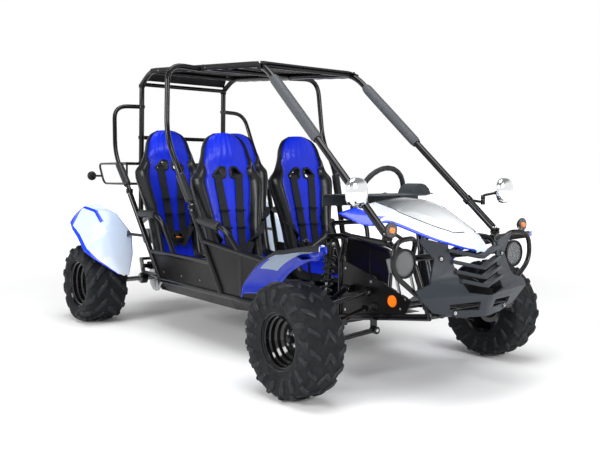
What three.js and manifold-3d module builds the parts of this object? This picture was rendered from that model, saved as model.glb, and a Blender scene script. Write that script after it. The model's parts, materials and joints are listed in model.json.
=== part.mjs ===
// An off-road go kart with four bucket seats, a roll cage and a chain-driven rear axle.
// Millimetres. +X points forward, +Y to the driver's left and +Z up. The origin lies on the ground,
// in the middle of the kart's box. The stations below are measured from the front axle.
import * as THREE from "three";
import { mergeVertices } from "three/addons/utils/BufferGeometryUtils.js";
import Module from "manifold-3d";

const wasm = await Module();
wasm.setup();

// Driving dimensions
const overallLength = 2898;
const frontOverhang = 480;
const wheelbase = 1980;
const frontHalfTrack = 609;
const rearHalfTrack = 619;
const gap = 0.3; // between two pieces that touch
const flatness = 0.05; // how far faces may stand out of one plane and still be joined
const weld = 3; // how far a welded tube runs into the next
const overrun = 12; // how far a cutter runs past what it cuts
const tubeSidesCount = 6;
const roundSidesCount = 14;
const bendStepsCount = 2;
const wheelSidesCount = 16;
const lugsCount = 8;

const frontTyre = { radius: 235, width: 175, beadRadius: 105, wall: 9, lug: 7 };
const rearTyre = { radius: 230.5, width: 235, beadRadius: 127, wall: 9, lug: 8 };
const frontRim = { lipRadius: 117, halfWidth: 75, wall: 3, dish: -6, hubRadius: 46, bore: 10.4,
  bearingHalf: 17 };
const rearRim = { lipRadius: 139, halfWidth: 104, wall: 3, dish: 8, hubRadius: 52, bore: 15.4,
  bearingHalf: 15 };

// Front suspension, right side, the left one is its mirror image. y grows outwards.
const arm = { innerY: 262, innerZ: 250, outerY: 480, outerZ: 195, lowerHalfSpan: 112, upperHalfSpan: 62,
  rise: 150 };
const bushEar = 5;
const rackGuide = { length: 14, radius: 18, housingX: 124, housingBackX: 50, housingTop: 36,
  housingWidth: 44 };
const armTube = { radius: 10, bushRadius: 16, bushLength: 34, pinRadius: 6 };
const upright = { radius: 13, ballHalf: 13, earThickness: 10, pinRadius: 8, studRadius: 6.4,
  knuckleInset: 12, swingRoom: 7 };
const knuckle = { radius: 15, stubRadius: 10, collarRadius: 12, overhang: 8, armLength: 85,
  armThickness: 10, armWidth: 22, armZ: 268 };
const tieRod = { radius: 7, endRadius: 12 };
const shock = {
  topX: -91, topY: 345, topZ: 592, bottomX: -91, bottomY: 385, bottomZ: 268,
  eyeRadius: 13, eyeLength: 24, bodyRadius: 15, rodRadius: 6, seatRadius: 30, seatThickness: 5,
  springRadius: 24, wireRadius: 4.2, endShare: 1.42, bodyShare: 0.5, upperSeatShare: 0.16,
    lowerSeatShare: 0.84,
};
const springCurlsCount = 6;

// Steering
const steering = {
  wheelX: -386, wheelY: 225, wheelZ: 778, wheelRadius: 148, gripRadius: 13, tiltDeg: 20,
  jointX: -120, shaftRadius: 10, hubRadius: 26, spokeWidth: 22, spokeThickness: 5, hubDepth: 30,
  pinionY: 100, pinionLift: 26, pinionRadius: 12, pinionLength: 16, pinionEnd: 7, rackX: 85, rackRadius: 11,
    yokeRadius: 17, yokeLength: 26,
};

// Frame tubes
const tubeRadius = { cage: 16, frame: 14, bar: 12.5, guard: 10, rack: 7 };
const foamRadius = 25;
const bendRadius = { cage: 90, hip: 70, frame: 40 };

const floor = { rearX: 390 - wheelbase, kneeX: -780, frontX: -440, halfWidth: 372, frontHalfWidth: 268,
  z: 214, sheet: 3 };
const seatCross = { frontX: -600, rearX: -915, railHeight: 250, rowPitch: 655, rowRise: 45, radius: 12 };
const sill = { rearX: 477 - wheelbase, kneeX: -840, bendX: -670, frontX: -430, y: 420, frontY: 334, z: 283,
  frontZ: 262 };
const hipBar = { z: 656, bend: 640, y: 462 };
const bPost = { topX: -1012, topY: 492, topZ: 716, railZ: 548 };
const cPost = { topX: 238 - wheelbase, topY: 497, topZ: 784 };
const panelTop = { rearZ: 440, frontX: -470, frontZ: 478, frontY: 392 };
const hipReach = { rearX: 555 - wheelbase, rearFootX: -1344, frontX: -742, frontZ: 622, frontFootX: -682,
  frontFootY: 420, frontFootZ: 508 };
const panelSheet = 2;
const belt = { rearInset: 90, frontInset: 8, sheet: 2 };

const roof = { bendDrop: 4.8, rearX: -5 - wheelbase, rearY: 296, rearZ: 1438, bendX: 125 - wheelbase,
  bendZ: 1510, midX: -1240, frontBarX: -690 };
const bHoop = { padTopX: -1099, padY: 528, padTopZ: 919, kneeX: -1212, kneeZ: 1083, topY: 505, endDrop: 9 };
const cHoop = {
  kneeX: 75 - wheelbase, kneeY: 512, kneeZ: 996, cornerX: -25 - wheelbase, cornerY: 470, cornerDrop: 140,
    endX: -11 - wheelbase, endDrop: 136,
};
const pillar = { footX: 221.5, footY: 331, footZ: 654, flangeZ: 640, flangeX: 233, topX: -668, topY: 290,
  topZ: 1414 };
const pillarFoam = { startShare: 0.503, endShare: 0.9 };
const rearPost = { footX: -30 - wheelbase, footY: 300, footZ: 560, crossZ: 1112, lowCrossZ: 728 };
const jointFlange = { radius: 21, length: 12 };
const pivotEar = 5;

const bulkhead = { x: 340 - wheelbase, z: 246, topX: 180 - wheelbase, topZ: 640, halfWidth: 330 };

// Front clip
const clip = {
  y: 250, rearX: -135, rearZ: 264, noseX: 385, noseZ: 340, towerTopZ: 520, midX: 50, midZ: 468,
  plateTopX: 290, plateTopZ: 430, plateFootX: 256, plate: 3, towerLift: 5, towerReach: 28, earWidth: 22,
    earThickness: 6,
  noseTopX: 300, noseTopZ: 560, noseTopY: 262, shoulderX: 232, shoulderY: 311, shoulderZ: 611,
};
const signalAt = { rightX: 340, rightY: -420, rightZ: 678, leftX: 285, leftY: 450, leftZ: 665, radius: 30,
  depth: 34, stemRadius: 7 };
const dashHoop = { x: -180, y: 270, z: 672, collarRadius: 17, collarLength: 18 };
const lampGuard = {
  innerX: 338, innerY: 278, innerZ: 644, x: 352, topY: 408, topZ: 638, outerY: 424, outerZ: 522, lowX: 362,
    lowY: 300, lowZ: 428, endX: 363, endZ: 396,
};
const lamp = { x: 338, y: 335, z: 547, radius: 57, depth: 50, backRadius: 30, bezel: 6, clampX: 300,
  clampSize: 30 };

// Body panels
const hood = {
  wall: 3.5, roundness: 1.7, postY: 84, postTopZ: 668, postRadius: 9,
  stations: [
    [-5, 322, 786, 722, 67], [85, 290, 779, 677, 24], [120, 225, 770, 688, 9], [160, 198, 758, 675, 2],
      [259, 158, 714, 639, 0],
    [324, 130, 683, 619, 0], [366, 96, 660, 604, 0], [402, 60, 638, 592, 0], [424, 38, 624, 588, 0], [420,
      24, 580, 576, 0],
  ],
};
const hoodShares = [-1, -0.66, -0.3, 0, 0.3, 0.66, 1];
const dash = {
  frontX: -19, rearX: -205, halfWidth: 300, topZ: 800, faceZ: 746, wall: 4, nose: 14, frontDrop: 6,
  cowlRadius: 66, cowlRise: 44, cowlDepth: 95, postY: 150, postRadius: 8, sweepY: 150, sweep: 88,
};
const bumper = {
  wall: 7, prow: 0.24, reach: 160, bossY: 196, bossX: 404, bossRadius: 11,
  bowY: [-340, -14, 14, 340],
  half: [
    [0, 414], [104, 430], [150, 598], [152, 614], [232, 634], [276, 640], [280, 628], [214, 560], [252,
      468], [330, 448],
    [322, 420], [248, 358], [120, 332], [0, 328],
  ],
  window: [[40, 356], [176, 362], [186, 388], [44, 392]],
  stations: [[424, 648], [421, 596], [423, 569], [432, 525], [444, 484], [466, 450], [485.4, 421], [478.7,
    405], [462, 359], [453, 320]],
  slats: [[380, 152, 592, 424, 560], [393, 141, 549, 431, 517], [405, 133, 511, 439, 480], [422, 121, 476,
    446, 448]],
};
const slat = { depth: 30, thickness: 13 };
const frontFender = {
  inner: 476, outer: 646, wall: 4, lip: 16, tilt: 0.2, stayZ: 540, stayRadius: 9,
  profile: [[205, 598, 616], [100, 588, 548], [-10, 569, 476], [-84, 556, 476], [-200, 500, 476], [-290,
    420, 476], [-330, 360, 476]],
};
const rearFender = {
  wall: 4, stayX: 172 - wheelbase, stayY: 476, stayZ: 527, stayRadius: 9,
  grid: [
    [[258 - wheelbase, 515, 292], [258 - wheelbase, 545, 290], [250 - wheelbase, 580, 302]],
    [[214 - wheelbase, 470, 410], [224 - wheelbase, 590, 404], [214 - wheelbase, 704, 392]],
    [[165 - wheelbase, 452, 527], [150 - wheelbase, 600, 548], [168 - wheelbase, 750, 438]],
    [[95 - wheelbase, 520, 648], [60 - wheelbase, 632, 668], [70 - wheelbase, 750, 510]],
    [[30 - wheelbase, 604, 702], [-20 - wheelbase, 672, 688], [-8 - wheelbase, 752, 556]],
    [[-86 - wheelbase, 642, 684], [-94 - wheelbase, 690, 650], [-66 - wheelbase, 742, 592]],
  ],
};
const rack = {
  halfWidth: 418, frontX: 30 - wheelbase, rearX: -399 - wheelbase, lowRearX: -320 - wheelbase, topZ: 950,
    lowZ: 822, barsCount: 3, clamp: 24, lampZ: 871,
};
const signal = { radius: 30, depth: 34, stalk: 42, stalkRadius: 7 };
const mirror = {
  x: 196, y: 452, z: 814, halfWidth: 52, halfHeight: 58, depth: 34, stemRadius: 6, clampRadius: 5,
    clampLength: 26, clampShare: 0.155,
  pivotX: 130, pivotY: 374, pivotZ: 772, bossHeight: 22, bossRadius: 10, stemRise: 20,
};

const canopy = { frontX: -664, overhangX: 22, overhangY: 22, sag: 8, wall: 3, edgeDrop: 9, shoulder: -6,
  flap: 112 };
const canopyShares = [[-1, 1, 0], [-0.93, 0, 0], [-0.5, 0, 0.8], [0, 0, 1], [0.5, 0, 0.8], [0.93, 0, 0], [1,
  1, 0]];

// Seats
const seat = {
  frontX: -520, y: 248, z: 262.4, halfWidth: 220, crown: 26, valley: 3, bolster: 46, depth: 62,
  slotY: 52, slotX: -545, slotZ: 628, slotHalfWidth: 38, slotHalfHeight: 28, slotReach: 260,
  runnerX: -245, runnerY: 86, runnerLength: 450, runnerWidth: 26, runnerHeight: 50,
};

// Rear drive
const cradle = { pivotX: 290 - wheelbase, pivotZ: 250, y: 235, tube: 14, crossRadius: 11, earWidth: 24,
  bushRadius: 18, bushLength: 40, tailX: -170 - wheelbase, tailZ: 330, housingRadius: 34, housingWidth: 34,
  housingY: 300 };
const axle = {
  radius: 15, discRadius: 92, discThickness: 4, discY: -215, hubLength: 60, nut: 12, nutRadius: 24,
    collar: 12, collarRadius: 26,
};
const brake = { x: -66 - wheelbase, z: 297, length: 52, width: 30, height: 44, slotMargin: 4 };
const chainLine = {
  y: 190, pitch: 15.875, rollerRadius: 5.1, plateHeight: 14, width: 13, discWidth: 5.4, clearance: 1.1,
    hubLength: 24, leanDeg: 45,
};
const linksCount = 52;
const halvingsCount = 40;
const axleTeethCount = 37;
const engineTeethCount = 15;
const engine = {
  x: -45 - wheelbase, y: -15, z: 450, length: 240, width: 250, height: 200, chamfer: 40,
    barrelX: -10 - wheelbase, barrelRadius: 52, barrelLength: 84,
  finsCount: 3, finSize: 128, finThickness: 7, boxY: 130, boxWidth: 70, boxHeight: 46, boxReach: 120,
    shaftRadius: 11,
  muffler: 52, mufflerX: -246 - wheelbase, mufflerZ: 470, mufflerLength: 300, pipe: 16, pipeY: 60,
    footLength: 44, footWidth: 40, footY: 80,
};
const rearShock = { topX: 144 - wheelbase, topZ: 628, bottomX: 194 - wheelbase, bottomZ: 292, crossDrop: 36,
  eyeRadius: 13, eyeLength: 26, shroudRadius: 32, rodRadius: 8, skirtShare: 0.66, shroudShare: 0.1,
  cupShare: 0.86, cupLength: 16 };

// Pedals and lever
const pedal = {
  x: -110, z: 300, throttleY: 100, brakeY: 196, length: 170, padWidth: 62, padHeight: 66, thickness: 6,
    leanDeg: 18, armRadius: 8,
  shaftEnd: 56, shaftRadius: 7, sleeveRadius: 13, sleeveLength: 34,
};
const lever = { x: -640, y: 0, z: 246, length: 300, radius: 7, knobRadius: 19, leanDeg: 12, bossRadius: 16,
  bossWidth: 26 };

// Finishes
const paint = (color, roughness, metalness) => new THREE.MeshStandardMaterial({ color, roughness,
  metalness });
const finishes = {
  blackPaint: () => paint(0x0b0b0d, 0.3, 0.6),
  sheet: () => paint(0x151412, 0.5, 0.4),
  foam: () => paint(0x33363a, 0.9, 0),
  cloth: () => paint(0x0d0d0e, 0.95, 0),
  vinyl: () => paint(0x1226d8, 0.45, 0),
  white: () => paint(0xdfe7f2, 0.3, 0.1),
  blue: () => paint(0x0f35e8, 0.35, 0.1),
  grey: () => paint(0x3b4450, 0.6, 0),
  slate: () => paint(0x59646c, 0.6, 0),
  tyre: () => paint(0x23262b, 0.85, 0),
  rim: () => paint(0x08080a, 0.25, 0.7),
  steel: () => paint(0x8c8f92, 0.35, 0.9),
  chrome: () => paint(0xe6e8ea, 0.12, 1),
  lens: () => paint(0xe9edf0, 0.1, 0.2),
  alloy: () => paint(0x77797c, 0.5, 0.7),
};

// Vectors
const v = (x, y, z) => new THREE.Vector3(x, y, z);
const mix = (a, b, share) => a.clone().lerp(b, share);
const radians = THREE.MathUtils.degToRad;
// The radius of a bore with so many sides that a round pin turns freely in.
const boreRadius = (pin, sides) => (pin + gap) / Math.cos(Math.PI / sides);

// Solids and booleans
function solid(geometry) {
  const bare = new THREE.BufferGeometry().setAttribute("position", geometry.getAttribute("position"));
  bare.setIndex(geometry.index);
  const merged = mergeVertices(bare, 1e-4);
  const vertProperties = merged.getAttribute("position").array;
  return new wasm.Manifold(new wasm.Mesh({ numProp: 3, vertProperties,
    triVerts: new Uint32Array(merged.index.array) }));
}

function geometryOf(manifold) {
  const mesh = manifold.asOriginal().simplify(flatness).getMesh();
  return new THREE.BufferGeometry()
    .setAttribute("position", new THREE.BufferAttribute(new Float32Array(mesh.vertProperties), 3))
    .setIndex(new THREE.BufferAttribute(new Uint32Array(mesh.triVerts), 1));
}

const fuse = (...pieces) => geometryOf(pieces.flat().map(solid).reduce((all, next) => all.add(next)));
const carve = (piece, ...cutters) => geometryOf(cutters.flat().map(solid).reduce((left,
  next) => left.subtract(next), solid(piece)));

function mirrored(geometry) {
  const flipped = (geometry.index ? geometry.toNonIndexed() : geometry.clone())
    .applyMatrix4(new THREE.Matrix4().makeScale(1, -1, 1));
  const places = flipped.getAttribute("position");
  for (let i = 0; i < places.count; i += 3) {
    const a = v().fromBufferAttribute(places, i + 1);
    const b = v().fromBufferAttribute(places, i + 2);
    places.setXYZ(i + 1, b.x, b.y, b.z);
    places.setXYZ(i + 2, a.x, a.y, a.z);
  }
  return new THREE.BufferGeometry().setAttribute("position", places);
}

// A path that an extrusion follows ring by ring, with each ring mitred at its own point.
class RingPath extends THREE.Curve {
  constructor(points) {
    super();
    this.points = points;
  }
  getPoint(t) {
    return this.points[Math.round(t * (this.points.length - 1))];
  }
  getSpacedPoints() {
    return this.points;
  }
  computeFrenetFrames() {
    const last = this.points.length - 1;
    const tangents = this.points.map((_, i) => {
      const before = this.points[Math.max(i - 1, 0)];
      const after = this.points[Math.min(i + 1, last)];
      return after.clone().sub(before).normalize();
    });
    const normals = [];
    let normal = Math.abs(tangents[0].y) < 0.9 ? v(0, 1, 0) : v(1, 0, 0);
    for (const tangent of tangents) {
      normal = normal.clone().addScaledVector(tangent, -normal.dot(tangent)).normalize();
      normals.push(normal);
    }
    const binormals = tangents.map((tangent, i) => tangent.clone().cross(normals[i]));
    return { tangents, normals, binormals };
  }
}

const polygon = (radius, sides, turnShare = 0.5) =>
  Array.from({ length: sides }, (_, i) => {
    const angle = ((i + turnShare) / sides) * 2 * Math.PI;
    return new THREE.Vector2(radius * Math.cos(angle), radius * Math.sin(angle));
  });

// Corner points with an arc of the given radius at every inner corner.
function bent(points, radius) {
  const path = [points[0]];
  for (let i = 1; i < points.length - 1; i++) {
    const toBefore = points[i - 1].clone().sub(points[i]);
    const toAfter = points[i + 1].clone().sub(points[i]);
    const half = toBefore.angleTo(toAfter) / 2;
    const reach = Math.min(radius / Math.tan(half), toBefore.length() * 0.48, toAfter.length() * 0.48);
    const start = points[i].clone().addScaledVector(toBefore.normalize(), reach);
    const end = points[i].clone().addScaledVector(toAfter.normalize(), reach);
    const arc = new THREE.QuadraticBezierCurve3(start, points[i], end);
    path.push(...arc.getPoints(radius < bendRadius.hip ? 1 : bendStepsCount));
  }
  path.push(points[points.length - 1]);
  return path;
}

function sweep(points, outline) {
  const path = new RingPath(points);
  return new THREE.ExtrudeGeometry(new THREE.Shape(outline), { extrudePath: path,
    steps: points.length - 1 });
}

const sidesOf = (radius) => (radius < tubeRadius.bar ? tubeSidesCount - 1 : tubeSidesCount);
const tube = (points, radius, bend = bendRadius.frame, sides = sidesOf(radius)) =>
  sweep(points.length > 2 ? bent(points, bend) : points, polygon(radius, sides));
const rod = (from, to, radius, sides = sidesOf(radius)) => sweep([from, to], polygon(radius, sides));
const rodAlong = (centre, axis, length, radius, sides = roundSidesCount) =>
  rod(centre.clone().addScaledVector(axis, -length / 2), centre.clone().addScaledVector(axis, length / 2),
    radius, sides);

// A cutter that leaves a gap round a tube, whichever way its flats face.
const saddleRound = (points, radius, bend = bendRadius.frame) => tube(points,
  radius / Math.cos(Math.PI / 12) + gap, bend, 12);

// A closed profile of [radius, y] pairs turned about the Y axis, moved to a centre.
function turned(profile, segments, centre = v(0, 0, 0)) {
  const points = [...profile, profile[0]].map(([radius, y]) => new THREE.Vector2(radius, y));
  return new THREE.LatheGeometry(points, segments).translate(centre.x, centre.y, centre.z);
}

// An outline of [across, up] pairs, thickened along its normal. across and up are directions in space.
function plate(outline, thickness, origin, across, up, holes = []) {
  const shape = new THREE.Shape(outline.map(([a, b]) => new THREE.Vector2(a, b)));
  for (const hole of holes) shape.holes.push(new THREE.Path(hole.map(([a, b]) => new THREE.Vector2(a, b))));
  const normal = across.clone().cross(up);
  return new THREE.ExtrudeGeometry(shape, { depth: thickness, bevelEnabled: false })
    .translate(0, 0, -thickness / 2)
    .applyMatrix4(new THREE.Matrix4().makeBasis(across, up, normal).setPosition(origin));
}
const sidePlate = (outline, y, thickness, holes) => plate(outline, thickness, v(0, y, 0), v(1, 0, 0), v(0,
  0, 1), holes);
const box = (size, centre) => new THREE.BoxGeometry(size.x, size.y, size.z).translate(centre.x, centre.y,
  centre.z);

// Rings of points, all with one count, joined into a closed skin with a cap at each end.
function loft(rings) {
  const count = rings[0].length;
  const places = rings.flat().flatMap((p) => [p.x, p.y, p.z]);
  const faces = [];
  for (let i = 0; i < rings.length - 1; i++) {
    for (let j = 0; j < count; j++) {
      const a = i * count + j;
      const b = i * count + ((j + 1) % count);
      faces.push(a, b, a + count, b, b + count, a + count);
    }
  }
  const capped = (start, flip) => {
    const ring = rings[start / count];
    const along = ring[1].clone().sub(ring[0]).normalize();
    const normal = ring.reduce((sum, p,
      i) => sum.add(p.clone().sub(ring[0]).cross(ring[(i + 1) % count].clone().sub(ring[0]))), v(0, 0,
      0)).normalize();
    const across = normal.clone().cross(along);
    const flat = ring.map((p) => new THREE.Vector2(p.dot(along), p.dot(across)));
    for (const [a, b, c] of THREE.ShapeUtils.triangulateShape(flat, [])) {
      const sameTurn = THREE.ShapeUtils.area([flat[a], flat[b], flat[c]]) * THREE.ShapeUtils.area(flat) > 0;
      const order = sameTurn !== flip ? [a, b, c] : [a, c, b];
      faces.push(...order.map((k) => start + k));
    }
  };
  capped(0, true);
  capped((rings.length - 1) * count, false);
  const made = new THREE.BufferGeometry().setAttribute("position", new THREE.Float32BufferAttribute(places,
    3));
  made.setIndex(faces);
  return outward(made);
}

// A sheet given as a grid of points, thickened on one side along its own normals.
function skin(grid, thickness) {
  const rows = grid.length;
  const columns = grid[0].length;
  const normalAt = (i, j) => {
    const along = grid[Math.min(i + 1, rows - 1)][j].clone().sub(grid[Math.max(i - 1, 0)][j]);
    const across = grid[i][Math.min(j + 1, columns - 1)].clone().sub(grid[i][Math.max(j - 1, 0)]);
    return along.cross(across).normalize();
  };
  const back = grid.map((row, i) => row.map((p, j) => p.clone().addScaledVector(normalAt(i, j),
    -thickness)));
  const places = [...grid.flat(), ...back.flat()].flatMap((p) => [p.x, p.y, p.z]);
  const base = rows * columns;
  const faces = [];
  const quad = (a, b, c, d) => faces.push(a, b, c, a, c, d);
  for (let i = 0; i < rows - 1; i++) {
    for (let j = 0; j < columns - 1; j++) {
      const a = i * columns + j;
      quad(a, a + columns, a + columns + 1, a + 1);
      quad(base + a, base + a + 1, base + a + columns + 1, base + a + columns);
    }
  }
  for (let i = 0; i < rows - 1; i++) {
    const left = i * columns;
    const right = left + columns - 1;
    quad(left, base + left, base + left + columns, left + columns);
    quad(right, right + columns, base + right + columns, base + right);
  }
  for (let j = 0; j < columns - 1; j++) {
    const last = (rows - 1) * columns + j;
    quad(j, j + 1, base + j + 1, base + j);
    quad(last, base + last, base + last + 1, last + 1);
  }
  const made = new THREE.BufferGeometry().setAttribute("position", new THREE.Float32BufferAttribute(places,
    3));
  made.setIndex(faces);
  return outward(made);
}

// The same surface with its faces turned to point out.
function outward(geometry) {
  const places = geometry.getAttribute("position");
  const index = geometry.index.array;
  let volume = 0;
  for (let i = 0; i < index.length; i += 3) {
    const [a, b, c] = [0, 1, 2].map((k) => v().fromBufferAttribute(places, index[i + k]));
    volume += a.dot(b.cross(c));
  }
  if (volume < 0) {
    for (let i = 0; i < index.length; i += 3) [index[i + 1], index[i + 2]] = [index[i + 2], index[i + 1]];
  }
  return geometry;
}

const kart = new THREE.Group();
kart.position.x = overallLength / 2 - frontOverhang;

function add(name, geometry, material) {
  const mesh = new THREE.Mesh(geometry, material);
  mesh.name = name;
  kart.add(mesh);
}

// A piece made for the right side (negative Y), and its mirror image for the left.
function addPair(name, right, finish) {
  add(name + "_right", right, finish());
  add(name + "_left", mirrored(right), finish());
}

const rightSide = (x, y, z) => v(x, -y, z);

// Wheels
function tyreSolid(size, rim, lugsCount, rows) {
  const half = size.width / 2;
  const crown = size.radius - size.lug;
  const bead = size.beadRadius + gap;
  const seat = rim.halfWidth - rim.wall * 2 - gap;
  const overLip = rim.lipRadius + gap + 1.5 * rim.wall;
  const inner = crown - size.wall;
  const heel = seat - size.wall;
  const profile = [
    [bead, -seat], [overLip, -seat], [crown * 0.78, -half], [crown, -half * 0.55], [crown, half * 0.55],
    [crown * 0.78, half], [overLip, seat], [bead, seat], [bead, heel], [inner, heel], [inner, -heel], [bead,
      -heel],
  ];
  const carcass = solid(turned(profile, wheelSidesCount));
  const lugs = [];
  for (let i = 0; i < lugsCount; i++) {
    for (const { at, width, length, turn, stagger, tilt } of rows) {
      const angle = ((i + stagger) / lugsCount) * 2 * Math.PI;
      const lug = new THREE.BoxGeometry(length * size.radius, width * half, size.lug * 2.2)
        .rotateZ(turn)
        .rotateX(tilt)
        .translate(0, at * half, crown + size.lug * (Math.abs(at) > 0.5 ? -0.75 : -0.12));
      lugs.push(solid(lug.rotateY(angle)));
    }
  }
  return geometryOf(lugs.reduce((all, next) => all.add(next), carcass));
}

const frontLugRows = [
  { at: 0.36, width: 0.62, length: 0.11, turn: 0.6, stagger: 0, tilt: 0 },
  { at: -0.36, width: 0.62, length: 0.11, turn: -0.6, stagger: 0.5, tilt: 0 },
];
const rearLugRows = [
  { at: 0.3, width: 0.62, length: 0.11, turn: -0.75, stagger: 0, tilt: 0 },
  { at: -0.3, width: 0.62, length: 0.11, turn: 0.75, stagger: 0.5, tilt: 0 },
];

function rimSolid(size, tyreBead) {
  const wall = size.wall;
  const half = size.halfWidth;
  const barrel = tyreBead;
  const lip = size.lipRadius;
  const dish = size.dish;
  const outer = [
    [size.bore, dish - size.bearingHalf], [size.hubRadius, dish - size.bearingHalf], [size.hubRadius,
      dish - wall],
    [barrel - wall, dish - wall], [barrel - wall, -half], [lip, -half], [barrel, -half + wall * 2],
    [barrel, half - wall * 2], [lip, half], [barrel - wall, half],
    [barrel - wall, dish + wall], [size.hubRadius, dish + wall * 2], [size.bore, dish + size.bearingHalf],
  ];
  return turned(outer, wheelSidesCount);
}

function addWheels() {
  const front = tyreSolid(frontTyre, frontRim, lugsCount, frontLugRows);
  const rear = tyreSolid(rearTyre, rearRim, lugsCount, rearLugRows);
  const place = (geometry, x, y, z) => geometry.clone().translate(x, y, z);
  const frontAt = [0, frontHalfTrack, frontTyre.radius];
  const rearAt = [-wheelbase, rearHalfTrack, rearTyre.radius];
  for (const [name, tyre, rim, at] of [
    ["front", front, rimSolid(frontRim, frontTyre.beadRadius), frontAt],
    ["rear", rear, rimSolid(rearRim, rearTyre.beadRadius), rearAt],
  ]) {
    const [x, y, z] = at;
    add(name + "_tyre_left", place(tyre, x, y, z), finishes.tyre());
    add(name + "_tyre_right", mirrored(place(tyre, x, y, z)), finishes.tyre());
    add(name + "_rim_left", place(rim, x, y, z), finishes.rim());
    add(name + "_rim_right", mirrored(place(rim, x, y, z)), finishes.rim());
  }
}

addWheels();

const axis = { x: v(1, 0, 0), y: v(0, 1, 0), z: v(0, 0, 1) };
const tilt = radians(steering.tiltDeg);
const columnAxis = v(Math.cos(tilt), 0, -Math.sin(tilt));
const wheelCentre = v(steering.wheelX, steering.wheelY, steering.wheelZ);
const jointCentre = wheelCentre.clone().addScaledVector(columnAxis,
  (steering.jointX - steering.wheelX) / columnAxis.x);

// Front suspension. Every point is given for the right side, where y runs towards the wheel.
const towerZ = shock.topZ + shock.eyeRadius + tubeRadius.bar + clip.towerLift;
const towerPath = (side) => [
  v(clip.rearX, side * clip.y, clip.towerTopZ - tubeRadius.frame), v(shock.topX, side * (clip.y + 10),
    towerZ),
  v(shock.topX, side * (shock.topY + clip.towerReach), towerZ),
];
const noseTopPath = (side) => [
  v(shock.topX, side * (clip.y + 10), towerZ), v(clip.shoulderX, side * clip.shoulderY, clip.shoulderZ),
  v(clip.noseTopX, side * clip.noseTopY, clip.noseTopZ), v(clip.noseX, side * clip.y, clip.noseZ),
];
const guardPath = (side) => [
  v(clip.noseTopX, side * clip.noseTopY, clip.noseTopZ), v(lampGuard.innerX, side * lampGuard.innerY,
    lampGuard.innerZ),
  v(lampGuard.x, side * lampGuard.topY, lampGuard.topZ), v(lampGuard.x, side * lampGuard.outerY,
    lampGuard.outerZ),
  v(lampGuard.lowX, side * lampGuard.lowY, lampGuard.lowZ), v(lampGuard.endX, side * clip.y,
    lampGuard.endZ),
];
const rise = v(0, 0, arm.rise);
const ball = rightSide(0, arm.outerY, arm.outerZ);
const earInset = upright.earThickness * 1.5 + upright.swingRoom;
const kingpinY = frontHalfTrack - frontTyre.width / 2 - upright.knuckleInset;

function tieRodEnds() {
  const z = knuckle.armZ + knuckle.armThickness / 2 + gap + tieRod.endRadius;
  const outer = rightSide(steering.rackX, kingpinY, z);
  const drop = v(0, 0, arm.innerZ - arm.outerZ);
  const inner = rightSide(steering.rackX, kingpinY - (arm.outerY - arm.innerY - armTube.bushRadius),
    z).add(drop);
  return { outer, inner };
}

const rods = tieRodEnds();
const pinionCentre = v(steering.rackX, steering.pinionY, rods.inner.z + steering.pinionLift);
const shaftAxis = pinionCentre.clone().sub(jointCentre).normalize();

// Frame

const floorHalf = (x) => floor.halfWidth
  - (Math.max(x - floor.kneeX, 0) / (floor.frontX - floor.kneeX)) * (floor.halfWidth - floor.frontHalfWidth);

function floorFrame() {
  const outline = [
    [floor.rearX, -floor.halfWidth], [floor.kneeX, -floor.halfWidth], [floor.frontX, -floor.frontHalfWidth],
    [floor.frontX, floor.frontHalfWidth], [floor.kneeX, floor.halfWidth], [floor.rearX, floor.halfWidth],
  ];
  const pan = plate(outline, floor.sheet, v(0, 0, floor.z), axis.x, axis.y);
  const railZ = floor.z + tubeRadius.frame + floor.sheet / 2 - weld / 2;
  const rail = (side) => {
    const at = (x, y) => v(x, side * (y - tubeRadius.frame), railZ);
    return tube([at(floor.rearX, floor.halfWidth), at(floor.kneeX, floor.halfWidth),
      at(floor.frontX - weld * 1.5, floor.frontHalfWidth)], tubeRadius.frame);
  };
  const crossAt = (x, y) => rod(v(x, -y, railZ - weld / 2), v(x, y, railZ - weld / 2), tubeRadius.bar);
  const inset = tubeRadius.frame;
  const pieces = [
    pan, rail(1), rail(-1), crossAt(floor.rearX + inset, floor.halfWidth - inset), crossAt(floor.kneeX,
      floor.halfWidth - inset),
    crossAt(floor.frontX - inset, floor.frontHalfWidth),
  ];
  for (const row of [0, 1]) {
    const z = seatCross.railHeight + row * seatCross.rowRise;
    for (const x of [seatCross.frontX, seatCross.rearX]) {
      const at = x - row * seatCross.rowPitch;
      const y = floorHalf(at) - inset - seatCross.radius;
      pieces.push(tube([v(at, -y, railZ), v(at, -y, z), v(at, y, z), v(at, y, railZ)], seatCross.radius));
    }
  }
  for (const end of [1, -1]) {
    const y = lever.y + end * (lever.bossWidth / 2 + gap + pivotEar / 2);
    const top = lever.z + lever.bossRadius;
    pieces.push(box(v(lever.bossRadius * 2, pivotEar, top - floor.z), v(lever.x, y, (top + floor.z) / 2)));
  }
  return fuse(pieces);
}

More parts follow.
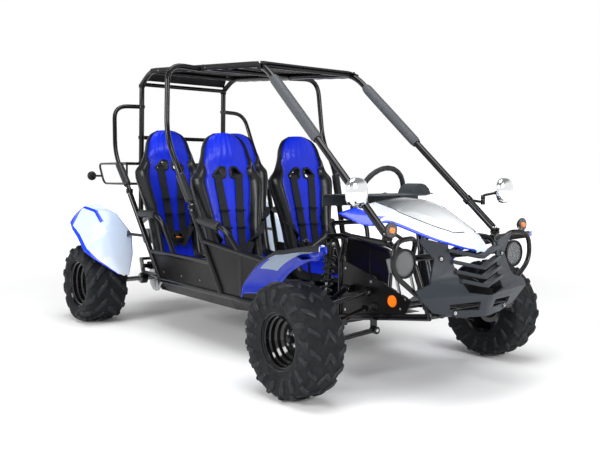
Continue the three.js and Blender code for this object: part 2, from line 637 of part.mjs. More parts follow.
function sideFrame() {
  const at = rightSide;
  const rear = at(sill.rearX, sill.y, sill.z);
  const knee = at(sill.kneeX, sill.y, sill.z);
  const bend = at(sill.bendX, sill.y, sill.z);
  const front = at(sill.frontX, sill.frontY, sill.frontZ);
  const cTop = at(cPost.topX, cPost.topY, cPost.topZ);
  const bTop = at(bPost.topX, bPost.topY, bPost.topZ);
  const onPost = (foot, top, z) => mix(foot, top, (z - foot.z) / (top.z - foot.z));
  const frontTop = at(panelTop.frontX, panelTop.frontY, panelTop.frontZ);
  const r = tubeRadius.cage;
  const post = (foot, top) => [
    rod(foot, onPost(foot, top, top.z - jointFlange.length * 0.6), r),
    rodAlong(v(top.x, top.y, top.z - jointFlange.length / 2), axis.z, jointFlange.length,
      jointFlange.radius, 8),
  ];
  const rearPanel = [rear, knee, onPost(knee, bTop, panelTop.rearZ), onPost(rear, cTop, panelTop.rearZ)];
  const bRail = onPost(knee, bTop, bPost.railZ);
  const midTop = mix(bRail, frontTop, (bRail.x - sill.bendX) / (bRail.x - frontTop.x));
  const sheet = (corners) => skin([[corners[0], corners[1]], [corners[3], corners[2]]], panelSheet);
  return fuse(
    tube([rear, bend, front], tubeRadius.frame), post(rear, cTop), post(knee, bTop),
    rod(onPost(rear, cTop, panelTop.rearZ), onPost(knee, bTop, panelTop.rearZ), tubeRadius.frame),
    tube([onPost(knee, bTop, bPost.railZ), frontTop, front], tubeRadius.frame),
    tube([onPost(rear, cTop, hipBar.z), at(hipReach.rearX, hipBar.y, hipBar.z), at(hipReach.rearFootX,
      sill.y, panelTop.rearZ)],
      tubeRadius.bar, bendRadius.hip),
    tube([onPost(knee, bTop, hipBar.z), at(hipReach.frontX, hipBar.y, hipReach.frontZ),
      at(hipReach.frontFootX, hipReach.frontFootY, hipReach.frontFootZ)],
      tubeRadius.bar, bendRadius.hip),
    sheet(rearPanel), sheet([knee, bend, midTop, bRail]), sheet([bend, front, frontTop, midTop]), belly(),
  );
}

// The sloping sheet between the sill tube and the edge of the floor.
function belly() {
  const low = floor.z;
  const top = (x, y) => rightSide(x, y, sill.z - tubeRadius.frame * 0.6);
  const bottom = (x, y) => rightSide(x, y + gap * 2, low);
  return skin([
    [top(floor.rearX + belt.rearInset, sill.y), bottom(floor.rearX + belt.rearInset, floor.halfWidth)],
    [top(floor.kneeX, sill.y), bottom(floor.kneeX, floor.halfWidth)],
    [top(sill.bendX, sill.y), bottom(sill.bendX, floorHalf(sill.bendX))],
    [top(sill.frontX - belt.frontInset, sill.frontY + belt.frontInset * 0.25), bottom(floor.frontX,
      floor.frontHalfWidth)],
  ], belt.sheet);
}

function rearFrame() {
  const r = tubeRadius.cage;
  const postTop = v(roof.rearX, roof.rearY, roof.rearZ - r - gap);
  const railZ = floor.z + tubeRadius.frame;
  const halves = [1, -1].map((side) => {
    const at = (x, y, z) => v(x, side * y, z);
    const engineRail = tube([
      at(bulkhead.x, bulkhead.halfWidth, bulkhead.z), at(bulkhead.topX, bulkhead.halfWidth, bulkhead.topZ),
      at(rearPost.footX, rearPost.footY, rearPost.footZ + r),
    ], tubeRadius.frame, tubeRadius.frame);
    const stubY = floor.halfWidth - tubeRadius.frame;
    const stubFlange = rodAlong(at(floor.rearX - gap - jointFlange.length / 2, stubY, railZ), axis.x,
      jointFlange.length, tubeRadius.cage, 8);
    const stub = rod(at(floor.rearX - gap - jointFlange.length * 0.7, stubY, railZ), at(bulkhead.x,
      bulkhead.halfWidth - weld, bulkhead.z), tubeRadius.bar);
    const post = rod(at(rearPost.footX, rearPost.footY, rearPost.footZ), at(roof.rearX, roof.rearY,
      postTop.z - jointFlange.length / 2), r);
    const cap = rodAlong(at(roof.rearX, roof.rearY, postTop.z - jointFlange.length / 2), axis.z,
      jointFlange.length, r, 8);
    const hoopFoot = cPost.topZ + gap;
    const flange = rodAlong(at(cPost.topX, cPost.topY, hoopFoot + jointFlange.length / 2), axis.z,
      jointFlange.length, jointFlange.radius, 8);
    const hoop = tube([
      at(cPost.topX, cPost.topY, hoopFoot + jointFlange.length * 0.8), at(cHoop.kneeX, cHoop.kneeY,
        cHoop.kneeZ),
      at(cHoop.cornerX, cHoop.cornerY, roof.rearZ - cHoop.cornerDrop), at(cHoop.endX, roof.rearY,
        roof.rearZ - cHoop.endDrop),
    ], tubeRadius.bar, bendRadius.cage);
    const pivotPlates = [1, -1].map((end) => box(
      v(bulkhead.x - cradle.pivotX + cradle.bushRadius, pivotEar, cradle.bushRadius * 2),
      at((bulkhead.x + cradle.pivotX - cradle.bushRadius) / 2,
        cradle.y + end * (cradle.bushLength / 2 + gap + pivotEar / 2), cradle.pivotZ)));
    return [engineRail, stubFlange, stub, post, cap, flange, hoop, pivotPlates].flat();
  });
  const across = (x, z, y, radius) => rod(v(x, -y, z), v(x, y, z), radius);
  const shockEars = [1, -1].map((end) => box(
    v(bulkhead.topX - rearShock.topX + rearShock.eyeRadius, pivotEar, rearShock.eyeRadius * 2),
    v((bulkhead.topX + rearShock.topX - rearShock.eyeRadius) / 2,
      end * (rearShock.eyeLength / 2 + gap + pivotEar / 2), (rearShock.topZ + bulkhead.topZ) / 2)));
  return fuse(
    halves.flat(), shockEars,
    across(rearPost.footX + 4, rearPost.crossZ, rearPost.footY, tubeRadius.bar),
    across(bulkhead.topX, bulkhead.topZ, bulkhead.halfWidth, tubeRadius.bar),
    across(bulkhead.x, bulkhead.z, bulkhead.halfWidth, tubeRadius.bar),
    across(rearPost.footX + 5, rearPost.lowCrossZ, rearPost.footY, tubeRadius.bar),
  );
}

const pillarPath = (side) => [
  v(pillar.footX, side * pillar.footY, pillar.footZ), v(pillar.topX, side * pillar.topY, pillar.topZ),
  v(roof.bendX, side * roof.rearY, roof.bendZ), v(roof.rearX, side * roof.rearY, roof.rearZ),
];

function roofCage() {
  const r = tubeRadius.cage;
  const railMidZ = pillar.topZ + ((roof.bendZ - pillar.topZ) * (pillar.topX - roof.midX))
    / (pillar.topX - roof.bendX);
  const halves = [1, -1].map((side) => {
    const at = (x, y, z) => v(x, side * y, z);
    const [foot, top] = pillarPath(side);
    const rail = tube(pillarPath(side), r, bendRadius.cage);
    const footFlange = rodAlong(at(pillar.flangeX, pillar.footY, pillar.flangeZ + jointFlange.length / 2),
      axis.z, jointFlange.length, jointFlange.radius, 8);
    const sleeve = rod(mix(foot, top, pillarFoam.startShare), mix(foot, top, pillarFoam.endShare),
      foamRadius, 8);
    const clampAt = mix(foot, top, mirror.clampShare);
    const along = top.clone().sub(foot).normalize();
    const mirrorBoss = at(mirror.pivotX, mirror.pivotY, mirror.pivotZ - mirror.bossHeight / 2);
    const clamp = rodAlong(clampAt, along, mirror.clampLength, mirror.clampRadius + r, 8);
    const arm = rod(clampAt, mirrorBoss, mirror.stemRadius);
    const boss = rodAlong(mirrorBoss, axis.z, mirror.bossHeight, mirror.bossRadius, 8);
    const hoopFoot = bPost.topZ + gap;
    const flange = rodAlong(at(bPost.topX, bPost.topY, hoopFoot + jointFlange.length / 2), axis.z,
      jointFlange.length, jointFlange.radius, 8);
    const hoopStart = at(bPost.topX, bPost.topY, hoopFoot + jointFlange.length * 0.8);
    const padTop = at(bHoop.padTopX, bHoop.padY, bHoop.padTopZ);
    const hoop = tube([
      hoopStart, padTop, at(bHoop.kneeX, bHoop.padY, bHoop.kneeZ),
      at(roof.midX, bHoop.topY, railMidZ), at(roof.midX, roof.rearY, railMidZ - bHoop.endDrop),
    ], tubeRadius.bar + 1, bendRadius.cage);
    const hoopSleeve = rod(mix(hoopStart, padTop, 0.1), mix(hoopStart, padTop, 0.8), foamRadius - 2, 8);
    return [rail, footFlange, sleeve, clamp, arm, boss, flange, hoop, hoopSleeve];
  });
  const across = (x, z, y) => rod(v(x, -y, z), v(x, y, z), tubeRadius.bar);
  return fuse(
    halves.flat(),
    across(roof.frontBarX, pillar.topZ - 2, pillar.topY),
    across(roof.midX, railMidZ, roof.rearY),
    across(roof.bendX, roof.bendZ - roof.bendDrop, roof.rearY),
    across(roof.rearX + r, roof.rearZ, roof.rearY),
  );
}

// Front clip
function frontFrame() {
  const r = tubeRadius.frame;
  const bar = tubeRadius.bar;
  const floorRailZ = floor.z + r;
  const halves = [1, -1].map((side) => {
    const at = (x, y, z) => v(x, side * y, z);
    const lower = tube([
      at(floor.frontX + gap + jointFlange.length * 0.7, floor.frontHalfWidth - r, floorRailZ),
        at(clip.rearX, clip.y, clip.rearZ),
      at(clip.noseX, clip.y, clip.noseZ),
    ], r);
    const lowerFlange = rodAlong(at(floor.frontX + gap + jointFlange.length / 2, floor.frontHalfWidth - r,
      floorRailZ), axis.x, jointFlange.length, tubeRadius.cage, 8);
    const upper = rod(at(clip.rearX, clip.y, clip.rearZ), at(clip.rearX, clip.y, clip.towerTopZ), bar);
    const sheet = sidePlate([
      [clip.rearX, clip.rearZ], [clip.plateFootX, clip.noseZ - 8], [clip.plateTopX, clip.plateTopZ - 40],
      [clip.midX, clip.midZ], [clip.rearX, clip.towerTopZ],
    ], side * clip.y, clip.plate);
    const tower = tube(towerPath(side), bar);
    const earIn = shock.eyeLength / 2 + gap;
    const earOut = earIn + clip.earThickness;
    const clevisTop = towerZ - shock.topZ;
    const clevisIn = shock.eyeRadius + clip.towerLift / 2;
    const clevisLow = shock.eyeRadius * 0.6;
    const clevis = plate([
      [-earOut, -clevisLow], [-earOut, clevisTop], [earOut, clevisTop], [earOut, -clevisLow],
      [earIn, -clevisLow], [earIn, clevisIn], [-earIn, clevisIn], [-earIn, -clevisLow],
    ], clip.earWidth, at(shock.topX, shock.topY, shock.topZ), axis.x, axis.z);
    const top = tube(noseTopPath(side), bar);
    const shoulder = noseTopPath(side)[1];
    const stub = rod(shoulder, at(pillar.flangeX, pillar.footY, pillar.flangeZ - jointFlange.length), bar);
    const flange = rodAlong(at(pillar.flangeX, pillar.footY, pillar.flangeZ - gap - jointFlange.length / 2),
      axis.z, jointFlange.length, jointFlange.radius, 8);
    const guard = tube(guardPath(side), tubeRadius.guard, bendRadius.cage);
    const hoopLeg = tube([at(clip.rearX + 2, clip.y, clip.towerTopZ - 6), at(dashHoop.x, dashHoop.y,
      dashHoop.z)], bar);
    const bushEars = [[arm.lowerHalfSpan, 0], [arm.upperHalfSpan, arm.rise]].flatMap(([span, lift]) => [1,
      -1].map((end) => {
      const z = arm.innerZ + lift;
      const high = lift
        ? z + armTube.bushRadius
        : clip.rearZ + (clip.noseZ - clip.rearZ) * ((end * span - clip.rearX) / (clip.noseX - clip.rearX));
      const low = z - armTube.bushRadius;
      const inner = clip.y - clip.plate / 2;
      const outer = arm.innerY + armTube.bushRadius * 1.2;
      return box(v(bushEar, outer - inner, high - low),
        at(end * (span - armTube.bushLength / 2 - gap - bushEar / 2), (inner + outer) / 2,
        (high + low) / 2));
    }));
    const rackBoss = rodAlong(at(steering.rackX, clip.y, rods.inner.z), axis.y, rackGuide.length,
      rackGuide.radius, 10);
    const turnSignal = side < 0
      ? v(signalAt.rightX, signalAt.rightY, signalAt.rightZ) : v(signalAt.leftX, signalAt.leftY,
        signalAt.leftZ);
    const guardTop = mix(guardPath(side)[1], guardPath(side)[2], 0.62);
    return [
      lower, lowerFlange, upper, sheet, tower, clevis, top, stub, flange, guard, hoopLeg, ...bushEars,
        rackBoss,
      rod(guardTop, turnSignal, signalAt.stemRadius), rodAlong(turnSignal, axis.x, signalAt.depth,
        signalAt.radius, 10),
    ];
  });
  const across = (x, z, y, radius = bar) => rod(v(x, -y, z), v(x, y, z), radius);
  const collarAt = wheelCentre.clone().addScaledVector(columnAxis,
    (dashHoop.x - steering.wheelX) / columnAxis.x);
  const collar = rodAlong(collarAt, columnAxis, dashHoop.collarLength, dashHoop.collarRadius, 10);
  const foot = box(
    v(dashHoop.collarLength * 0.7, dashHoop.collarRadius, collarAt.z - dashHoop.z),
    v(dashHoop.x, collarAt.y, (collarAt.z + dashHoop.z) / 2));
  const rackBore = rodAlong(v(steering.rackX, 0, rods.inner.z), axis.y, clip.y * 3,
    steering.rackRadius + gap * 1.5, 8);
  const columnBore = rodAlong(collarAt, columnAxis, dashHoop.collarLength * 4,
    boreRadius(steering.shaftRadius, 12), 12);
  const housing = box(
    v(rackGuide.housingX - rackGuide.housingBackX, rackGuide.housingWidth,
      rackGuide.radius + rackGuide.housingTop),
    v((rackGuide.housingX + rackGuide.housingBackX) / 2, steering.pinionY,
      rods.inner.z + (rackGuide.housingTop - rackGuide.radius) / 2));
  const pinionBore = rod(
    pinionCentre.clone().addScaledVector(shaftAxis, steering.pinionLength),
      pinionCentre.clone().addScaledVector(shaftAxis, -rackGuide.radius * 3),
    boreRadius(steering.pinionRadius, 12), 12);
  const pan = plate([
    [floor.frontX + gap, -floor.frontHalfWidth + r], [clip.rearX, -clip.y], [clip.rearX, clip.y],
      [floor.frontX + gap, floor.frontHalfWidth - r],
  ], floor.sheet, v(0, 0, (floorRailZ + clip.rearZ) / 2 - r), axis.x, axis.y);
  const pedalShaft = rod(v(pedal.x, clip.y, pedal.z), v(pedal.x, pedal.shaftEnd, pedal.z),
    pedal.shaftRadius, 8);
  const pedalFoot = rod(v(pedal.x, pedal.shaftEnd + pedal.shaftRadius, pedal.z), v(clip.rearX,
    pedal.shaftEnd + pedal.shaftRadius, clip.rearZ), pedal.shaftRadius * 0.9);
  return carve(fuse(
    halves.flat(), collar, foot, housing, pan, pedalShaft, pedalFoot,
    across(clip.noseX - 6, clip.noseZ + 2, clip.y),
    across(clip.rearX, clip.rearZ, clip.y),
    across(rackGuide.housingX, rods.inner.z, clip.y, tubeRadius.guard),
    across(dashHoop.x, dashHoop.z, dashHoop.y, tubeRadius.guard),
    across(clip.noseTopX + 2, clip.noseTopZ, clip.noseTopY),
  ), rackBore, columnBore, pinionBore);
}

add("floor_frame", floorFrame(), finishes.blackPaint());
addPair("side_frame", sideFrame(), finishes.blackPaint);
add("rear_frame", rearFrame(), finishes.blackPaint());
add("roof_cage", roofCage(), finishes.blackPaint());
add("front_frame", frontFrame(), finishes.blackPaint());

function wishbone(halfSpan, lift) {
  const outer = ball.clone().add(v(0, 0, lift));
  const inner = (x) => rightSide(x, arm.innerY + armTube.bushRadius, arm.innerZ + lift);
  const pieces = [1, -1].map((end) => [
    rodAlong(inner(end * halfSpan), axis.x, armTube.bushLength, armTube.bushRadius, 8),
    rod(inner(end * halfSpan), outer, armTube.radius),
  ]);
  pieces.push(rodAlong(outer, axis.x, upright.ballHalf * 2, upright.radius, 12));
  return pieces.flat();
}

function lowerArm() {
  const pieces = wishbone(arm.lowerHalfSpan, 0);
  const eye = rightSide(shock.bottomX, shock.bottomY, shock.bottomZ);
  const foot = mix(rightSide(-arm.lowerHalfSpan, arm.innerY, arm.innerZ), ball, 0.56);
  const across = v(shock.eyeLength / 2 + armTube.pinRadius + gap, 0, 0);
  for (const side of [1, -1]) {
    const ear = eye.clone().addScaledVector(across, side);
    pieces.push(rod(rightSide(ear.x, -foot.y, foot.z), ear, armTube.pinRadius));
  }
  pieces.push(rod(rightSide(eye.x - across.x, -foot.y, foot.z), foot, armTube.radius * 0.9));
  return fuse(pieces);
}

function uprightPiece() {
  const low = ball.clone().add(v(0, 0, earInset));
  const high = ball.clone().add(rise).sub(v(0, 0, earInset));
  const kingLow = rightSide(0, kingpinY, low.z);
  const kingHigh = rightSide(0, kingpinY, high.z);
  const ear = (from, to) => {
    const middle = mix(from, to, 0.5);
    return box(v(upright.radius * 2, from.distanceTo(to) + upright.radius * 2, upright.earThickness),
      middle);
  };
  const stem = (foot, top) => rod(foot, top, upright.radius * 0.8, 8);
  return fuse(
    ear(low, kingLow), ear(high, kingHigh), stem(low, high), rod(kingLow, kingHigh, upright.pinRadius, 8),
    rod(ball.clone().add(v(0, 0, upright.radius + gap)), low, upright.studRadius, 8),
    rod(high, ball.clone().add(rise).sub(v(0, 0, upright.radius + gap)), upright.studRadius, 8),
  );
}

function knuckleSolid() {
  const bottom = arm.outerZ + earInset + upright.earThickness / 2 + gap;
  const top = arm.outerZ + arm.rise - earInset - upright.earThickness / 2 - gap;
  const hub = frontRim.bearingHalf - frontRim.dish;
  const barrel = rod(rightSide(0, kingpinY, bottom), rightSide(0, kingpinY, top), knuckle.radius, 12);
  const bore = rod(rightSide(0, kingpinY, bottom - overrun), rightSide(0, kingpinY, top + overrun),
    boreRadius(upright.pinRadius, 8), 8);
  const stubEnd = frontHalfTrack + frontRim.dish + frontRim.bearingHalf + knuckle.overhang;
  const stub = rod(rightSide(0, kingpinY + knuckle.radius / 2, frontTyre.radius), rightSide(0, stubEnd,
    frontTyre.radius), knuckle.stubRadius, 12);
  const collar = rod(rightSide(0, kingpinY, frontTyre.radius), rightSide(0, frontHalfTrack - hub - gap * 2,
    frontTyre.radius), knuckle.collarRadius, 12);
  const reach = knuckle.armLength;
  const steeringArm = box(v(reach + knuckle.armWidth / 2, knuckle.armWidth, knuckle.armThickness),
    rightSide(reach / 2 + knuckle.armWidth / 4, kingpinY, knuckle.armZ));
  return carve(fuse(barrel, stub, collar, steeringArm), bore);
}

add("lower_arm_right", lowerArm(), finishes.blackPaint());
add("lower_arm_left", mirrored(lowerArm()), finishes.blackPaint());
addPair("upper_arm", fuse(wishbone(arm.upperHalfSpan, arm.rise)), finishes.blackPaint);
addPair("upright", uprightPiece(), finishes.blackPaint);
addPair("knuckle", knuckleSolid(), finishes.steel);

// Steering

function steeringWheel() {
  const up = v(Math.sin(tilt), 0, Math.cos(tilt));
  const rimPoint = (angle) => wheelCentre.clone()
    .addScaledVector(axis.y, steering.wheelRadius * Math.sin(angle))
    .addScaledVector(up, steering.wheelRadius * Math.cos(angle));
  const grip = new THREE.TorusGeometry(steering.wheelRadius, steering.gripRadius, 6, 18)
    .applyMatrix4(new THREE.Matrix4().makeBasis(axis.y.clone().negate(), up,
      columnAxis.clone().negate()).setPosition(wheelCentre));
  const hubCentre = wheelCentre.clone().addScaledVector(columnAxis, steering.hubDepth);
  const spokes = [Math.PI / 2, -Math.PI / 2, Math.PI].map((angle) => rod(rimPoint(angle), hubCentre,
    steering.spokeThickness * 1.6));
  const shaftEnd = jointCentre.clone().addScaledVector(columnAxis, -steering.yokeRadius - gap);
  return fuse(
    grip, spokes, rodAlong(hubCentre, columnAxis, steering.hubDepth, steering.hubRadius, 12),
    rod(hubCentre, shaftEnd, steering.shaftRadius, 12),
      rodAlong(shaftEnd.clone().addScaledVector(columnAxis, -steering.yokeLength / 2), columnAxis,
      steering.yokeLength, steering.yokeRadius, 8),
  );
}

function steeringShaft() {
  const from = jointCentre.clone().addScaledVector(shaftAxis, steering.yokeRadius);
  const pinionTop = pinionCentre.clone().addScaledVector(shaftAxis, -steering.pinionLength);
  const pinionEnd = pinionCentre.clone().addScaledVector(shaftAxis, steering.pinionEnd);
  return fuse(
    rod(from, pinionCentre, steering.shaftRadius, 8),
    rodAlong(from.clone().addScaledVector(shaftAxis, steering.yokeLength / 2), shaftAxis,
      steering.yokeLength, steering.yokeRadius, 8),
    new THREE.SphereGeometry(steering.shaftRadius * 1.3, 8, 6).translate(jointCentre.x, jointCentre.y,
      jointCentre.z),
    rod(jointCentre, from, steering.shaftRadius * 0.8, 8),
    rod(pinionTop, pinionEnd, steering.pinionRadius, 12),
  );
}

function steeringRack() {
  const inner = rods.inner;
  const end = v(inner.x, inner.y + tieRod.endRadius + gap, inner.z);
  return fuse(rod(end, v(end.x, -end.y, end.z), steering.rackRadius, 8));
}

function tieRodPiece() {
  return fuse(
    rod(rods.inner, rods.outer, tieRod.radius),
    rodAlong(rods.inner, axis.x, tieRod.endRadius * 1.5, tieRod.endRadius, 8),
    new THREE.SphereGeometry(tieRod.endRadius, 8, 6).translate(rods.outer.x, rods.outer.y, rods.outer.z),
  );
}

add("steering_wheel", steeringWheel(), finishes.foam());
add("steering_shaft", steeringShaft(), finishes.steel());
add("steering_rack", steeringRack(), finishes.steel());
addPair("tie_rod", tieRodPiece(), finishes.blackPaint);

// Front shocks
const springLine = (share) => mix(rightSide(shock.topX, shock.topY, shock.topZ), rightSide(shock.bottomX,
  shock.bottomY, shock.bottomZ), share);

function coil(start, end, radius, wire, curls) {
  const direction = end.clone().sub(start).normalize();
  const sideways = v(1, 0, 0).addScaledVector(direction, -direction.x).normalize();
  const other = direction.clone().cross(sideways);
  const steps = curls * 8;
  const inset = wire * shock.endShare;
  const length = start.distanceTo(end);
  const path = [];
  const at = (angle, along) => start.clone().addScaledVector(direction, along)
    .addScaledVector(sideways, radius * Math.cos(angle)).addScaledVector(other, radius * Math.sin(angle));
  for (let i = 0; i <= steps; i++) path.push(at((i / 8) * 2 * Math.PI,
    inset + ((length - inset * 2) * i) / steps));
  const tangentEnd = path[steps].clone().sub(path[steps - 1]).normalize();
  const tangentStart = path[0].clone().sub(path[1]).normalize();
  path.unshift(path[0].clone().addScaledVector(tangentStart, wire * 2));
  path.push(path[path.length - 1].clone().addScaledVector(tangentEnd, wire * 2));
  const least = (length - inset * 2) / curls - wire * 2;
  console.log("spring: least gap between curls " + least.toFixed(2) + " mm");
  return sweep(path, polygon(wire, 5));
}

function shockPieces() {
  const top = springLine(0);
  const bottom = springLine(1);
  const along = bottom.clone().sub(top).normalize();
  const seatAt = (share, shift) => springLine(share).addScaledVector(along, shift);
  const upperSeat = seatAt(shock.upperSeatShare, 0);
  const lowerSeat = seatAt(shock.lowerSeatShare, 0);
  const disc = (centre) => rodAlong(centre, along, shock.seatThickness, shock.seatRadius, 12);
  const body = fuse(
    rodAlong(top, axis.x, shock.eyeLength, shock.eyeRadius, 8), disc(upperSeat),
    rod(top, upperSeat, shock.bodyRadius * 0.6, 8), rod(top.clone().addScaledVector(along,
      shock.eyeRadius * 1.3), seatAt(shock.bodyShare, 0), shock.bodyRadius, 10));
  const bore = rod(seatAt(shock.upperSeatShare, overrun), seatAt(shock.bodyShare, overrun),
    shock.rodRadius + gap, 8);
  const rodPiece = fuse(
    rodAlong(bottom, axis.x, shock.eyeLength, shock.eyeRadius, 8), disc(lowerSeat),
    rod(seatAt(shock.bodyShare, -overrun * 3), bottom, shock.rodRadius, 8),
    rod(seatAt(shock.lowerSeatShare, 0), bottom, shock.bodyRadius * 0.7, 8));
  const half = shock.seatThickness / 2 + gap;
  const spring = coil(upperSeat.clone().addScaledVector(along, half),
    lowerSeat.clone().addScaledVector(along, -half), shock.springRadius, shock.wireRadius,
    springCurlsCount);
  return { body: carve(body, bore), rodPiece, spring };
}

const frontShock = shockPieces();
addPair("shock_body", frontShock.body, finishes.blackPaint);
addPair("shock_rod", frontShock.rodPiece, finishes.steel);
addPair("shock_spring", frontShock.spring, finishes.blackPaint);


// Rear drive. The engine's sprocket stands where an even count of links closes the chain.
const axleCentre = v(-wheelbase, 0, rearTyre.radius);
const pitchRadius = (teeth) => chainLine.pitch / (2 * Math.sin(Math.PI / teeth));
const bigPitch = pitchRadius(axleTeethCount);
const smallPitch = pitchRadius(engineTeethCount);

function linksAt(reach) {
  const tuck = Math.acos((bigPitch - smallPitch) / reach);
  const wrapped = (axleTeethCount * (Math.PI - tuck) + engineTeethCount * tuck) / Math.PI;
  return wrapped + (2 * reach * Math.sin(tuck)) / chainLine.pitch;
}

function chainReach() {
  let low = bigPitch + smallPitch;
  let high = low + chainLine.pitch * linksCount;
  for (let i = 0; i < halvingsCount; i++) {
    const middle = (low + high) / 2;
    if (linksAt(middle) < linksCount) low = middle;
    else high = middle;
  }
  return low;
}

const chainLean = radians(chainLine.leanDeg);
const driveCentre = v(-wheelbase + chainReach() * Math.cos(chainLean), chainLine.y,
  rearTyre.radius + chainReach() * Math.sin(chainLean));

function sprocket(teeth, centre, boss, bore) {
  const pitch = pitchRadius(teeth);
  const outline = [];
  for (let i = 0; i < teeth; i++) {
    for (const [share, radius] of [[0, pitch - chainLine.rollerRadius - chainLine.clearance], [0.5,
      pitch + chainLine.rollerRadius * 0.4]]) {
      const angle = ((i + share) / teeth) * 2 * Math.PI;
      outline.push([radius * Math.cos(angle), radius * Math.sin(angle)]);
    }
  }
  const disc = plate(outline, chainLine.discWidth, centre, axis.x, axis.z);
  const hub = rodAlong(centre, axis.y, chainLine.hubLength, boss, 12);
  return bore ? carve(fuse(disc, hub), rodAlong(centre, axis.y, chainLine.hubLength * 2, bore,
    12)) : fuse(disc, hub);
}

// The chain's pins, one for each link, walked round both sprockets.
function chainPins() {
  const reach = chainReach();
  const tuck = Math.acos((bigPitch - smallPitch) / reach);
  const onBig = (angle) => v(axleCentre.x + bigPitch * Math.cos(angle), 0,
    axleCentre.z + bigPitch * Math.sin(angle));
  const onSmall = (angle) => v(driveCentre.x + smallPitch * Math.cos(angle), 0,
    driveCentre.z + smallPitch * Math.sin(angle));
  const bigLinks = (axleTeethCount * (Math.PI - tuck)) / Math.PI;
  const smallLinks = (engineTeethCount * tuck) / Math.PI;
  const straight = (reach * Math.sin(tuck)) / chainLine.pitch;
  const legs = [
    { links: bigLinks, at: (share) => onBig(chainLean + tuck + share * 2 * (Math.PI - tuck)) },
    { links: straight, at: (share) => mix(onBig(chainLean - tuck), onSmall(chainLean - tuck), share) },
    { links: smallLinks, at: (share) => onSmall(chainLean - tuck + share * 2 * tuck) },
    { links: straight, at: (share) => mix(onSmall(chainLean + tuck), onBig(chainLean + tuck), share) },
  ];
  return Array.from({ length: linksCount }, (_, i) => {
    let left = i;
    for (const { links, at } of legs) {
      if (left < links) return at(left / links);
      left -= links;
    }
    return legs[3].at(1);
  });
}

function chainSolid() {
  const pins = chainPins();
  const offset = (distance) => pins.map((pin, i) => {
    const before = pins[(i + pins.length - 1) % pins.length];
    const after = pins[(i + 1) % pins.length];
    const along = after.clone().sub(before).normalize();
    return [pin.x + along.z * distance, pin.z - along.x * distance];
  });
  const half = chainLine.plateHeight / 2;
  const y = chainLine.y;
  const band = sidePlate(offset(half), y, chainLine.width, [offset(-half)]);
  const channel = sidePlate(offset(chainLine.rollerRadius * 0.7), y,
    chainLine.discWidth + chainLine.clearance, [offset(-half * 2)]);
  return carve(band, channel);
}

const cradleFront = v(rearShock.bottomX, 0, rearShock.bottomZ - rearShock.crossDrop);

function swingarm() {
  const housingTop = rearTyre.radius + cradle.housingRadius;
  const halves = [1, -1].map((side) => {
    const at = (x, y, z) => v(x, side * y, z);
    const bush = rodAlong(at(cradle.pivotX, cradle.y, cradle.pivotZ), axis.y, cradle.bushLength,
      cradle.bushRadius, 10);
    const arms = tube([at(cradle.pivotX, cradle.y, cradle.pivotZ), at(-wheelbase, cradle.housingY,
      housingTop), at(cradle.tailX, cradle.y, cradle.tailZ)], cradle.tube);
    return [bush, arms, rodAlong(at(-wheelbase, cradle.housingY, rearTyre.radius), axis.y,
      cradle.housingWidth, cradle.housingRadius, 12)];
  });
  const across = (x, z, y) => rod(v(x, -y, z), v(x, y, z), cradle.crossRadius);
  const bore = rodAlong(axleCentre, axis.y, rearHalfTrack * 2, boreRadius(axle.radius, 12), 12);
  const ears = [1, -1].map((end) => box(
    v(cradle.earWidth, pivotEar, rearShock.bottomZ - cradleFront.z + rearShock.eyeRadius),
    v(rearShock.bottomX, end * (rearShock.eyeLength / 2 + gap + pivotEar / 2),
      (rearShock.bottomZ + cradleFront.z + rearShock.eyeRadius) / 2)));
  const caliper = box(v(brake.length, brake.width, brake.height), v(brake.x, axle.discY, brake.z));
  const lug = box(v(brake.length * 0.7, brake.width * 1.6, brake.height * 0.5), v(brake.x,
    axle.discY - brake.width * 0.9, brake.z));
  const discSlot = rodAlong(v(-wheelbase, axle.discY, rearTyre.radius), axis.y,
    axle.discThickness + gap * 4, axle.discRadius + brake.slotMargin, roundSidesCount);
  return carve(fuse(
    halves.flat(), ears, caliper, lug,
    across(cradle.tailX, cradle.tailZ, cradle.y), across(cradleFront.x, cradleFront.z,
      cradle.y + cradle.tube),
  ), bore, discSlot);
}

function rearAxle() {
  const hub = rearRim.bearingHalf;
  const end = rearHalfTrack + rearRim.dish + hub + axle.nut + gap;
  const shaft = rodAlong(axleCentre, axis.y, end * 2, axle.radius, 12);
  const collars = [1, -1].flatMap((side) => [
    rodAlong(v(-wheelbase, side * (end - axle.nut / 2), rearTyre.radius), axis.y, axle.nut, axle.nutRadius,
      6),
    rodAlong(v(-wheelbase, side * (cradle.housingY + cradle.housingWidth / 2 + gap + axle.collar / 2),
      rearTyre.radius), axis.y, axle.collar, axle.collarRadius, 10),
  ]);
  const disc = rodAlong(v(-wheelbase, axle.discY, rearTyre.radius), axis.y, axle.discThickness,
    axle.discRadius, roundSidesCount);
  const discHub = rodAlong(v(-wheelbase, axle.discY, rearTyre.radius), axis.y, axle.hubLength * 0.5,
    axle.collarRadius, 10);
  return fuse(shaft, collars, disc, discHub, sprocket(axleTeethCount, v(-wheelbase, chainLine.y,
    rearTyre.radius), axle.collarRadius, 0));
}

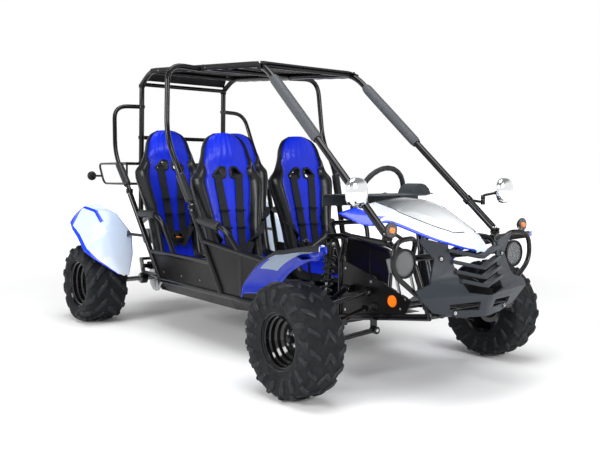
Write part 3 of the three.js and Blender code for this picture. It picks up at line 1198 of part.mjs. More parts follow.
function engineSolid() {
  const half = engine.length / 2;
  const low = engine.z - engine.height / 2;
  const caseShape = plate([
    [-half, low], [half * 0.8, low], [half, low + engine.chamfer], [half, engine.z + engine.height * 0.3],
      [half * 0.6, engine.z + engine.height / 2],
    [-half * 0.7, engine.z + engine.height / 2], [-half, engine.z + engine.height * 0.2],
  ], engine.width, v(engine.x, engine.y, 0), axis.x, axis.z);
  const gearbox = plate([
    [0, -engine.boxHeight], [-engine.boxReach, -engine.boxHeight], [-engine.boxReach, engine.boxHeight],
      [engine.boxHeight * 0.3, engine.boxHeight],
    [engine.boxHeight, 0],
  ], engine.boxWidth, v(driveCentre.x, engine.boxY, driveCentre.z), axis.x, axis.z);
  const shaft = rod(v(driveCentre.x, engine.boxY, driveCentre.z), v(driveCentre.x,
    chainLine.y + chainLine.hubLength, driveCentre.z), engine.shaftRadius, 12);
  const top = engine.z + engine.height / 2;
  const barrel = rod(v(engine.barrelX, engine.y, top - weld), v(engine.barrelX, engine.y,
    top + engine.barrelLength), engine.barrelRadius, 8);
  const fins = Array.from({ length: engine.finsCount }, (_, i) => {
    const z = top + (engine.barrelLength * (i + 1)) / (engine.finsCount + 1);
    return box(v(engine.finSize, engine.finSize, engine.finThickness), v(engine.barrelX, engine.y, z));
  });
  const mufflerCentre = v(engine.mufflerX, engine.y, engine.mufflerZ);
  const muffler = rodAlong(mufflerCentre, axis.y, engine.mufflerLength, engine.muffler, 10);
  const pipe = tube([
    v(engine.barrelX - engine.barrelRadius * 0.6, engine.y, top + engine.barrelLength * 0.5),
      v(engine.mufflerX, engine.y + engine.pipeY, top + engine.barrelLength * 0.5),
    v(engine.mufflerX, engine.y + engine.pipeY, engine.mufflerZ),
  ], engine.pipe);
  const feet = [1, -1].map((side) => box(
    v(engine.footLength, engine.footWidth, low - cradle.tailZ + weld),
      v(cradle.tailX + engine.footLength * 0.2, engine.y + side * engine.footY,
      (low + weld + cradle.tailZ) / 2)));
  const seatTube = rod(v(cradle.tailX, -cradle.y, cradle.tailZ), v(cradle.tailX, cradle.y, cradle.tailZ),
    cradle.crossRadius + gap * 1.3);
  return carve(fuse(caseShape, gearbox, shaft, barrel, fins, muffler, pipe, feet), seatTube);
}

add("drive_sprocket", sprocket(engineTeethCount, driveCentre, engine.shaftRadius + pivotEar,
  boreRadius(engine.shaftRadius, 12)), finishes.steel());
add("chain", chainSolid(), finishes.steel());
add("swingarm", swingarm(), finishes.blackPaint());
add("rear_axle", rearAxle(), finishes.steel());
add("engine", engineSolid(), finishes.alloy());

// Rear shock
function rearShockPieces() {
  const top = v(rearShock.topX, 0, rearShock.topZ);
  const bottom = v(rearShock.bottomX, 0, rearShock.bottomZ);
  const at = (share) => mix(top, bottom, share);
  const along = bottom.clone().sub(top).normalize();
  const shroudEnd = at(rearShock.skirtShare);
  const body = fuse(
    rodAlong(top, axis.y, rearShock.eyeLength, rearShock.eyeRadius, 8), rod(top, at(rearShock.shroudShare),
      rearShock.rodRadius * 1.5, 8),
    rod(at(rearShock.shroudShare), shroudEnd, rearShock.shroudRadius, 12));
  const bore = rod(at(rearShock.shroudShare * 2), at(1), rearShock.rodRadius + gap, 8);
  const rodPiece = fuse(
    rodAlong(bottom, axis.y, rearShock.eyeLength, rearShock.eyeRadius, 8),
      rod(at(rearShock.shroudShare * 3), bottom, rearShock.rodRadius, 8),
    rodAlong(at(rearShock.cupShare), along, rearShock.cupLength, rearShock.shroudRadius * 0.8, 12));
  return { body: carve(body, bore), rodPiece };
}

const rearShockMade = rearShockPieces();
add("rear_shock_body", rearShockMade.body, finishes.blackPaint());
add("rear_shock_rod", rearShockMade.rodPiece, finishes.steel());

// Seats. Rings across the seat, from the front edge of the cushion to the top of the headrest.
const seatRings = [
  { x: -22, z: 52, lean: 0, half: 0.44, bolster: 0.1, crown: 0.1, depth: 0.05 },
  { x: -34, z: 68, lean: 10, half: 0.53, bolster: 0.25, crown: 0.35, depth: 0.3 },
  { x: -180, z: 62, lean: 2, half: 0.66, bolster: 0.7, crown: 0.3, depth: 0.28 },
  { x: -330, z: 54, lean: 2, half: 0.67, bolster: 0.85, crown: 0.16, depth: 0.4 },
  { x: -405, z: 80, lean: 42, half: 0.69, bolster: 0.9, crown: 0.05, depth: 0.8 },
  { x: -452, z: 190, lean: 78, half: 0.71, bolster: 1, crown: 0.2, depth: 1 },
  { x: -490, z: 348, lean: 80, half: 0.77, bolster: 1, crown: 0.25, depth: 1 },
  { x: -494, z: 362, lean: 80, half: 0.77, bolster: 0.96, crown: 0.02, depth: 1 },
  { x: -496, z: 376, lean: 80, half: 0.78, bolster: 1, crown: 0.25, depth: 1 },
  { x: -526, z: 520, lean: 80, half: 0.96, bolster: 1, crown: 0.25, depth: 0.9 },
  { x: -540, z: 592, lean: 80, half: 1, bolster: 0.9, crown: 0.2, depth: 0.8 },
  { x: -549, z: 646, lean: 80, half: 0.81, bolster: 0.6, crown: 0.2, depth: 0.78 },
  { x: -560, z: 712, lean: 79, half: 0.68, bolster: 0.4, crown: 0.25, depth: 0.75 },
  { x: -570, z: 768, lean: 80, half: 0.61, bolster: 0.3, crown: 0.3, depth: 0.72 },
  { x: -580, z: 812, lean: 82, half: 0.48, bolster: 0.2, crown: 0.25, depth: 0.6 },
  { x: -588, z: 838, lean: 84, half: 0.26, bolster: 0.1, crown: 0.2, depth: 0.4 },
];
const seatSection = [[-1, 0], [-0.91, 1], [-0.68, 0.62], [0, 0], [0.68, 0.62], [0.91, 1], [1, 0]];

const slotOutline = [[-0.85, -0.75], [0.6, -1], [1, -0.45], [-0.05, 1], [-0.9, 0.85]];

function seatSolid(row, side) {
  const origin = v(seat.frontX - row * seatCross.rowPitch, side * seat.y, seat.z + row * seatCross.rowRise);
  const rings = seatRings.map(({ x, z, lean, half, bolster, crown, depth }) => {
    const angle = radians(lean);
    const out = v(Math.sin(angle), 0, Math.cos(angle));
    const centre = origin.clone().add(v(x, 0, z));
    const point = (across, rise) => centre.clone().add(v(0, across, 0)).addScaledVector(out, rise);
    const front = seatSection.map(([share, height], i) => {
      const middle = i === 3 ? crown * seat.crown
        : (i === 2 || i === 4 ? -seat.valley : height * bolster * seat.bolster);
      return point(share * half * seat.halfWidth, middle);
    });
    const back = [[0.8, -1], [-0.8, -1]].map(([share, sink]) => point(share * half * seat.halfWidth,
      sink * depth * seat.depth));
    return [...front, ...back];
  });
  const slots = [1, -1].map((end) => plate(
    slotOutline.map(([a, b]) => [a * end * seat.slotHalfWidth, b * seat.slotHalfHeight]),
    seat.slotReach, origin.clone().add(v(seat.slotX, end * seat.slotY, seat.slotZ)), axis.y, axis.z));
  const runners = [1, -1].map((end) => box(
    v(seat.runnerLength, seat.runnerWidth, seat.runnerHeight), origin.clone().add(v(seat.runnerX,
      end * seat.runnerY, seat.runnerHeight / 2))));
  return carve(fuse(loft(rings), runners), slots);
}

for (const [name, row] of [["seat_front", 0], ["seat_rear", 1]]) {
  add(name + "_right", seatSolid(row, -1), finishes.vinyl());
  add(name + "_left", seatSolid(row, 1), finishes.vinyl());
}

// Body panels
function hoodSolid() {
  const grid = hood.stations.map(([x, half, crownZ, edgeZ, sweep]) => hoodShares.map((share) =>
    v(x - sweep * share * share, share * half,
      edgeZ + (crownZ - edgeZ) * (1 - Math.abs(share) ** hood.roundness))));
  const shell = skin(grid, hood.wall);
  const posts = [1, -1].flatMap((side) => [
    rod(v(clip.noseTopX + 2, side * hood.postY, clip.noseTopZ), v(clip.noseTopX + 2, side * hood.postY,
      hood.postTopZ), hood.postRadius),
  ]);
  const saddle = rod(v(clip.noseTopX + 2, -clip.noseTopY, clip.noseTopZ), v(clip.noseTopX + 2,
    clip.noseTopY, clip.noseTopZ), tubeRadius.bar + gap * 1.3);
  return carve(fuse(shell, posts), saddle);
}

function dashSolid() {
  const middle = (dash.frontX + dash.rearX) / 2;
  const cover = sidePlate([
    [dash.frontX, dash.topZ - dash.frontDrop], [middle, dash.topZ], [dash.rearX + dash.nose,
      dash.topZ - dash.wall / 2], [dash.rearX, dash.topZ - dash.nose],
    [dash.rearX, dash.faceZ], [dash.rearX + dash.wall, dash.faceZ], [dash.rearX + dash.wall,
      dash.topZ - dash.nose - dash.wall / 2],
    [dash.rearX + dash.nose + dash.wall / 2, dash.topZ - dash.wall * 1.5], [middle, dash.topZ - dash.wall],
      [dash.frontX, dash.topZ - dash.frontDrop - dash.wall],
  ], 0, dash.halfWidth * 2);
  const cowlZ = dash.topZ + dash.cowlRise - dash.cowlRadius;
  const cowl = rodAlong(v(dash.rearX + dash.cowlDepth / 2, wheelCentre.y, cowlZ), axis.x, dash.cowlDepth,
    dash.cowlRadius, roundSidesCount);
  const cutLow = box(v(dash.cowlDepth * 2, dash.cowlRadius * 4, dash.cowlRadius * 4),
    v(dash.rearX + dash.cowlDepth / 2, wheelCentre.y, dash.topZ - dash.wall - dash.cowlRadius * 2));
  const posts = [1, -1].map((side) => rod(
    v(dashHoop.x, side * dash.postY, dashHoop.z), v(dashHoop.x, side * dash.postY, dash.topZ - dash.wall),
      dash.postRadius));
  const saddle = rod(v(dashHoop.x, -dashHoop.y, dashHoop.z), v(dashHoop.x, dashHoop.y, dashHoop.z),
    tubeRadius.guard + gap * 1.3);
  const corners = [1, -1].map((side) => plate([
    [dash.frontX + dash.wall, side * dash.sweepY], [dash.frontX + dash.wall,
      side * (dash.halfWidth + dash.wall)],
    [dash.frontX - dash.sweep, side * (dash.halfWidth + dash.wall)],
  ], dash.cowlRadius * 4, v(0, 0, dash.topZ), axis.x, axis.y));
  return carve(fuse(cover, carve(cowl, cutLow), posts), saddle, corners);
}

function bumperSolid() {
  const grid = bumper.stations.map(([x, z]) => bumper.bowY.map((y) => v(x - Math.abs(y) * bumper.prow, y,
    z)));
  const shell = skin(grid, bumper.wall);
  const outline = [...bumper.half, ...bumper.half.slice(1, -1).reverse().map(([y, z]) => [-y, z])];
  const otherWindow = bumper.window.map(([y, z]) => [-y, z]).reverse();
  const front = plate(outline, bumper.reach * 2, v(clip.noseX, 0, 0), axis.y, axis.z, [bumper.window,
    otherWindow]);
  const trimmed = geometryOf(solid(shell).intersect(solid(front)));
  const slats = bumper.slats.map(([endX, endY, endZ, midX, midZ]) => sweep(
    [v(endX, -endY, endZ), v(midX, 0, midZ), v(endX, endY, endZ)],
    [[-0.5, -0.5], [0.5, -0.5], [0.5, 0.5], [-0.5, 0.5]].map(([a, b]) => new THREE.Vector2(a * slat.depth,
      b * slat.thickness))));
  const bosses = [1, -1].map((side) => rod(v(clip.noseX - 6, side * bumper.bossY, clip.noseZ + 2),
    v(bumper.bossX, side * bumper.bossY, clip.noseZ + 4), bumper.bossRadius));
  const saddle = rod(v(clip.noseX - 6, -clip.y, clip.noseZ + 2), v(clip.noseX - 6, clip.y, clip.noseZ + 2),
    tubeRadius.bar + gap * 1.3);
  return carve(fuse(trimmed, slats, bosses), saddle);
}

function frontFenderSolid() {
  const grid = frontFender.profile.map(([x, z, inner]) => [[-1, 1], [-0.93, 0], [0, -0.5], [0.93, 0], [1,
    1]].map(([share, drop]) =>
    rightSide(x, (inner + frontFender.outer) / 2 + (share * (frontFender.outer - inner)) / 2,
      z - drop * frontFender.lip)));
  const middleY = (frontFender.inner + frontFender.outer) / 2;
  for (const p of grid.flat()) p.z += (Math.abs(p.y) - middleY) * frontFender.tilt;
  const shell = skin(grid.map((row) => [...row].reverse()), frontFender.wall);
  const towerEnd = rightSide(shock.topX, shock.topY + clip.towerReach - weld * 2, towerZ);
  const stay = rod(towerEnd, rightSide(shock.topX, frontFender.inner + frontFender.lip, frontFender.stayZ),
    frontFender.stayRadius);
  const [start, from, to] = towerPath(-1);
  const beyond = to.clone().add(to.clone().sub(from).normalize().multiplyScalar(gap * 2));
  return carve(fuse(shell, stay), saddleRound([start, from, beyond], tubeRadius.bar));
}

function rearFenderSolid() {
  const grid = rearFender.grid.map((row) => row.map(([x, y, z]) => rightSide(x, y, z)));
  const shell = skin(grid.map((row) => [...row].reverse()), rearFender.wall);
  const foot = rightSide(sill.rearX, sill.y, sill.z);
  const head = rightSide(cPost.topX, cPost.topY, cPost.topZ);
  const onPost = mix(foot, head, (rearFender.stayZ - foot.z) / (head.z - foot.z));
  const stay = rod(onPost, rightSide(rearFender.stayX, rearFender.stayY, rearFender.stayZ),
    rearFender.stayRadius);
  return carve(fuse(shell, stay), rod(foot, head, tubeRadius.cage + gap * 1.3));
}

function canopySolid() {
  const clear = tubeRadius.cage + gap * 2;
  const onRail = (x) => (x > roof.bendX
    ? pillar.topZ + ((roof.bendZ - pillar.topZ) * (pillar.topX - x)) / (pillar.topX - roof.bendX)
    : roof.rearZ + ((roof.bendZ - roof.rearZ) * (x - roof.rearX)) / (roof.bendX - roof.rearX)) + clear;
  const row = (x, drop, sag) => canopyShares.map(([share, fall, slack]) => v(x,
    share * (roof.rearY + canopy.overhangY), onRail(x) - fall * canopy.edgeDrop - slack * sag - drop));
  const grid = [
    row(canopy.frontX, 0, 0), row((canopy.frontX + roof.midX) / 2, 0, canopy.sag), row(roof.midX, 0, 0),
    row((roof.midX + roof.bendX) / 2, 0, canopy.sag), row(roof.bendX, 0, 0),
      row(roof.bendX - canopy.overhangX, canopy.shoulder, 0),
    row(roof.bendX - canopy.flap, canopy.shoulder, 0),
  ];
  return skin(grid, canopy.wall);
}

add("hood", hoodSolid(), finishes.white());
add("dash", dashSolid(), finishes.grey());
add("bumper", bumperSolid(), finishes.slate());
addPair("front_fender", frontFenderSolid(), finishes.blue);
addPair("rear_fender", rearFenderSolid(), finishes.white);
add("canopy", canopySolid(), finishes.cloth());

// Lamps and mirrors
function headlamp() {
  const profile = [
    [0, -lamp.depth], [lamp.backRadius, -lamp.depth], [lamp.radius, -lamp.depth * 0.4], [lamp.radius,
      -lamp.bezel / 2], [lamp.radius - lamp.bezel, 0], [0, 0],
  ];
  const points = profile.map(([radius, along]) => new THREE.Vector2(radius, along));
  const bowl = new THREE.LatheGeometry(points, roundSidesCount).rotateZ(-Math.PI / 2).translate(lamp.x,
    -lamp.y, lamp.z);
  const clampFrom = clip.noseTopY + weld;
  const clampTo = lamp.y - lamp.radius + lamp.clampSize / 2;
  const clamp = box(v(lamp.clampSize, clampTo - clampFrom, lamp.clampSize), rightSide(lamp.clampX,
    (clampFrom + clampTo) / 2, lamp.z));
  return carve(fuse(bowl, clamp), saddleRound(noseTopPath(-1), tubeRadius.bar), saddleRound(guardPath(-1),
    tubeRadius.guard, bendRadius.cage));
}

function mirrorSolid() {
  const foot = rightSide(mirror.pivotX, mirror.pivotY, mirror.pivotZ + gap);
  const knee = rightSide(mirror.pivotX, mirror.pivotY, mirror.pivotZ + mirror.stemRise);
  const head = rightSide(mirror.x, mirror.y, mirror.z);
  const stem = tube([foot, knee, head], mirror.stemRadius, bendRadius.frame / 2);
  const nut = rodAlong(foot.clone().add(v(0, 0, mirror.bossHeight / 2)), axis.z, mirror.bossHeight,
    mirror.bossRadius, 8);
  const ring = (share, depth) => Array.from({ length: 10 }, (_, i) => {
    const angle = (i / 10) * 2 * Math.PI;
    return head.clone().add(v(depth * mirror.depth, Math.cos(angle) * share * mirror.halfWidth,
      Math.sin(angle) * share * mirror.halfHeight));
  });
  return fuse(loft([ring(0.9, -0.5), ring(1, -0.35), ring(0.85, 0.2), ring(0.35, 0.5)]), stem, nut);
}

addPair("headlamp", headlamp(), finishes.lens);
addPair("mirror", mirrorSolid(), finishes.chrome);

// Cargo rack
function rackSolid() {
  const r = tubeRadius.rack;
  const side = (end) => tube([
    v(rack.frontX, end * rack.halfWidth, rack.topZ), v(rack.rearX, end * rack.halfWidth, rack.topZ),
      v(rack.lowRearX, end * rack.halfWidth, rack.lowZ),
    v(rack.frontX, end * rack.halfWidth, rack.lowZ),
  ], r, bendRadius.frame);
  const across = (x, z, y = rack.halfWidth) => rod(v(x, -y, z), v(x, y, z), r * 0.9);
  const bars = Array.from({ length: rack.barsCount }, (_,
    i) => across(rack.frontX + ((rack.lowRearX - rack.frontX) * (i + 1)) / (rack.barsCount + 1),
    rack.lowZ));
  const uprights = [1, -1].map((end) => rod(v(rack.frontX, end * rack.halfWidth, rack.lowZ), v(rack.frontX,
    end * rack.halfWidth, rack.topZ), r * 0.9));
  const lamps = [1, -1].flatMap((end) => {
    const centre = v(-(overallLength - frontOverhang) + signal.depth / 2,
      end * (rack.halfWidth + signal.stalk), rack.lampZ);
    const root = mix(v(rack.rearX, end * rack.halfWidth, rack.topZ), v(rack.lowRearX, end * rack.halfWidth,
      rack.lowZ), (rack.topZ - rack.lampZ) / (rack.topZ - rack.lowZ));
    const elbow = v(root.x - signal.stalk * 0.8, end * (rack.halfWidth + signal.stalk * 0.4), rack.lampZ);
    return [rodAlong(centre, axis.x, signal.depth, signal.radius, 8), tube([root, elbow, centre],
      signal.stalkRadius)];
  });
  const postAt = (z) => mix(v(rearPost.footX, rearPost.footY, rearPost.footZ), v(roof.rearX, roof.rearY,
    roof.rearZ), (z - rearPost.footZ) / (roof.rearZ - rearPost.footZ));
  const clamps = [rack.topZ, rack.lowZ].flatMap((z) => [1, -1].map((end) => {
    const rear = postAt(z).x + tubeRadius.cage * 0.4;
    const front = rack.frontX + rack.clamp * 0.4;
    return box(v(front - rear, rack.clamp, rack.clamp), v((front + rear) / 2, end * postAt(z).y, z));
  }));
  const posts = [1, -1].map((end) => rod(
    v(rearPost.footX, end * rearPost.footY, rearPost.footZ), v(roof.rearX, end * roof.rearY, roof.rearZ),
      tubeRadius.cage + gap * 1.3));
  return carve(fuse(
    side(1), side(-1), bars, uprights, lamps, clamps, across(rack.frontX, rack.topZ), across(rack.frontX,
      rack.lowZ), across(rack.rearX + bendRadius.frame * 1.6, rack.topZ),
    across(rack.lowRearX + bendRadius.frame, rack.lowZ),
  ), posts);
}

add("cargo_rack", rackSolid(), finishes.blackPaint());

// Pedals and gear lever
function pedalSolid(y) {
  const pivot = v(pedal.x, y, pedal.z);
  const lean = radians(pedal.leanDeg);
  const up = v(-Math.sin(lean), 0, Math.cos(lean));
  const face = v(Math.cos(lean), 0, Math.sin(lean));
  const top = pivot.clone().addScaledVector(up, pedal.length);
  const pad = plate(
    [[-1, -1], [1, -1], [1, 1], [-1, 1]].map(([a, b]) => [(a * pedal.padWidth) / 2,
      (b * pedal.padHeight) / 2]),
    pedal.thickness, top.clone().addScaledVector(face, -pedal.armRadius), axis.y, up);
  const bore = rodAlong(pivot, axis.y, pedal.sleeveLength * 2, boreRadius(pedal.shaftRadius, 8), 8);
  return carve(fuse(rod(pivot, top, pedal.armRadius), rodAlong(pivot, axis.y, pedal.sleeveLength,
    pedal.sleeveRadius, 10), pad), bore);
}

function gearLever() {
  const pivot = v(lever.x, lever.y, lever.z);
  const lean = radians(lever.leanDeg);
  const top = pivot.clone().add(v(-lever.length * Math.sin(lean), 0, lever.length * Math.cos(lean)));
  return fuse(
    rodAlong(pivot, axis.y, lever.bossWidth, lever.bossRadius, 10), rod(pivot, top, lever.radius),
    new THREE.SphereGeometry(lever.knobRadius, 10, 6).translate(top.x, top.y, top.z));
}

add("throttle_pedal", pedalSolid(pedal.throttleY), finishes.alloy());
add("brake_pedal", pedalSolid(pedal.brakeY), finishes.alloy());
add("gear_lever", gearLever(), finishes.blackPaint());

export default kart;
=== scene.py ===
"""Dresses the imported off-road go kart: smooth tubes, seats, tyres, panels, lamps and its finishes.

Lengths are in millimetres, measured from the front axle as in the part's source, and go to metres
in the part's frame when a mesh is made.
"""
import json
import logging
import math
from dataclasses import dataclass, field
from enum import Enum
from functools import lru_cache
from typing import Callable, Iterable, Optional, Sequence

import bmesh
import bpy
import numpy as np
from mathutils import Matrix, Vector

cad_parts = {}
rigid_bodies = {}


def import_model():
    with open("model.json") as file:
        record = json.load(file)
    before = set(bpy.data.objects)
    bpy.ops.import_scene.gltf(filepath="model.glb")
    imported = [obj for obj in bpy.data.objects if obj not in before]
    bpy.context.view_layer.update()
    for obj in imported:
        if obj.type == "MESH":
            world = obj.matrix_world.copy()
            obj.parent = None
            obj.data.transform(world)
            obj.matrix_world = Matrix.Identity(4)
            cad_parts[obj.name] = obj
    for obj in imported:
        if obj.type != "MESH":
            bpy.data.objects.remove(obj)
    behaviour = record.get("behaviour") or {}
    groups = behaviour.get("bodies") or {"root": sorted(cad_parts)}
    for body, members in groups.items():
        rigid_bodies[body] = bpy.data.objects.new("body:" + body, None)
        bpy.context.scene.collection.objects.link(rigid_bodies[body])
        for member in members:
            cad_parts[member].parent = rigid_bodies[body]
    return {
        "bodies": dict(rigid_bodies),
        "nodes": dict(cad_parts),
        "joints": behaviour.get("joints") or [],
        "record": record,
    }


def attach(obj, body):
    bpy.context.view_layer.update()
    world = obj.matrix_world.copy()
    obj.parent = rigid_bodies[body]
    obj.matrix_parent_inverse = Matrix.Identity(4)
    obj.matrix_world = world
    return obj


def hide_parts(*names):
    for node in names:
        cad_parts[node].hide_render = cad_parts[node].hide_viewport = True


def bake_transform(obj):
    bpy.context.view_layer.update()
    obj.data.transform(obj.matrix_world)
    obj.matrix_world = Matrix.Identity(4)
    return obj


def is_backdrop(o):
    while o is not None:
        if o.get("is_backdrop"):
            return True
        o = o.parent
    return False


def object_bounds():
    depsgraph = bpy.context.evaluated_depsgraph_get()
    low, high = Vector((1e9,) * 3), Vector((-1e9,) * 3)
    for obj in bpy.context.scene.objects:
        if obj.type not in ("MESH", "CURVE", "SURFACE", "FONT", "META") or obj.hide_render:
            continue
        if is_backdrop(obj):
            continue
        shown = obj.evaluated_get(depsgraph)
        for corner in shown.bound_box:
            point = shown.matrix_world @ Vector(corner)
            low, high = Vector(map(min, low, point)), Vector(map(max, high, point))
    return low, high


LOG = logging.getLogger("kart")
ORIGIN_X = 969.0  # where the front axle lies in the part's frame
GAP = 0.3  # between neighbouring solids
SHEEN = 0.2  # the Specular IOR Level of every finish
Points = np.ndarray


class Side(Enum):
    """The two sides of the kart, by the sign of y."""

    RIGHT = -1
    LEFT = 1

    @property
    def word(self) -> str:
        """The side's word in node names."""
        return self.name.lower()


def vec(x: float, y: float, z: float) -> Points:
    """A point or direction."""
    return np.array([x, y, z], float)


AHEAD, ACROSS, UPWARD = vec(1, 0, 0), vec(0, 1, 0), vec(0, 0, 1)


def mix(a: Points, b: Points, share: float) -> Points:
    """The point that lies a share of the way from a to b."""
    return a + (b - a) * share


def at_height(low: Points, high: Points, z: float) -> Points:
    """The point at a height on the line through two points."""
    return mix(low, high, (z - low[2]) / (high[2] - low[2]))


def unit(a: Points) -> Points:
    """a at length one."""
    return a / max(float(np.linalg.norm(a)), 1e-12)


def smoothstep(low: float, high: float, x: Points) -> Points:
    """0 below low, 1 above high and 3t^2 - 2t^3 between."""
    t = np.clip((np.asarray(x, float) - low) / (high - low), 0, 1)
    return t * t * (3 - 2 * t)


def spline(points: Points, count: int) -> Points:
    """A Catmull-Rom curve through the points, evaluated at equal steps of the index.

    Args:
        points: the n points, one per row, of any width.
        count: how many samples to give.

    Returns:
        The samples, one per row.
    """
    points = np.asarray(points, float)
    padded = np.vstack([2 * points[0] - points[1], points, 2 * points[-1] - points[-2]])
    at = np.linspace(0, len(points) - 1, count)
    i = np.minimum(at.astype(int), len(points) - 2)
    t = (at - i)[:, None]
    a, b, c, d = (padded[i + k] for k in range(4))
    return 0.5 * (2 * b + (c - a) * t + (2 * a - 5 * b + 4 * c - d) * t**2 + (3 * b - a - 3 * c + d) * t**3)


# Surfaces


@dataclass
class Surface:
    """Points with the faces between them, and the finish that each face wears.

    Attributes:
        points: n by 3, in station millimetres.
        faces: lists of point numbers.
        finish: the number of the finish in the piece's list, one for all faces or one each.
        uv: two numbers per point that a pattern can follow.
    """

    points: Points
    faces: list
    finish: object = 0
    uv: Optional[Points] = None

    def wearing(self, finish: object) -> "Surface":
        """The same surface with another finish number."""
        return Surface(self.points, self.faces, finish, self.uv)

    def outward(self) -> "Surface":
        """The closed surface with its faces pointing outwards."""
        if volume(self) >= 0:
            return self
        return Surface(self.points, [f[::-1] for f in self.faces], self.finish, self.uv)


def quads(rows: int, columns: int, wrap_rows: bool = False, wrap_columns: bool = False) -> list:
    """The quads of a grid whose point (i, j) has the number i * columns + j."""
    i = np.arange(rows if wrap_rows else rows - 1)
    j = np.arange(columns if wrap_columns else columns - 1)
    a, b = np.meshgrid(i, j, indexing="ij")
    down, right = (a + 1) % rows, (b + 1) % columns
    corners = np.stack([a * columns + b, a * columns + right, down * columns + right, down * columns + b], -1)
    return corners.reshape(-1, 4).tolist()


def sheet(grid: Points, finish: object = 0, flip: bool = False) -> Surface:
    """An open surface on an m by n by 3 grid. Its uv is the share along each way of the grid."""
    rows, columns = grid.shape[:2]
    u, w = np.meshgrid(np.linspace(0, 1, columns), np.linspace(0, 1, rows))
    faces = quads(rows, columns)
    if flip:
        faces = [f[::-1] for f in faces]
    return Surface(grid.reshape(-1, 3), faces, finish, np.stack([u, w], -1).reshape(-1, 2))


def closed(rings: Points, finish: object = 0) -> Surface:
    """A skin over rings of equal length, m by n by 3, closed round and capped at its two ends."""
    rows, columns = rings.shape[:2]
    faces = quads(rows, columns, wrap_columns=True)
    faces += [list(range(columns))[::-1], [(rows - 1) * columns + j for j in range(columns)]]
    u, w = np.meshgrid(np.linspace(0, 1, columns), np.linspace(0, 1, rows))
    return Surface(rings.reshape(-1, 3), faces, finish, np.stack([u, w], -1).reshape(-1, 2)).outward()


def volume(surface: Surface) -> float:
    """Six times the volume inside a closed surface, negative when it is inside out."""
    total = 0.0
    p = surface.points - surface.points.mean(0)
    for face in surface.faces:
        q = p[face]
        total += float(np.einsum("ij,ij->", np.cross(q[1:-1], q[2:]), np.broadcast_to(q[0], q[1:-1].shape)))
    return total


def frames(path: Points) -> tuple:
    """Two directions across a path at each point, carried along it without twist.

    Each is the last one less its part along the new tangent, brought back to length one.
    """
    before = np.roll(path, 1, 0)
    after = np.roll(path, -1, 0)
    before[0], after[-1] = path[0], path[-1]
    tangents = after - before
    tangents /= np.linalg.norm(tangents, axis=1)[:, None]
    start = UPWARD if abs(tangents[0][2]) < 0.9 else AHEAD
    normals = [unit(start - tangents[0] * float(start @ tangents[0]))]
    for tangent in tangents[1:]:
        normals.append(unit(normals[-1] - tangent * float(normals[-1] @ tangent)))
    normals = np.array(normals)
    return normals, np.cross(tangents, normals)


def sweep(path: Points, radius: object, sides: int = 14, finish: object = 0) -> Surface:
    """A round tube along a path: every ring is the centre plus radius times (cos a, sin a) across it."""
    normals, others = frames(path)
    angle = np.linspace(0, 2 * math.pi, sides, endpoint=False)
    r = np.broadcast_to(np.asarray(radius, float), (len(path),))[:, None, None]
    rings = path[:, None] + r * (normals[:, None] * np.cos(angle)[:, None]
                                 + others[:, None] * np.sin(angle)[:, None])
    return closed(rings, finish)


def bent(points: Sequence[Points], bend: float, steps: int = 7) -> Points:
    """A path through the points whose corners are quadratic arcs that start bend before each corner."""
    points = [np.asarray(p, float) for p in points]
    out = [points[0]]
    for before, corner, after in zip(points, points[1:], points[2:]):
        reach = min(bend, 0.48 * np.linalg.norm(corner - before), 0.48 * np.linalg.norm(after - corner))
        a, b = corner + unit(before - corner) * reach, corner + unit(after - corner) * reach
        t = np.linspace(0, 1, steps)[:, None]
        out.extend((1 - t) ** 2 * a + 2 * t * (1 - t) * corner + t**2 * b)
    out.append(points[-1])
    return np.array(out)


def tube(points: Sequence[Points], radius: float, bend: float = 40, finish: object = 0,
         sides: int = 14) -> Surface:
    """A round tube through the points with bent corners."""
    return sweep(bent(points, bend), radius, sides, finish)


def turned(profile: Sequence, origin: Points, along: Points, steps: int = 32, finish: object = 0) -> Surface:
    """A profile of (radius, distance) carried once round an axis. A radius of 0 closes it on the axis.

    Args:
        profile: the points from one end to the other; both ends lie on the axis, or it closes on itself.
        origin: where distance 0 lies on the axis.
        along: the axis's direction.
        steps: how many points one turn has.
        finish: the finish number, or one for each step of the profile.

    Returns:
        The surface, with its faces pointing outwards.
    """
    profile = np.asarray(profile, float)
    loops = bool(profile[0][0] > 1e-6 and profile[-1][0] > 1e-6)
    along = unit(np.asarray(along, float))
    start = UPWARD if abs(along[2]) < 0.9 else AHEAD
    one = unit(start - along * float(start @ along))
    two = np.cross(along, one)
    angle = np.linspace(0, 2 * math.pi, steps, endpoint=False)
    round_ = one * np.cos(angle)[:, None] + two * np.sin(angle)[:, None]
    radii = np.maximum(profile[:, 0], 1e-4)
    rings = origin + radii[:, None, None] * round_ + along * profile[:, 1][:, None, None]
    faces = quads(len(profile), steps, loops, True)
    worn = finish if np.isscalar(finish) else np.repeat(np.asarray(finish), steps)
    return Surface(rings.reshape(-1, 3), faces, worn).outward()


def rod(a: Points, b: Points, radius: float, finish: object = 0, sides: int = 20) -> Surface:
    """A round bar from a to b with a small chamfer at both ends."""
    length = float(np.linalg.norm(b - a))
    cut = min(radius * 0.12, length / 4)
    profile = [(0, 0), (radius - cut, 0), (radius, cut), (radius, length - cut),
               (radius - cut, length), (0, length)]
    return turned(profile, a, b - a, sides, finish)


def crossbar(x: float, y: float, z: float, radius: float) -> Surface:
    """A round bar straight across the kart, as far to one side as to the other."""
    return rod(vec(x, -y, z), vec(x, y, z), radius)


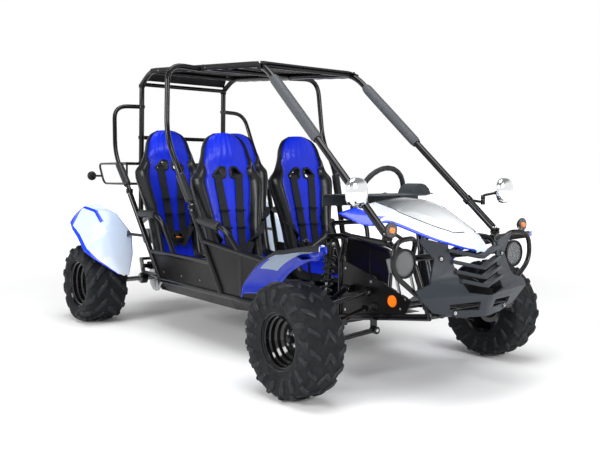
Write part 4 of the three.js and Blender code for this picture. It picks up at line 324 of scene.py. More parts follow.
def foam_sleeve(a: Points, b: Points, radius: float, finish: object = 2) -> Surface:
    """A foam sleeve between two points: a cylinder that swells a little between its rounded, cut ends."""
    length = float(np.linalg.norm(b - a))
    t = np.linspace(0, 1, 26)
    rounding = np.exp(-((t / 0.02) ** 2)) + np.exp(-(((1 - t) / 0.02) ** 2))
    swell = radius * (0.985 + 0.03 * np.sin(t * math.pi)) - 4.0 * rounding
    return turned([(0, 0), *zip(swell, t * length), (0, length)], a, b - a, 28, finish)


def disc(centre: Points, along: Points, length: float, radius: float, finish: object = 0,
         sides: int = 24) -> Surface:
    """A round bar about its centre."""
    half = unit(np.asarray(along, float)) * length / 2
    return rod(centre - half, centre + half, radius, finish, sides)


def prism(outline: Sequence, thickness: float, origin: Points, across: Points, up: Points,
          finish: object = 0, edge: float = 0.8) -> Surface:
    """An outline given thickness both ways from its plane, its two rims cut back by a small chamfer."""
    flat = np.asarray(outline, float)
    before, after = np.roll(flat, 1, 0), np.roll(flat, -1, 0)
    a, b = flat - before, after - flat
    a /= np.linalg.norm(a, axis=1)[:, None]
    b /= np.linalg.norm(b, axis=1)[:, None]
    turn = np.sign(np.sum(flat[:, 0] * after[:, 1] - flat[:, 1] * after[:, 0]))
    inward = turn * (np.stack([-a[:, 1], a[:, 0]], 1) + np.stack([-b[:, 1], b[:, 0]], 1))
    inward /= np.maximum(1 + np.sum(a * b, axis=1), 0.3)[:, None]
    cut = min(edge, thickness / 3)
    normal = np.cross(across, up)
    half = thickness / 2
    levels = [(flat + inward * cut, -half), (flat, cut - half), (flat, half - cut),
              (flat + inward * cut, half)]
    rings = np.array([origin + p[:, :1] * across + p[:, 1:] * up + normal * h for p, h in levels])
    return closed(rings, finish)


def block(size: Points, centre: Points, finish: object = 0, lean: float = 0.0, edge: float = 1.0) -> Surface:
    """A box with chamfered rims, leant by an angle in degrees about the y axis."""
    a = math.radians(lean)
    across, up = vec(math.cos(a), 0, -math.sin(a)), vec(math.sin(a), 0, math.cos(a))
    x, z = size[0] / 2, size[2] / 2
    return prism([(-x, -z), (x, -z), (x, z), (-x, z)], size[1], centre, across, up, finish, edge)


def hex_bolt(at: Points, out: Points, size: float = 6.5, finish: object = 0) -> Surface:
    """A hexagon head with a washer under it, standing on a surface point."""
    out = unit(np.asarray(out, float))
    washer = disc(at + out * size * 0.1, out, size * 0.25, size * 1.5, finish, 16)
    head = turned([(0, 0), (size, 0), (size, size * 0.75), (size * 0.8, size), (0, size)], at, out, 6, finish)
    return joined([washer, head])


def joined(surfaces: Iterable[Surface]) -> Surface:
    """Several surfaces as one list of points and faces, each with its own finish numbers."""
    points, faces, worn, uvs, start = [], [], [], [], 0
    for s in surfaces:
        points.append(s.points)
        faces.extend([[i + start for i in f] for f in s.faces])
        worn.append(np.broadcast_to(np.asarray(s.finish, int), (len(s.faces),)) if np.isscalar(s.finish)
                    else np.asarray(s.finish, int))
        uvs.append(np.zeros((len(s.points), 2)) if s.uv is None else s.uv)
        start += len(s.points)
    return Surface(np.vstack(points), faces, np.concatenate(worn), np.vstack(uvs))


def both(make: Callable[[int], Iterable[Surface]]) -> list:
    """What a function makes for the left side and for the right side."""
    return [s for side in (1, -1) for s in make(side)]


# Finishes


class Tree:
    """A material's node tree, with short calls for the nodes that the finishes use."""

    def __init__(self, name: str) -> None:
        """Makes the material with a Principled shader and an output."""
        self.material = bpy.data.materials.new(name)
        self.material.use_nodes = True
        self.nodes = self.material.node_tree.nodes
        self.links = self.material.node_tree.links
        self.nodes.clear()
        self.shader = self.nodes.new("ShaderNodeBsdfPrincipled")
        out = self.nodes.new("ShaderNodeOutputMaterial")
        self.links.new(self.shader.outputs["BSDF"], out.inputs["Surface"])
        self.place = self.nodes.new("ShaderNodeTexCoord").outputs["Object"]
        self.uv = self.nodes.new("ShaderNodeUVMap").outputs["UV"]

    def set(self, **values: object) -> None:
        """Sets the shader's own sockets, with _ for a space in a socket's name."""
        for key, value in values.items():
            self.shader.inputs[key.replace("_", " ")].default_value = value

    def join(self, source: object, socket: str) -> None:
        """Links an output to one of the shader's sockets."""
        self.links.new(source, self.shader.inputs[socket])

    def feed(self, node: object, socket: object, value: object) -> None:
        """Links or sets one input of a node."""
        target = node.inputs[socket]
        if isinstance(value, bpy.types.NodeSocket):
            self.links.new(value, target)
        else:
            target.default_value = value

    def noise(self, scale: float, detail: float = 4, stretch: tuple = (1, 1, 1)) -> object:
        """The value of a noise on Object coordinates."""
        mapping = self.nodes.new("ShaderNodeMapping")
        mapping.inputs["Scale"].default_value = stretch
        self.links.new(self.place, mapping.inputs["Vector"])
        node = self.nodes.new("ShaderNodeTexNoise")
        node.inputs["Scale"].default_value = scale
        node.inputs["Detail"].default_value = detail
        self.links.new(mapping.outputs[0], node.inputs["Vector"])
        return node.outputs["Fac"]

    def cells(self, scale: float) -> object:
        """The distance of a Voronoi pattern."""
        node = self.nodes.new("ShaderNodeTexVoronoi")
        node.inputs["Scale"].default_value = scale
        self.links.new(self.place, node.inputs["Vector"])
        return node.outputs["Distance"]

    def wave(self, scale: float, direction: str, uv: bool = False) -> object:
        """The value of straight bands across one direction."""
        node = self.nodes.new("ShaderNodeTexWave")
        node.bands_direction = direction
        node.inputs["Scale"].default_value = scale
        self.links.new(self.uv if uv else self.place, node.inputs["Vector"])
        return node.outputs["Fac"]

    def part(self, which: str, uv: bool = False) -> object:
        """One coordinate of the Object place or of the uv."""
        node = self.nodes.new("ShaderNodeSeparateXYZ")
        self.links.new(self.uv if uv else self.place, node.inputs[0])
        return node.outputs[which]

    def attribute(self, name: str) -> object:
        """The value of a point attribute of the mesh."""
        node = self.nodes.new("ShaderNodeAttribute")
        node.attribute_name = name
        return node.outputs["Fac"]

    def math(self, operation: str, a: object, b: object = 0.5) -> object:
        """The result of a Math node."""
        node = self.nodes.new("ShaderNodeMath")
        node.operation = operation
        self.feed(node, 0, a)
        self.feed(node, 1, b)
        return node.outputs[0]

    def ramp(self, value: object, *stops: tuple) -> object:
        """A colour ramp; every stop is a place and a colour, or a place and a grey."""
        node = self.nodes.new("ShaderNodeValToRGB")
        self.links.new(value, node.inputs[0])
        elements = node.color_ramp.elements
        while len(elements) < len(stops):
            elements.new(0.5)
        for element, (at, colour) in zip(elements, stops):
            element.position = at
            element.color = (*colour, 1) if hasattr(colour, "__len__") else (colour, colour, colour, 1)
        return node.outputs["Color"]

    def blend(self, share: object, a: object, b: object) -> object:
        """The colour that lies a share of the way from a to b."""
        node = self.nodes.new("ShaderNodeMix")
        node.data_type = "RGBA"
        self.feed(node, 0, share)
        for socket, value in ((6, a), (7, b)):
            self.feed(node, socket, (*value, 1) if isinstance(value, tuple) and len(value) == 3 else value)
        return node.outputs[2]

    def bump(self, height: object, strength: float, distance: float = 0.001) -> None:
        """Adds a bump over those that the shader has."""
        node = self.nodes.new("ShaderNodeBump")
        node.inputs["Strength"].default_value = strength
        node.inputs["Distance"].default_value = distance
        self.links.new(height, node.inputs["Height"])
        normal = self.shader.inputs["Normal"]
        if normal.is_linked:
            self.links.new(normal.links[0].from_socket, node.inputs["Normal"])
        self.links.new(node.outputs[0], normal)


@dataclass(frozen=True)
class Finish:
    """A plain finish: one colour with a soft mottle, uneven gloss and a fine grain.

    Attributes:
        colour: the base colour, linear.
        shade: how much darker the mottle goes, as a share.
        grain: the strength of the fine bump, and grain_scale how many grains fit in a metre.
        coat: the weight of a clear coat.
    """

    name: str
    slot: str
    colour: tuple
    roughness: float = 0.4
    metallic: float = 0.0
    shade: float = 0.12
    mottle_scale: float = 18.0
    grain: float = 0.06
    grain_scale: float = 700.0
    coat: float = 0.0
    gloss_spread: float = 0.06

    def dress(self, tree: Tree) -> None:
        """Adds what makes this finish its own."""
        mottle = tree.noise(self.mottle_scale, 5)
        dark = tuple(c * (1 - self.shade) for c in self.colour)
        tree.join(tree.blend(mottle, dark, self.colour), "Base Color")
        low, high = self.roughness - self.gloss_spread, self.roughness + self.gloss_spread
        tree.join(tree.ramp(tree.noise(self.mottle_scale * 2.3, 3), (0.25, max(low, 0.02)), (0.75, high)),
                  "Roughness")
        if self.grain:
            tree.bump(tree.noise(self.grain_scale, 2), self.grain, 0.0006)

    def material(self) -> bpy.types.Material:
        """The finish's material, made once."""
        return made_once(self)


@lru_cache(maxsize=None)
def made_once(finish: Finish) -> bpy.types.Material:
    """Builds a finish's material the first time that it is asked for."""
    tree = Tree(finish.name)
    tree.set(Roughness=finish.roughness, Metallic=finish.metallic, Coat_Weight=finish.coat,
             Coat_Roughness=0.08, Specular_IOR_Level=SHEEN)
    finish.dress(tree)
    return tree.material


@dataclass(frozen=True)
class Vinyl(Finish):
    """Seat vinyl: a pebbled grain, soft wrinkles along the seat and a slight sheen."""

    def dress(self, tree: Tree) -> None:
        """Adds the leather grain and the long soft folds."""
        super().dress(tree)
        tree.bump(tree.cells(620.0), 0.22, 0.0006)
        tree.bump(tree.noise(9.0, 3, (1.0, 3.2, 0.7)), 0.5, 0.006)


@dataclass(frozen=True)
class Webbing(Finish):
    """Woven belt webbing: ribs across the strap and a fine herringbone along it."""

    def dress(self, tree: Tree) -> None:
        """Adds the ribs on the strap's own uv."""
        super().dress(tree)
        tree.bump(tree.wave(90.0, "Y", uv=True), 0.5, 0.0006)
        tree.bump(tree.wave(6.5, "X", uv=True), 0.25, 0.0005)


@dataclass(frozen=True)
class Cloth(Finish):
    """Coated canvas: crossed threads with small puckers."""

    def dress(self, tree: Tree) -> None:
        """Adds the weave and the puckers."""
        super().dress(tree)
        tree.bump(tree.math("MULTIPLY", tree.wave(330.0, "X"), tree.wave(330.0, "Y")), 0.4, 0.0006)
        tree.bump(tree.noise(22.0, 3, (0.6, 2.2, 1.0)), 0.5, 0.004)


@dataclass(frozen=True)
class Rubber(Finish):
    """Tyre rubber: dusty sidewalls, scuffed lug edges, and lug tops lighter from the height attribute as a
    painted highlight.
    """

    scuff: tuple = (0.10, 0.095, 0.088)

    def dress(self, tree: Tree) -> None:
        """Adds the scuffed lug edges, the painted highlight on the lug tops and the mould's fine texture."""
        height = tree.attribute("height")
        edge = tree.math("SUBTRACT", 1.0,
                         tree.math("MULTIPLY",
                                   tree.math("ABSOLUTE", tree.math("SUBTRACT", height, 0.55)), 2.6))
        worn = tree.math("MULTIPLY", edge, tree.ramp(tree.noise(26, 5), (0.42, 0.0), (0.68, 1.0)))
        share = tree.math("MULTIPLY", tree.math("MAXIMUM", worn, 0.0), 0.75)
        mottled = tree.blend(tree.noise(9, 6), tuple(c * 0.55 for c in self.colour), self.colour)
        # Painted highlight: the lug tops are lifted towards 2.6 times the base colour by their height.
        top = tree.math("MULTIPLY", tree.math("MAXIMUM", tree.math("SUBTRACT", height, 0.4), 0.0), 1.1)
        mottled = tree.blend(top, mottled, tuple(c * 2.6 for c in self.colour))
        tree.join(tree.blend(share, mottled, self.scuff), "Base Color")
        tree.join(tree.ramp(tree.noise(40, 4), (0.3, 0.5), (0.7, 0.8)), "Roughness")
        tree.bump(tree.noise(420, 3), 0.25, 0.0008)


def moulded(tree: Tree, roughness: float) -> None:
    """Gives glossy plastic its slightly uneven gloss and a faint moulding grain."""
    tree.join(tree.ramp(tree.noise(30, 3), (0.3, roughness - 0.05), (0.7, roughness + 0.06)), "Roughness")
    tree.bump(tree.noise(600, 2), 0.03, 0.0005)


@dataclass(frozen=True)
class Panelled(Finish):
    """Moulded plastic in two colours laid out over the panel's uv.

    Attributes:
        rim: the colour along the edges across the panel.
        rim_share: how wide the rim is, as a share of the half width.
        fade: the colour that the main field turns to along the panel.
    """

    rim: tuple = (0.008, 0.045, 0.80)
    rim_share: float = 0.06
    fade: tuple = (0.62, 0.74, 0.92)

    def dress(self, tree: Tree) -> None:
        """Paints the fields by how far a point lies from the panel's middle line."""
        u, w = tree.part("X", uv=True), tree.part("Y", uv=True)
        from_middle = tree.math("MULTIPLY", tree.math("ABSOLUTE", tree.math("SUBTRACT", u, 0.5)), 2.0)
        main = tree.blend(tree.ramp(w, (0.0, 0.0), (1.0, 1.0)), self.colour, self.fade)
        main = tree.blend(tree.math("MULTIPLY", tree.noise(14, 4), 0.12), main, (0.45, 0.5, 0.58))
        edge = tree.math("GREATER_THAN", from_middle, 1.0 - self.rim_share)
        tree.join(tree.blend(edge, main, self.rim), "Base Color")
        moulded(tree, self.roughness)


@dataclass(frozen=True)
class Fading(Finish):
    """Plastic whose colour fades from the rear of the panel to its front, along Object x in metres."""

    front: tuple = (0.62, 0.64, 0.66)
    start: float = 1.02
    end: float = 1.24

    def dress(self, tree: Tree) -> None:
        """Mixes the two colours by the place along the kart."""
        reach = tree.math("DIVIDE", tree.math("SUBTRACT", tree.part("X"), self.start), self.end - self.start)
        share = tree.ramp(reach, (0.0, 0.0), (1.0, 1.0))
        mottled = tree.blend(tree.noise(16, 4), tuple(c * 0.8 for c in self.colour), self.colour)
        tree.join(tree.blend(share, mottled, self.front), "Base Color")
        moulded(tree, self.roughness)


@dataclass(frozen=True)
class Lens(Finish):
    """A moulded lamp lens: clear or coloured plastic with fine flutes; glow paints a faint emission into it,
    a painted glow on a lamp that is not lit.
    """

    clear: float = 0.35
    # glow: an emission strength, a painted glow on a lens with no lit lamp behind it.
    glow: float = 0.0

    def dress(self, tree: Tree) -> None:
        """Adds the flutes, lets some light through, and with glow emits the lens's own colour as a painted
        glow.
        """
        super().dress(tree)
        tree.set(Alpha=1 - self.clear)
        # Painted glow: the lens's colour is emitted though no lamp behind it is lit.
        if self.glow:
            tree.set(Emission_Color=(*self.colour, 1), Emission_Strength=self.glow)
        tree.bump(tree.wave(120.0, "Z"), 0.25, 0.0008)


PAINT = Finish("gloss_black_powder_coat", "black_frame_paint", (0.006, 0.006, 0.007), 0.15, 0.0, 0.3, 12,
               0.08, 320, 0.25)
SHEET = Finish("satin_black_sheet", "black_frame_paint", (0.007, 0.006, 0.006), 0.34, 0.0, 0.35, 7,
               0.05, 500, 0.05)
FOAM = Finish("grey_foam_sleeve", "black_frame_paint", (0.075, 0.082, 0.09), 0.5, 0.0, 0.18, 30,
              0.35, 900, 0.0)
PAD = Finish("black_bar_pad", "grip_foam", (0.020, 0.021, 0.023), 0.38, 0.0, 0.2, 25, 0.3, 900, 0.1)
BLUE_VINYL = Vinyl("blue_vinyl", "seat_vinyl", (0.006, 0.030, 0.80), 0.33, 0.0, 0.3, 8, 0.05, 900, 0.1)
BLACK_VINYL = Vinyl("black_vinyl", "seat_vinyl", (0.008, 0.009, 0.010), 0.32, 0.0, 0.2, 8, 0.05, 900, 0.1)
BEZEL = Finish("slot_bezel", "seat_vinyl", (0.016, 0.018, 0.021), 0.30, 0.0, 0.2, 20, 0.1, 900)
BELT = Webbing("black_webbing", "seat_vinyl", (0.022, 0.025, 0.030), 0.62, 0.0, 0.3, 60, 0.0)
CANVAS = Cloth("black_canvas", "canopy_cloth", (0.012, 0.012, 0.014), 0.62, 0.0, 0.3, 10, 0.0)
HOOD = Panelled("hood_plastic", "hood_plastic", (0.66, 0.69, 0.75), 0.16, coat=0.6, rim_share=0.055)
HOOD_CENTRE = Fading("hood_centre_plastic", "hood_plastic", (0.09, 0.10, 0.11), 0.22, coat=0.4)
SLATE = Finish("slate_grey_plastic", "slate_plastic", (0.028, 0.034, 0.042), 0.36, 0.0, 0.12, 14,
               0.22, 1100, 0.0)
GREY = Finish("grey_dash_plastic", "grey_plastic", (0.035, 0.042, 0.05), 0.45, 0.0, 0.15, 14, 0.3, 1000, 0.0)
FENDER = Panelled("white_fender_plastic", "fender_plastic", (0.60, 0.66, 0.78), 0.2, coat=0.5, rim_share=0.0,
                  fade=(0.50, 0.68, 0.95))
BLUE = Finish("gloss_blue_plastic", "blue_plastic", (0.008, 0.045, 0.82), 0.2, 0.0, 0.1, 10, 0.04, 600, 0.5)
UNDERSIDE = Finish("black_panel_underside", "blue_plastic", (0.010, 0.010, 0.011), 0.45, 0.0,
                   0.2, 14, 0.2, 800)
TYRE = Rubber("tyre_rubber", "tyre_rubber", (0.009, 0.010, 0.012))
RIM = Finish("gloss_black_rim", "rim_steel", (0.006, 0.006, 0.007), 0.13, 0.0, 0.3, 14, 0.04, 400, 0.6)
STEEL = Finish("machined_steel", "bare_steel", (0.42, 0.43, 0.45), 0.30, 1.0, 0.25, 40, 0.08, 900)
BOLT = Finish("zinc_bolt", "bare_steel", (0.55, 0.56, 0.56), 0.28, 1.0, 0.3, 60, 0.05, 900)
CHROME = Finish("mirror_chrome", "chrome_shell", (0.86, 0.87, 0.88), 0.06, 1.0, 0.05, 20, 0.0,
                gloss_spread=0.02)
ALLOY = Finish("cast_alloy", "cast_alloy", (0.22, 0.225, 0.235), 0.46, 0.9, 0.3, 22, 0.4, 500)
BLACK_PLASTIC = Finish("black_plastic", "grey_plastic", (0.014, 0.014, 0.016), 0.34, 0.0, 0.2, 20, 0.15, 900)
GRIP = Finish("black_grip", "grip_foam", (0.030, 0.032, 0.036), 0.45, 0.0, 0.2, 30, 0.3, 900)
CLEAR = Lens("clear_lens", "lamp_glass", (0.90, 0.93, 0.95), 0.05, clear=0.92)
LED = Finish("lamp_diode", "lamp_glass", (0.07, 0.075, 0.08), 0.18, 0.0, 0.3, 20, 0.0)
REFLECTOR = Finish("lamp_reflector", "lamp_glass", (0.78, 0.80, 0.82), 0.3, 0.3, 0.1, 20, 0.0)
# The amber wears a painted glow (emission 0.25); the side plates' round reflectors, the harness buckle's
# button and the gauge's needle wear it too.
AMBER = Lens("amber_lens", "lamp_glass", (0.95, 0.22, 0.01), 0.16, clear=0.1, glow=0.25)
DIAL = Finish("gauge_face", "grey_plastic", (0.6, 0.62, 0.62), 0.3, 0.0, 0.05, 20, 0.0)
PEDAL = Finish("brushed_pedal", "pedal_alloy", (0.40, 0.41, 0.43), 0.33, 0.9, 0.2, 60, 0.15, 900)
KNOB = Finish("lever_knob", "lever_paint", (0.012, 0.012, 0.013), 0.2, 0.0, 0.1, 20, 0.0, coat=0.4)


# Making pieces


def placed(name: str, data: bpy.types.ID) -> bpy.types.Object:
    """A new object for a mesh, light or camera, linked to the scene at the origin."""
    made = bpy.data.objects.new(name, data)
    bpy.context.scene.collection.objects.link(made)
    return made


class Workshop:
    """Turns surfaces into pieces that ride on the frame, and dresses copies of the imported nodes."""

    def __init__(self) -> None:
        """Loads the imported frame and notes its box."""
        self.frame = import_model()
        self.cad_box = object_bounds()
        self.body_of = {
            node: body
            for body, nodes in self.frame["record"]["behaviour"]["bodies"].items()
            for node in nodes
        }

    def mesh(self, name: str, surface: Surface, finishes: Sequence[Finish],
             smooth: float) -> bpy.types.Object:
        """Makes an object at the origin from a surface in station millimetres.

        Args:
            name: the piece's name.
            surface: its points and faces.
            finishes: the finishes that its face numbers mean.
            smooth: edges turning by more than this many degrees stay sharp.

        Returns:
            The object, linked to the scene.
        """
        data = bpy.data.meshes.new(name)
        metres = (surface.points + [ORIGIN_X, 0, 0]) / 1000.0
        data.from_pydata(metres.tolist(), [], surface.faces)
        for finish in finishes:
            data.materials.append(finish.material())
        data.polygons.foreach_set("material_index", np.full(len(surface.faces), surface.finish, np.int32))
        data.polygons.foreach_set("use_smooth", np.ones(len(surface.faces), bool))
        if surface.uv is not None:
            loops = np.empty(len(data.loops), np.int32)
            data.loops.foreach_get("vertex_index", loops)
            data.uv_layers.new(name="UVMap").data.foreach_set("uv", surface.uv[loops].ravel())
        data.set_sharp_from_angle(angle=math.radians(smooth))
        return placed(name, data)

    def piece(self, node: str, suffix: str, surfaces: object, finishes: Sequence[Finish], extra: bool = False,
              smooth: float = 40.0, solid: float = 0.0) -> bpy.types.Object:
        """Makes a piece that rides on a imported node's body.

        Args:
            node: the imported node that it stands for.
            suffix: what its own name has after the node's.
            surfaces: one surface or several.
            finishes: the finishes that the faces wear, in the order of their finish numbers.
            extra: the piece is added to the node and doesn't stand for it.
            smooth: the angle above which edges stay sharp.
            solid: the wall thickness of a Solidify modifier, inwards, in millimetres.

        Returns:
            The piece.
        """
        surface = surfaces if isinstance(surfaces, Surface) else joined(surfaces)
        made = self.mesh(f"{node}_{suffix}", surface, finishes, smooth)
        if solid:
            wall = made.modifiers.new("wall", "SOLIDIFY")
            wall.thickness = solid / 1000.0
            wall.offset = -1.0
        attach(made, self.body_of[node])
        if not extra:
            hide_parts(node)
        LOG.info("%s: %d faces on %s", made.name, len(made.data.polygons), self.body_of[node])
        return made

    def dressed(self, node: str, finish: Finish, smooth: float = 66.0,
                bevel: float = 0.0) -> bpy.types.Object:
        """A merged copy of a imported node, shaded smooth along its tubes, in a finish of its own."""
        source = self.frame["nodes"][node]
        data = source.data.copy()
        work = bmesh.new()
        work.from_mesh(data)
        bmesh.ops.remove_doubles(work, verts=work.verts, dist=2e-5)
        bmesh.ops.dissolve_limit(work, angle_limit=math.radians(0.6), verts=work.verts, edges=work.edges)
        bmesh.ops.recalc_face_normals(work, faces=work.faces)
        work.to_mesh(data)
        work.free()
        data.materials.clear()
        data.materials.append(finish.material())
        data.polygons.foreach_set("use_smooth", np.ones(len(data.polygons), bool))
        data.set_sharp_from_angle(angle=math.radians(smooth))
        made = placed(node + "_dressed", data)
        if bevel:
            rim = made.modifiers.new("rims", "BEVEL")
            rim.width = bevel / 1000.0
            rim.segments = 2
            rim.limit_method = "ANGLE"
            rim.angle_limit = math.radians(smooth)
        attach(made, self.body_of[node])
        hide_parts(node)
        return made


# Wheels


@dataclass
class WheelSizes:
    """One wheel's sizes, in millimetres; y grows outwards.

    Attributes:
        lugs: how many lug rows stand round the tyre.
        steps: the rim's (radius, depth from the outer lip) where its dish steps inwards.
    """

    axle: str
    x: float
    track: float
    radius: float
    width: float
    bead: float
    lug: float
    lip: float
    half: float
    dish: float
    bore: float
    hub: float
    lugs: int
    steps: tuple


@dataclass
class Wheels:
    """Four knobby tyres on deep stepped steel rims."""

    shop: Workshop
    rounds: int = 420
    across: int = 92
    front: WheelSizes = field(default_factory=lambda: WheelSizes(
        "front", 0, 609, 235, 175, 106, 8.5, 117, 75, -6, 10.6, 46, 17,
        ((110.5, 8), (103, 12), (101, 28), (95, 33), (93, 50), (84, 56), (81, 71), (70, 78))))
    rear: WheelSizes = field(default_factory=lambda: WheelSizes(
        "rear", -1980, 619, 230.5, 235, 128, 9, 139, 104, 8, 15.8, 52, 13,
        ((132, 9), (123, 14), (121, 34), (114, 39), (112, 60), (102, 66), (99, 86), (84, 93))))

    def section(self, size: WheelSizes) -> tuple:
        """The tyre's outer section from bead to bead, and each point's share of the tread's half length.

        A spline through points given as shares of the radius and the half width.
        """
        half, crown = size.width / 2, size.radius - size.lug
        quarter = [
            (size.bead, 0.80 * half), (size.bead + 12, 0.87 * half), (0.68 * size.radius, 0.975 * half),
            (0.79 * size.radius, 1.0 * half), (0.88 * size.radius, 0.955 * half),
            (0.94 * size.radius, 0.80 * half), (crown * 0.992, 0.48 * half), (crown, 0.0),
        ]
        curve = spline(np.array(quarter + [(r, -y) for r, y in quarter[-2::-1]]), self.across)
        lengths = np.concatenate([[0], np.cumsum(np.linalg.norm(np.diff(curve, axis=0), axis=1))])
        from_middle = lengths - lengths[-1] / 2
        shoulder = np.interp(0.79 * size.radius, [size.bead, 0.79 * size.radius, crown],
                             [lengths[-1] / 2, lengths[-1] / 2 * 0.72, 0])
        return curve, -from_middle / shoulder

    def tread(self, size: WheelSizes, turn: Points, t: Points) -> Points:
        """How high each point's lug stands, from 0 to 1.

        A lug is a band of the phase (turn times the lug count, sheared by the distance from the middle)
        within a range of that distance. The front has chevrons and slanted bars, the rear long V bars.
        """
        away = np.abs(t)
        u = turn * size.lugs

        def bars(shift: float, shear: float, low: float, high: float, start: float, end: float) -> Points:
            """One row of slanted bars."""
            phase = np.mod(u + shift + shear * away, 1.0)
            along = smoothstep(start, start + 0.05, phase) * (1 - smoothstep(end - 0.05, end, phase))
            along = along * smoothstep(low - 0.02, low + 0.02, away)
            return along * (1 - smoothstep(high - 0.02, high + 0.02, away))

        if size.axle == "front":
            chevron = bars(0.0, -2.1, -0.1, 0.20, 0.30, 0.62)
            middle = bars(0.42, 1.3, 0.30, 0.60, 0.28, 0.56)
            shoulder = bars(0.05, 0.7, 0.68, 1.0, 0.30, 0.62)
            side = 0.35 * bars(0.55, 0.3, 1.04, 1.13, 0.2, 0.7)
            return np.maximum.reduce([chevron, middle, shoulder, side])
        half_turn = np.where(t > 0, 0.5, 0.0)
        phase = np.mod(u + half_turn - 1.55 * away, 1.0)
        long_bars = smoothstep(0.20, 0.26, phase) * (1 - smoothstep(0.56, 0.62, phase))
        long_bars = long_bars * smoothstep(0.03, 0.07, away) * (1 - smoothstep(0.97, 1.01, away))
        notch = 1 - 0.8 * smoothstep(0.50, 0.52, away) * (1 - smoothstep(0.56, 0.58, away))
        return np.maximum(long_bars * notch, 0.35 * bars(0.3, 0.2, 1.04, 1.12, 0.2, 0.7))

    def tyre(self, size: WheelSizes, side: Side) -> bpy.types.Object:
        """The tyre: its section carried round the axle, and moved out along its normal by the tread."""
        curve, t = self.section(size)
        slope = np.gradient(curve, axis=0)
        normal = np.stack([slope[:, 1], -slope[:, 0]], 1)
        normal *= np.sign(normal[len(normal) // 2, 0])
        normal /= np.linalg.norm(normal, axis=1)[:, None]
        turn = np.linspace(0, 1, self.rounds, endpoint=False)
        height = self.tread(size, turn[:, None], t[None, :])
        moved = curve[None] + normal[None] * (height * size.lug)[..., None]
        angle = 2 * math.pi * turn[:, None]
        x = size.x + moved[..., 0] * np.sin(angle)
        z = size.radius + moved[..., 0] * np.cos(angle)
        y = side.value * (size.track + moved[..., 1])
        made = Surface(np.stack([x, y, np.maximum(z, 0.0)], -1).reshape(-1, 3),
                       quads(self.rounds, self.across, True, True)).outward()
        node = f"{size.axle}_tyre_{side.word}"
        piece = self.shop.piece(node, "tread", made, [TYRE], smooth=70)
        mark = piece.data.attributes.new("height", "FLOAT", "POINT")
        mark.data.foreach_set("value", height.astype(np.float32).ravel())
        return piece

    def rim(self, size: WheelSizes, side: Side) -> bpy.types.Object:
        """The rim, turned from one closed profile, with its wheel nuts, hub cap and valve."""
        out = vec(0, side.value, 0)
        centre = vec(size.x, side.value * size.track, size.radius)
        lip, half, disc_at = size.lip, size.half, size.dish
        outer = [(lip - r_in, half - deep) for r_in, deep in [(1.5, -1.5), (4.0, -2.2)]]
        steps = [(r, half - deep) for r, deep in size.steps]
        centre_face = [(size.hub + 6, disc_at + 5), (size.hub, disc_at + 7), (size.hub - 8, disc_at + 12),
                       (size.bore + 9, disc_at + 16), (size.bore, disc_at + 16)]
        back = [(size.bore, disc_at - 14), (size.hub, disc_at - 12), (size.hub + 6, disc_at - 4),
                (size.steps[-1][0] + 4, disc_at - 6), (size.bead - 10, -half + 20),
                (size.bead - 6, -half + 4), (lip - 3, -half - 1), (lip, -half + 2), (lip - 2, -half + 6),
                (size.bead + 1, -half + 12), (size.bead - 3, -half + 40), (size.bead - 3, half - 40),
                (size.bead + 1, half - 12), (lip - 2, half - 6), (lip + 0.5, half - 2)]
        shapes = [turned(outer + steps + centre_face + back, centre, out, 72)]
        for i in range(4):
            a = math.pi / 4 + i * math.pi / 2
            way = AHEAD * math.cos(a) + UPWARD * math.sin(a)
            spot = centre + way * (size.hub - 16) + out * (disc_at + 10)
            shapes.append(hex_bolt(spot, out, 8.5, 1))
        cap = [(0, 0), (size.bore + 6, 0), (size.bore + 6, 13), (size.bore + 2, 19),
               (size.bore - 4, 21), (0, 21)]
        shapes.append(turned(cap, centre + out * (disc_at + 15), out, 24, 2))
        valve = centre + UPWARD * (size.steps[3][0] - 4) + out * (half - size.steps[3][1] + 2)
        shapes.append(rod(valve, valve + out * 17 - UPWARD * 3, 3.4, 2))
        node = f"{size.axle}_rim_{side.word}"
        return self.shop.piece(node, "pressed", shapes, [RIM, BOLT, BLACK_PLASTIC], smooth=35)

    def build(self) -> None:
        """Makes the four wheels."""
        for size in (self.front, self.rear):
            for side in Side:
                self.tyre(size, side)
                self.rim(size, side)


# Frame


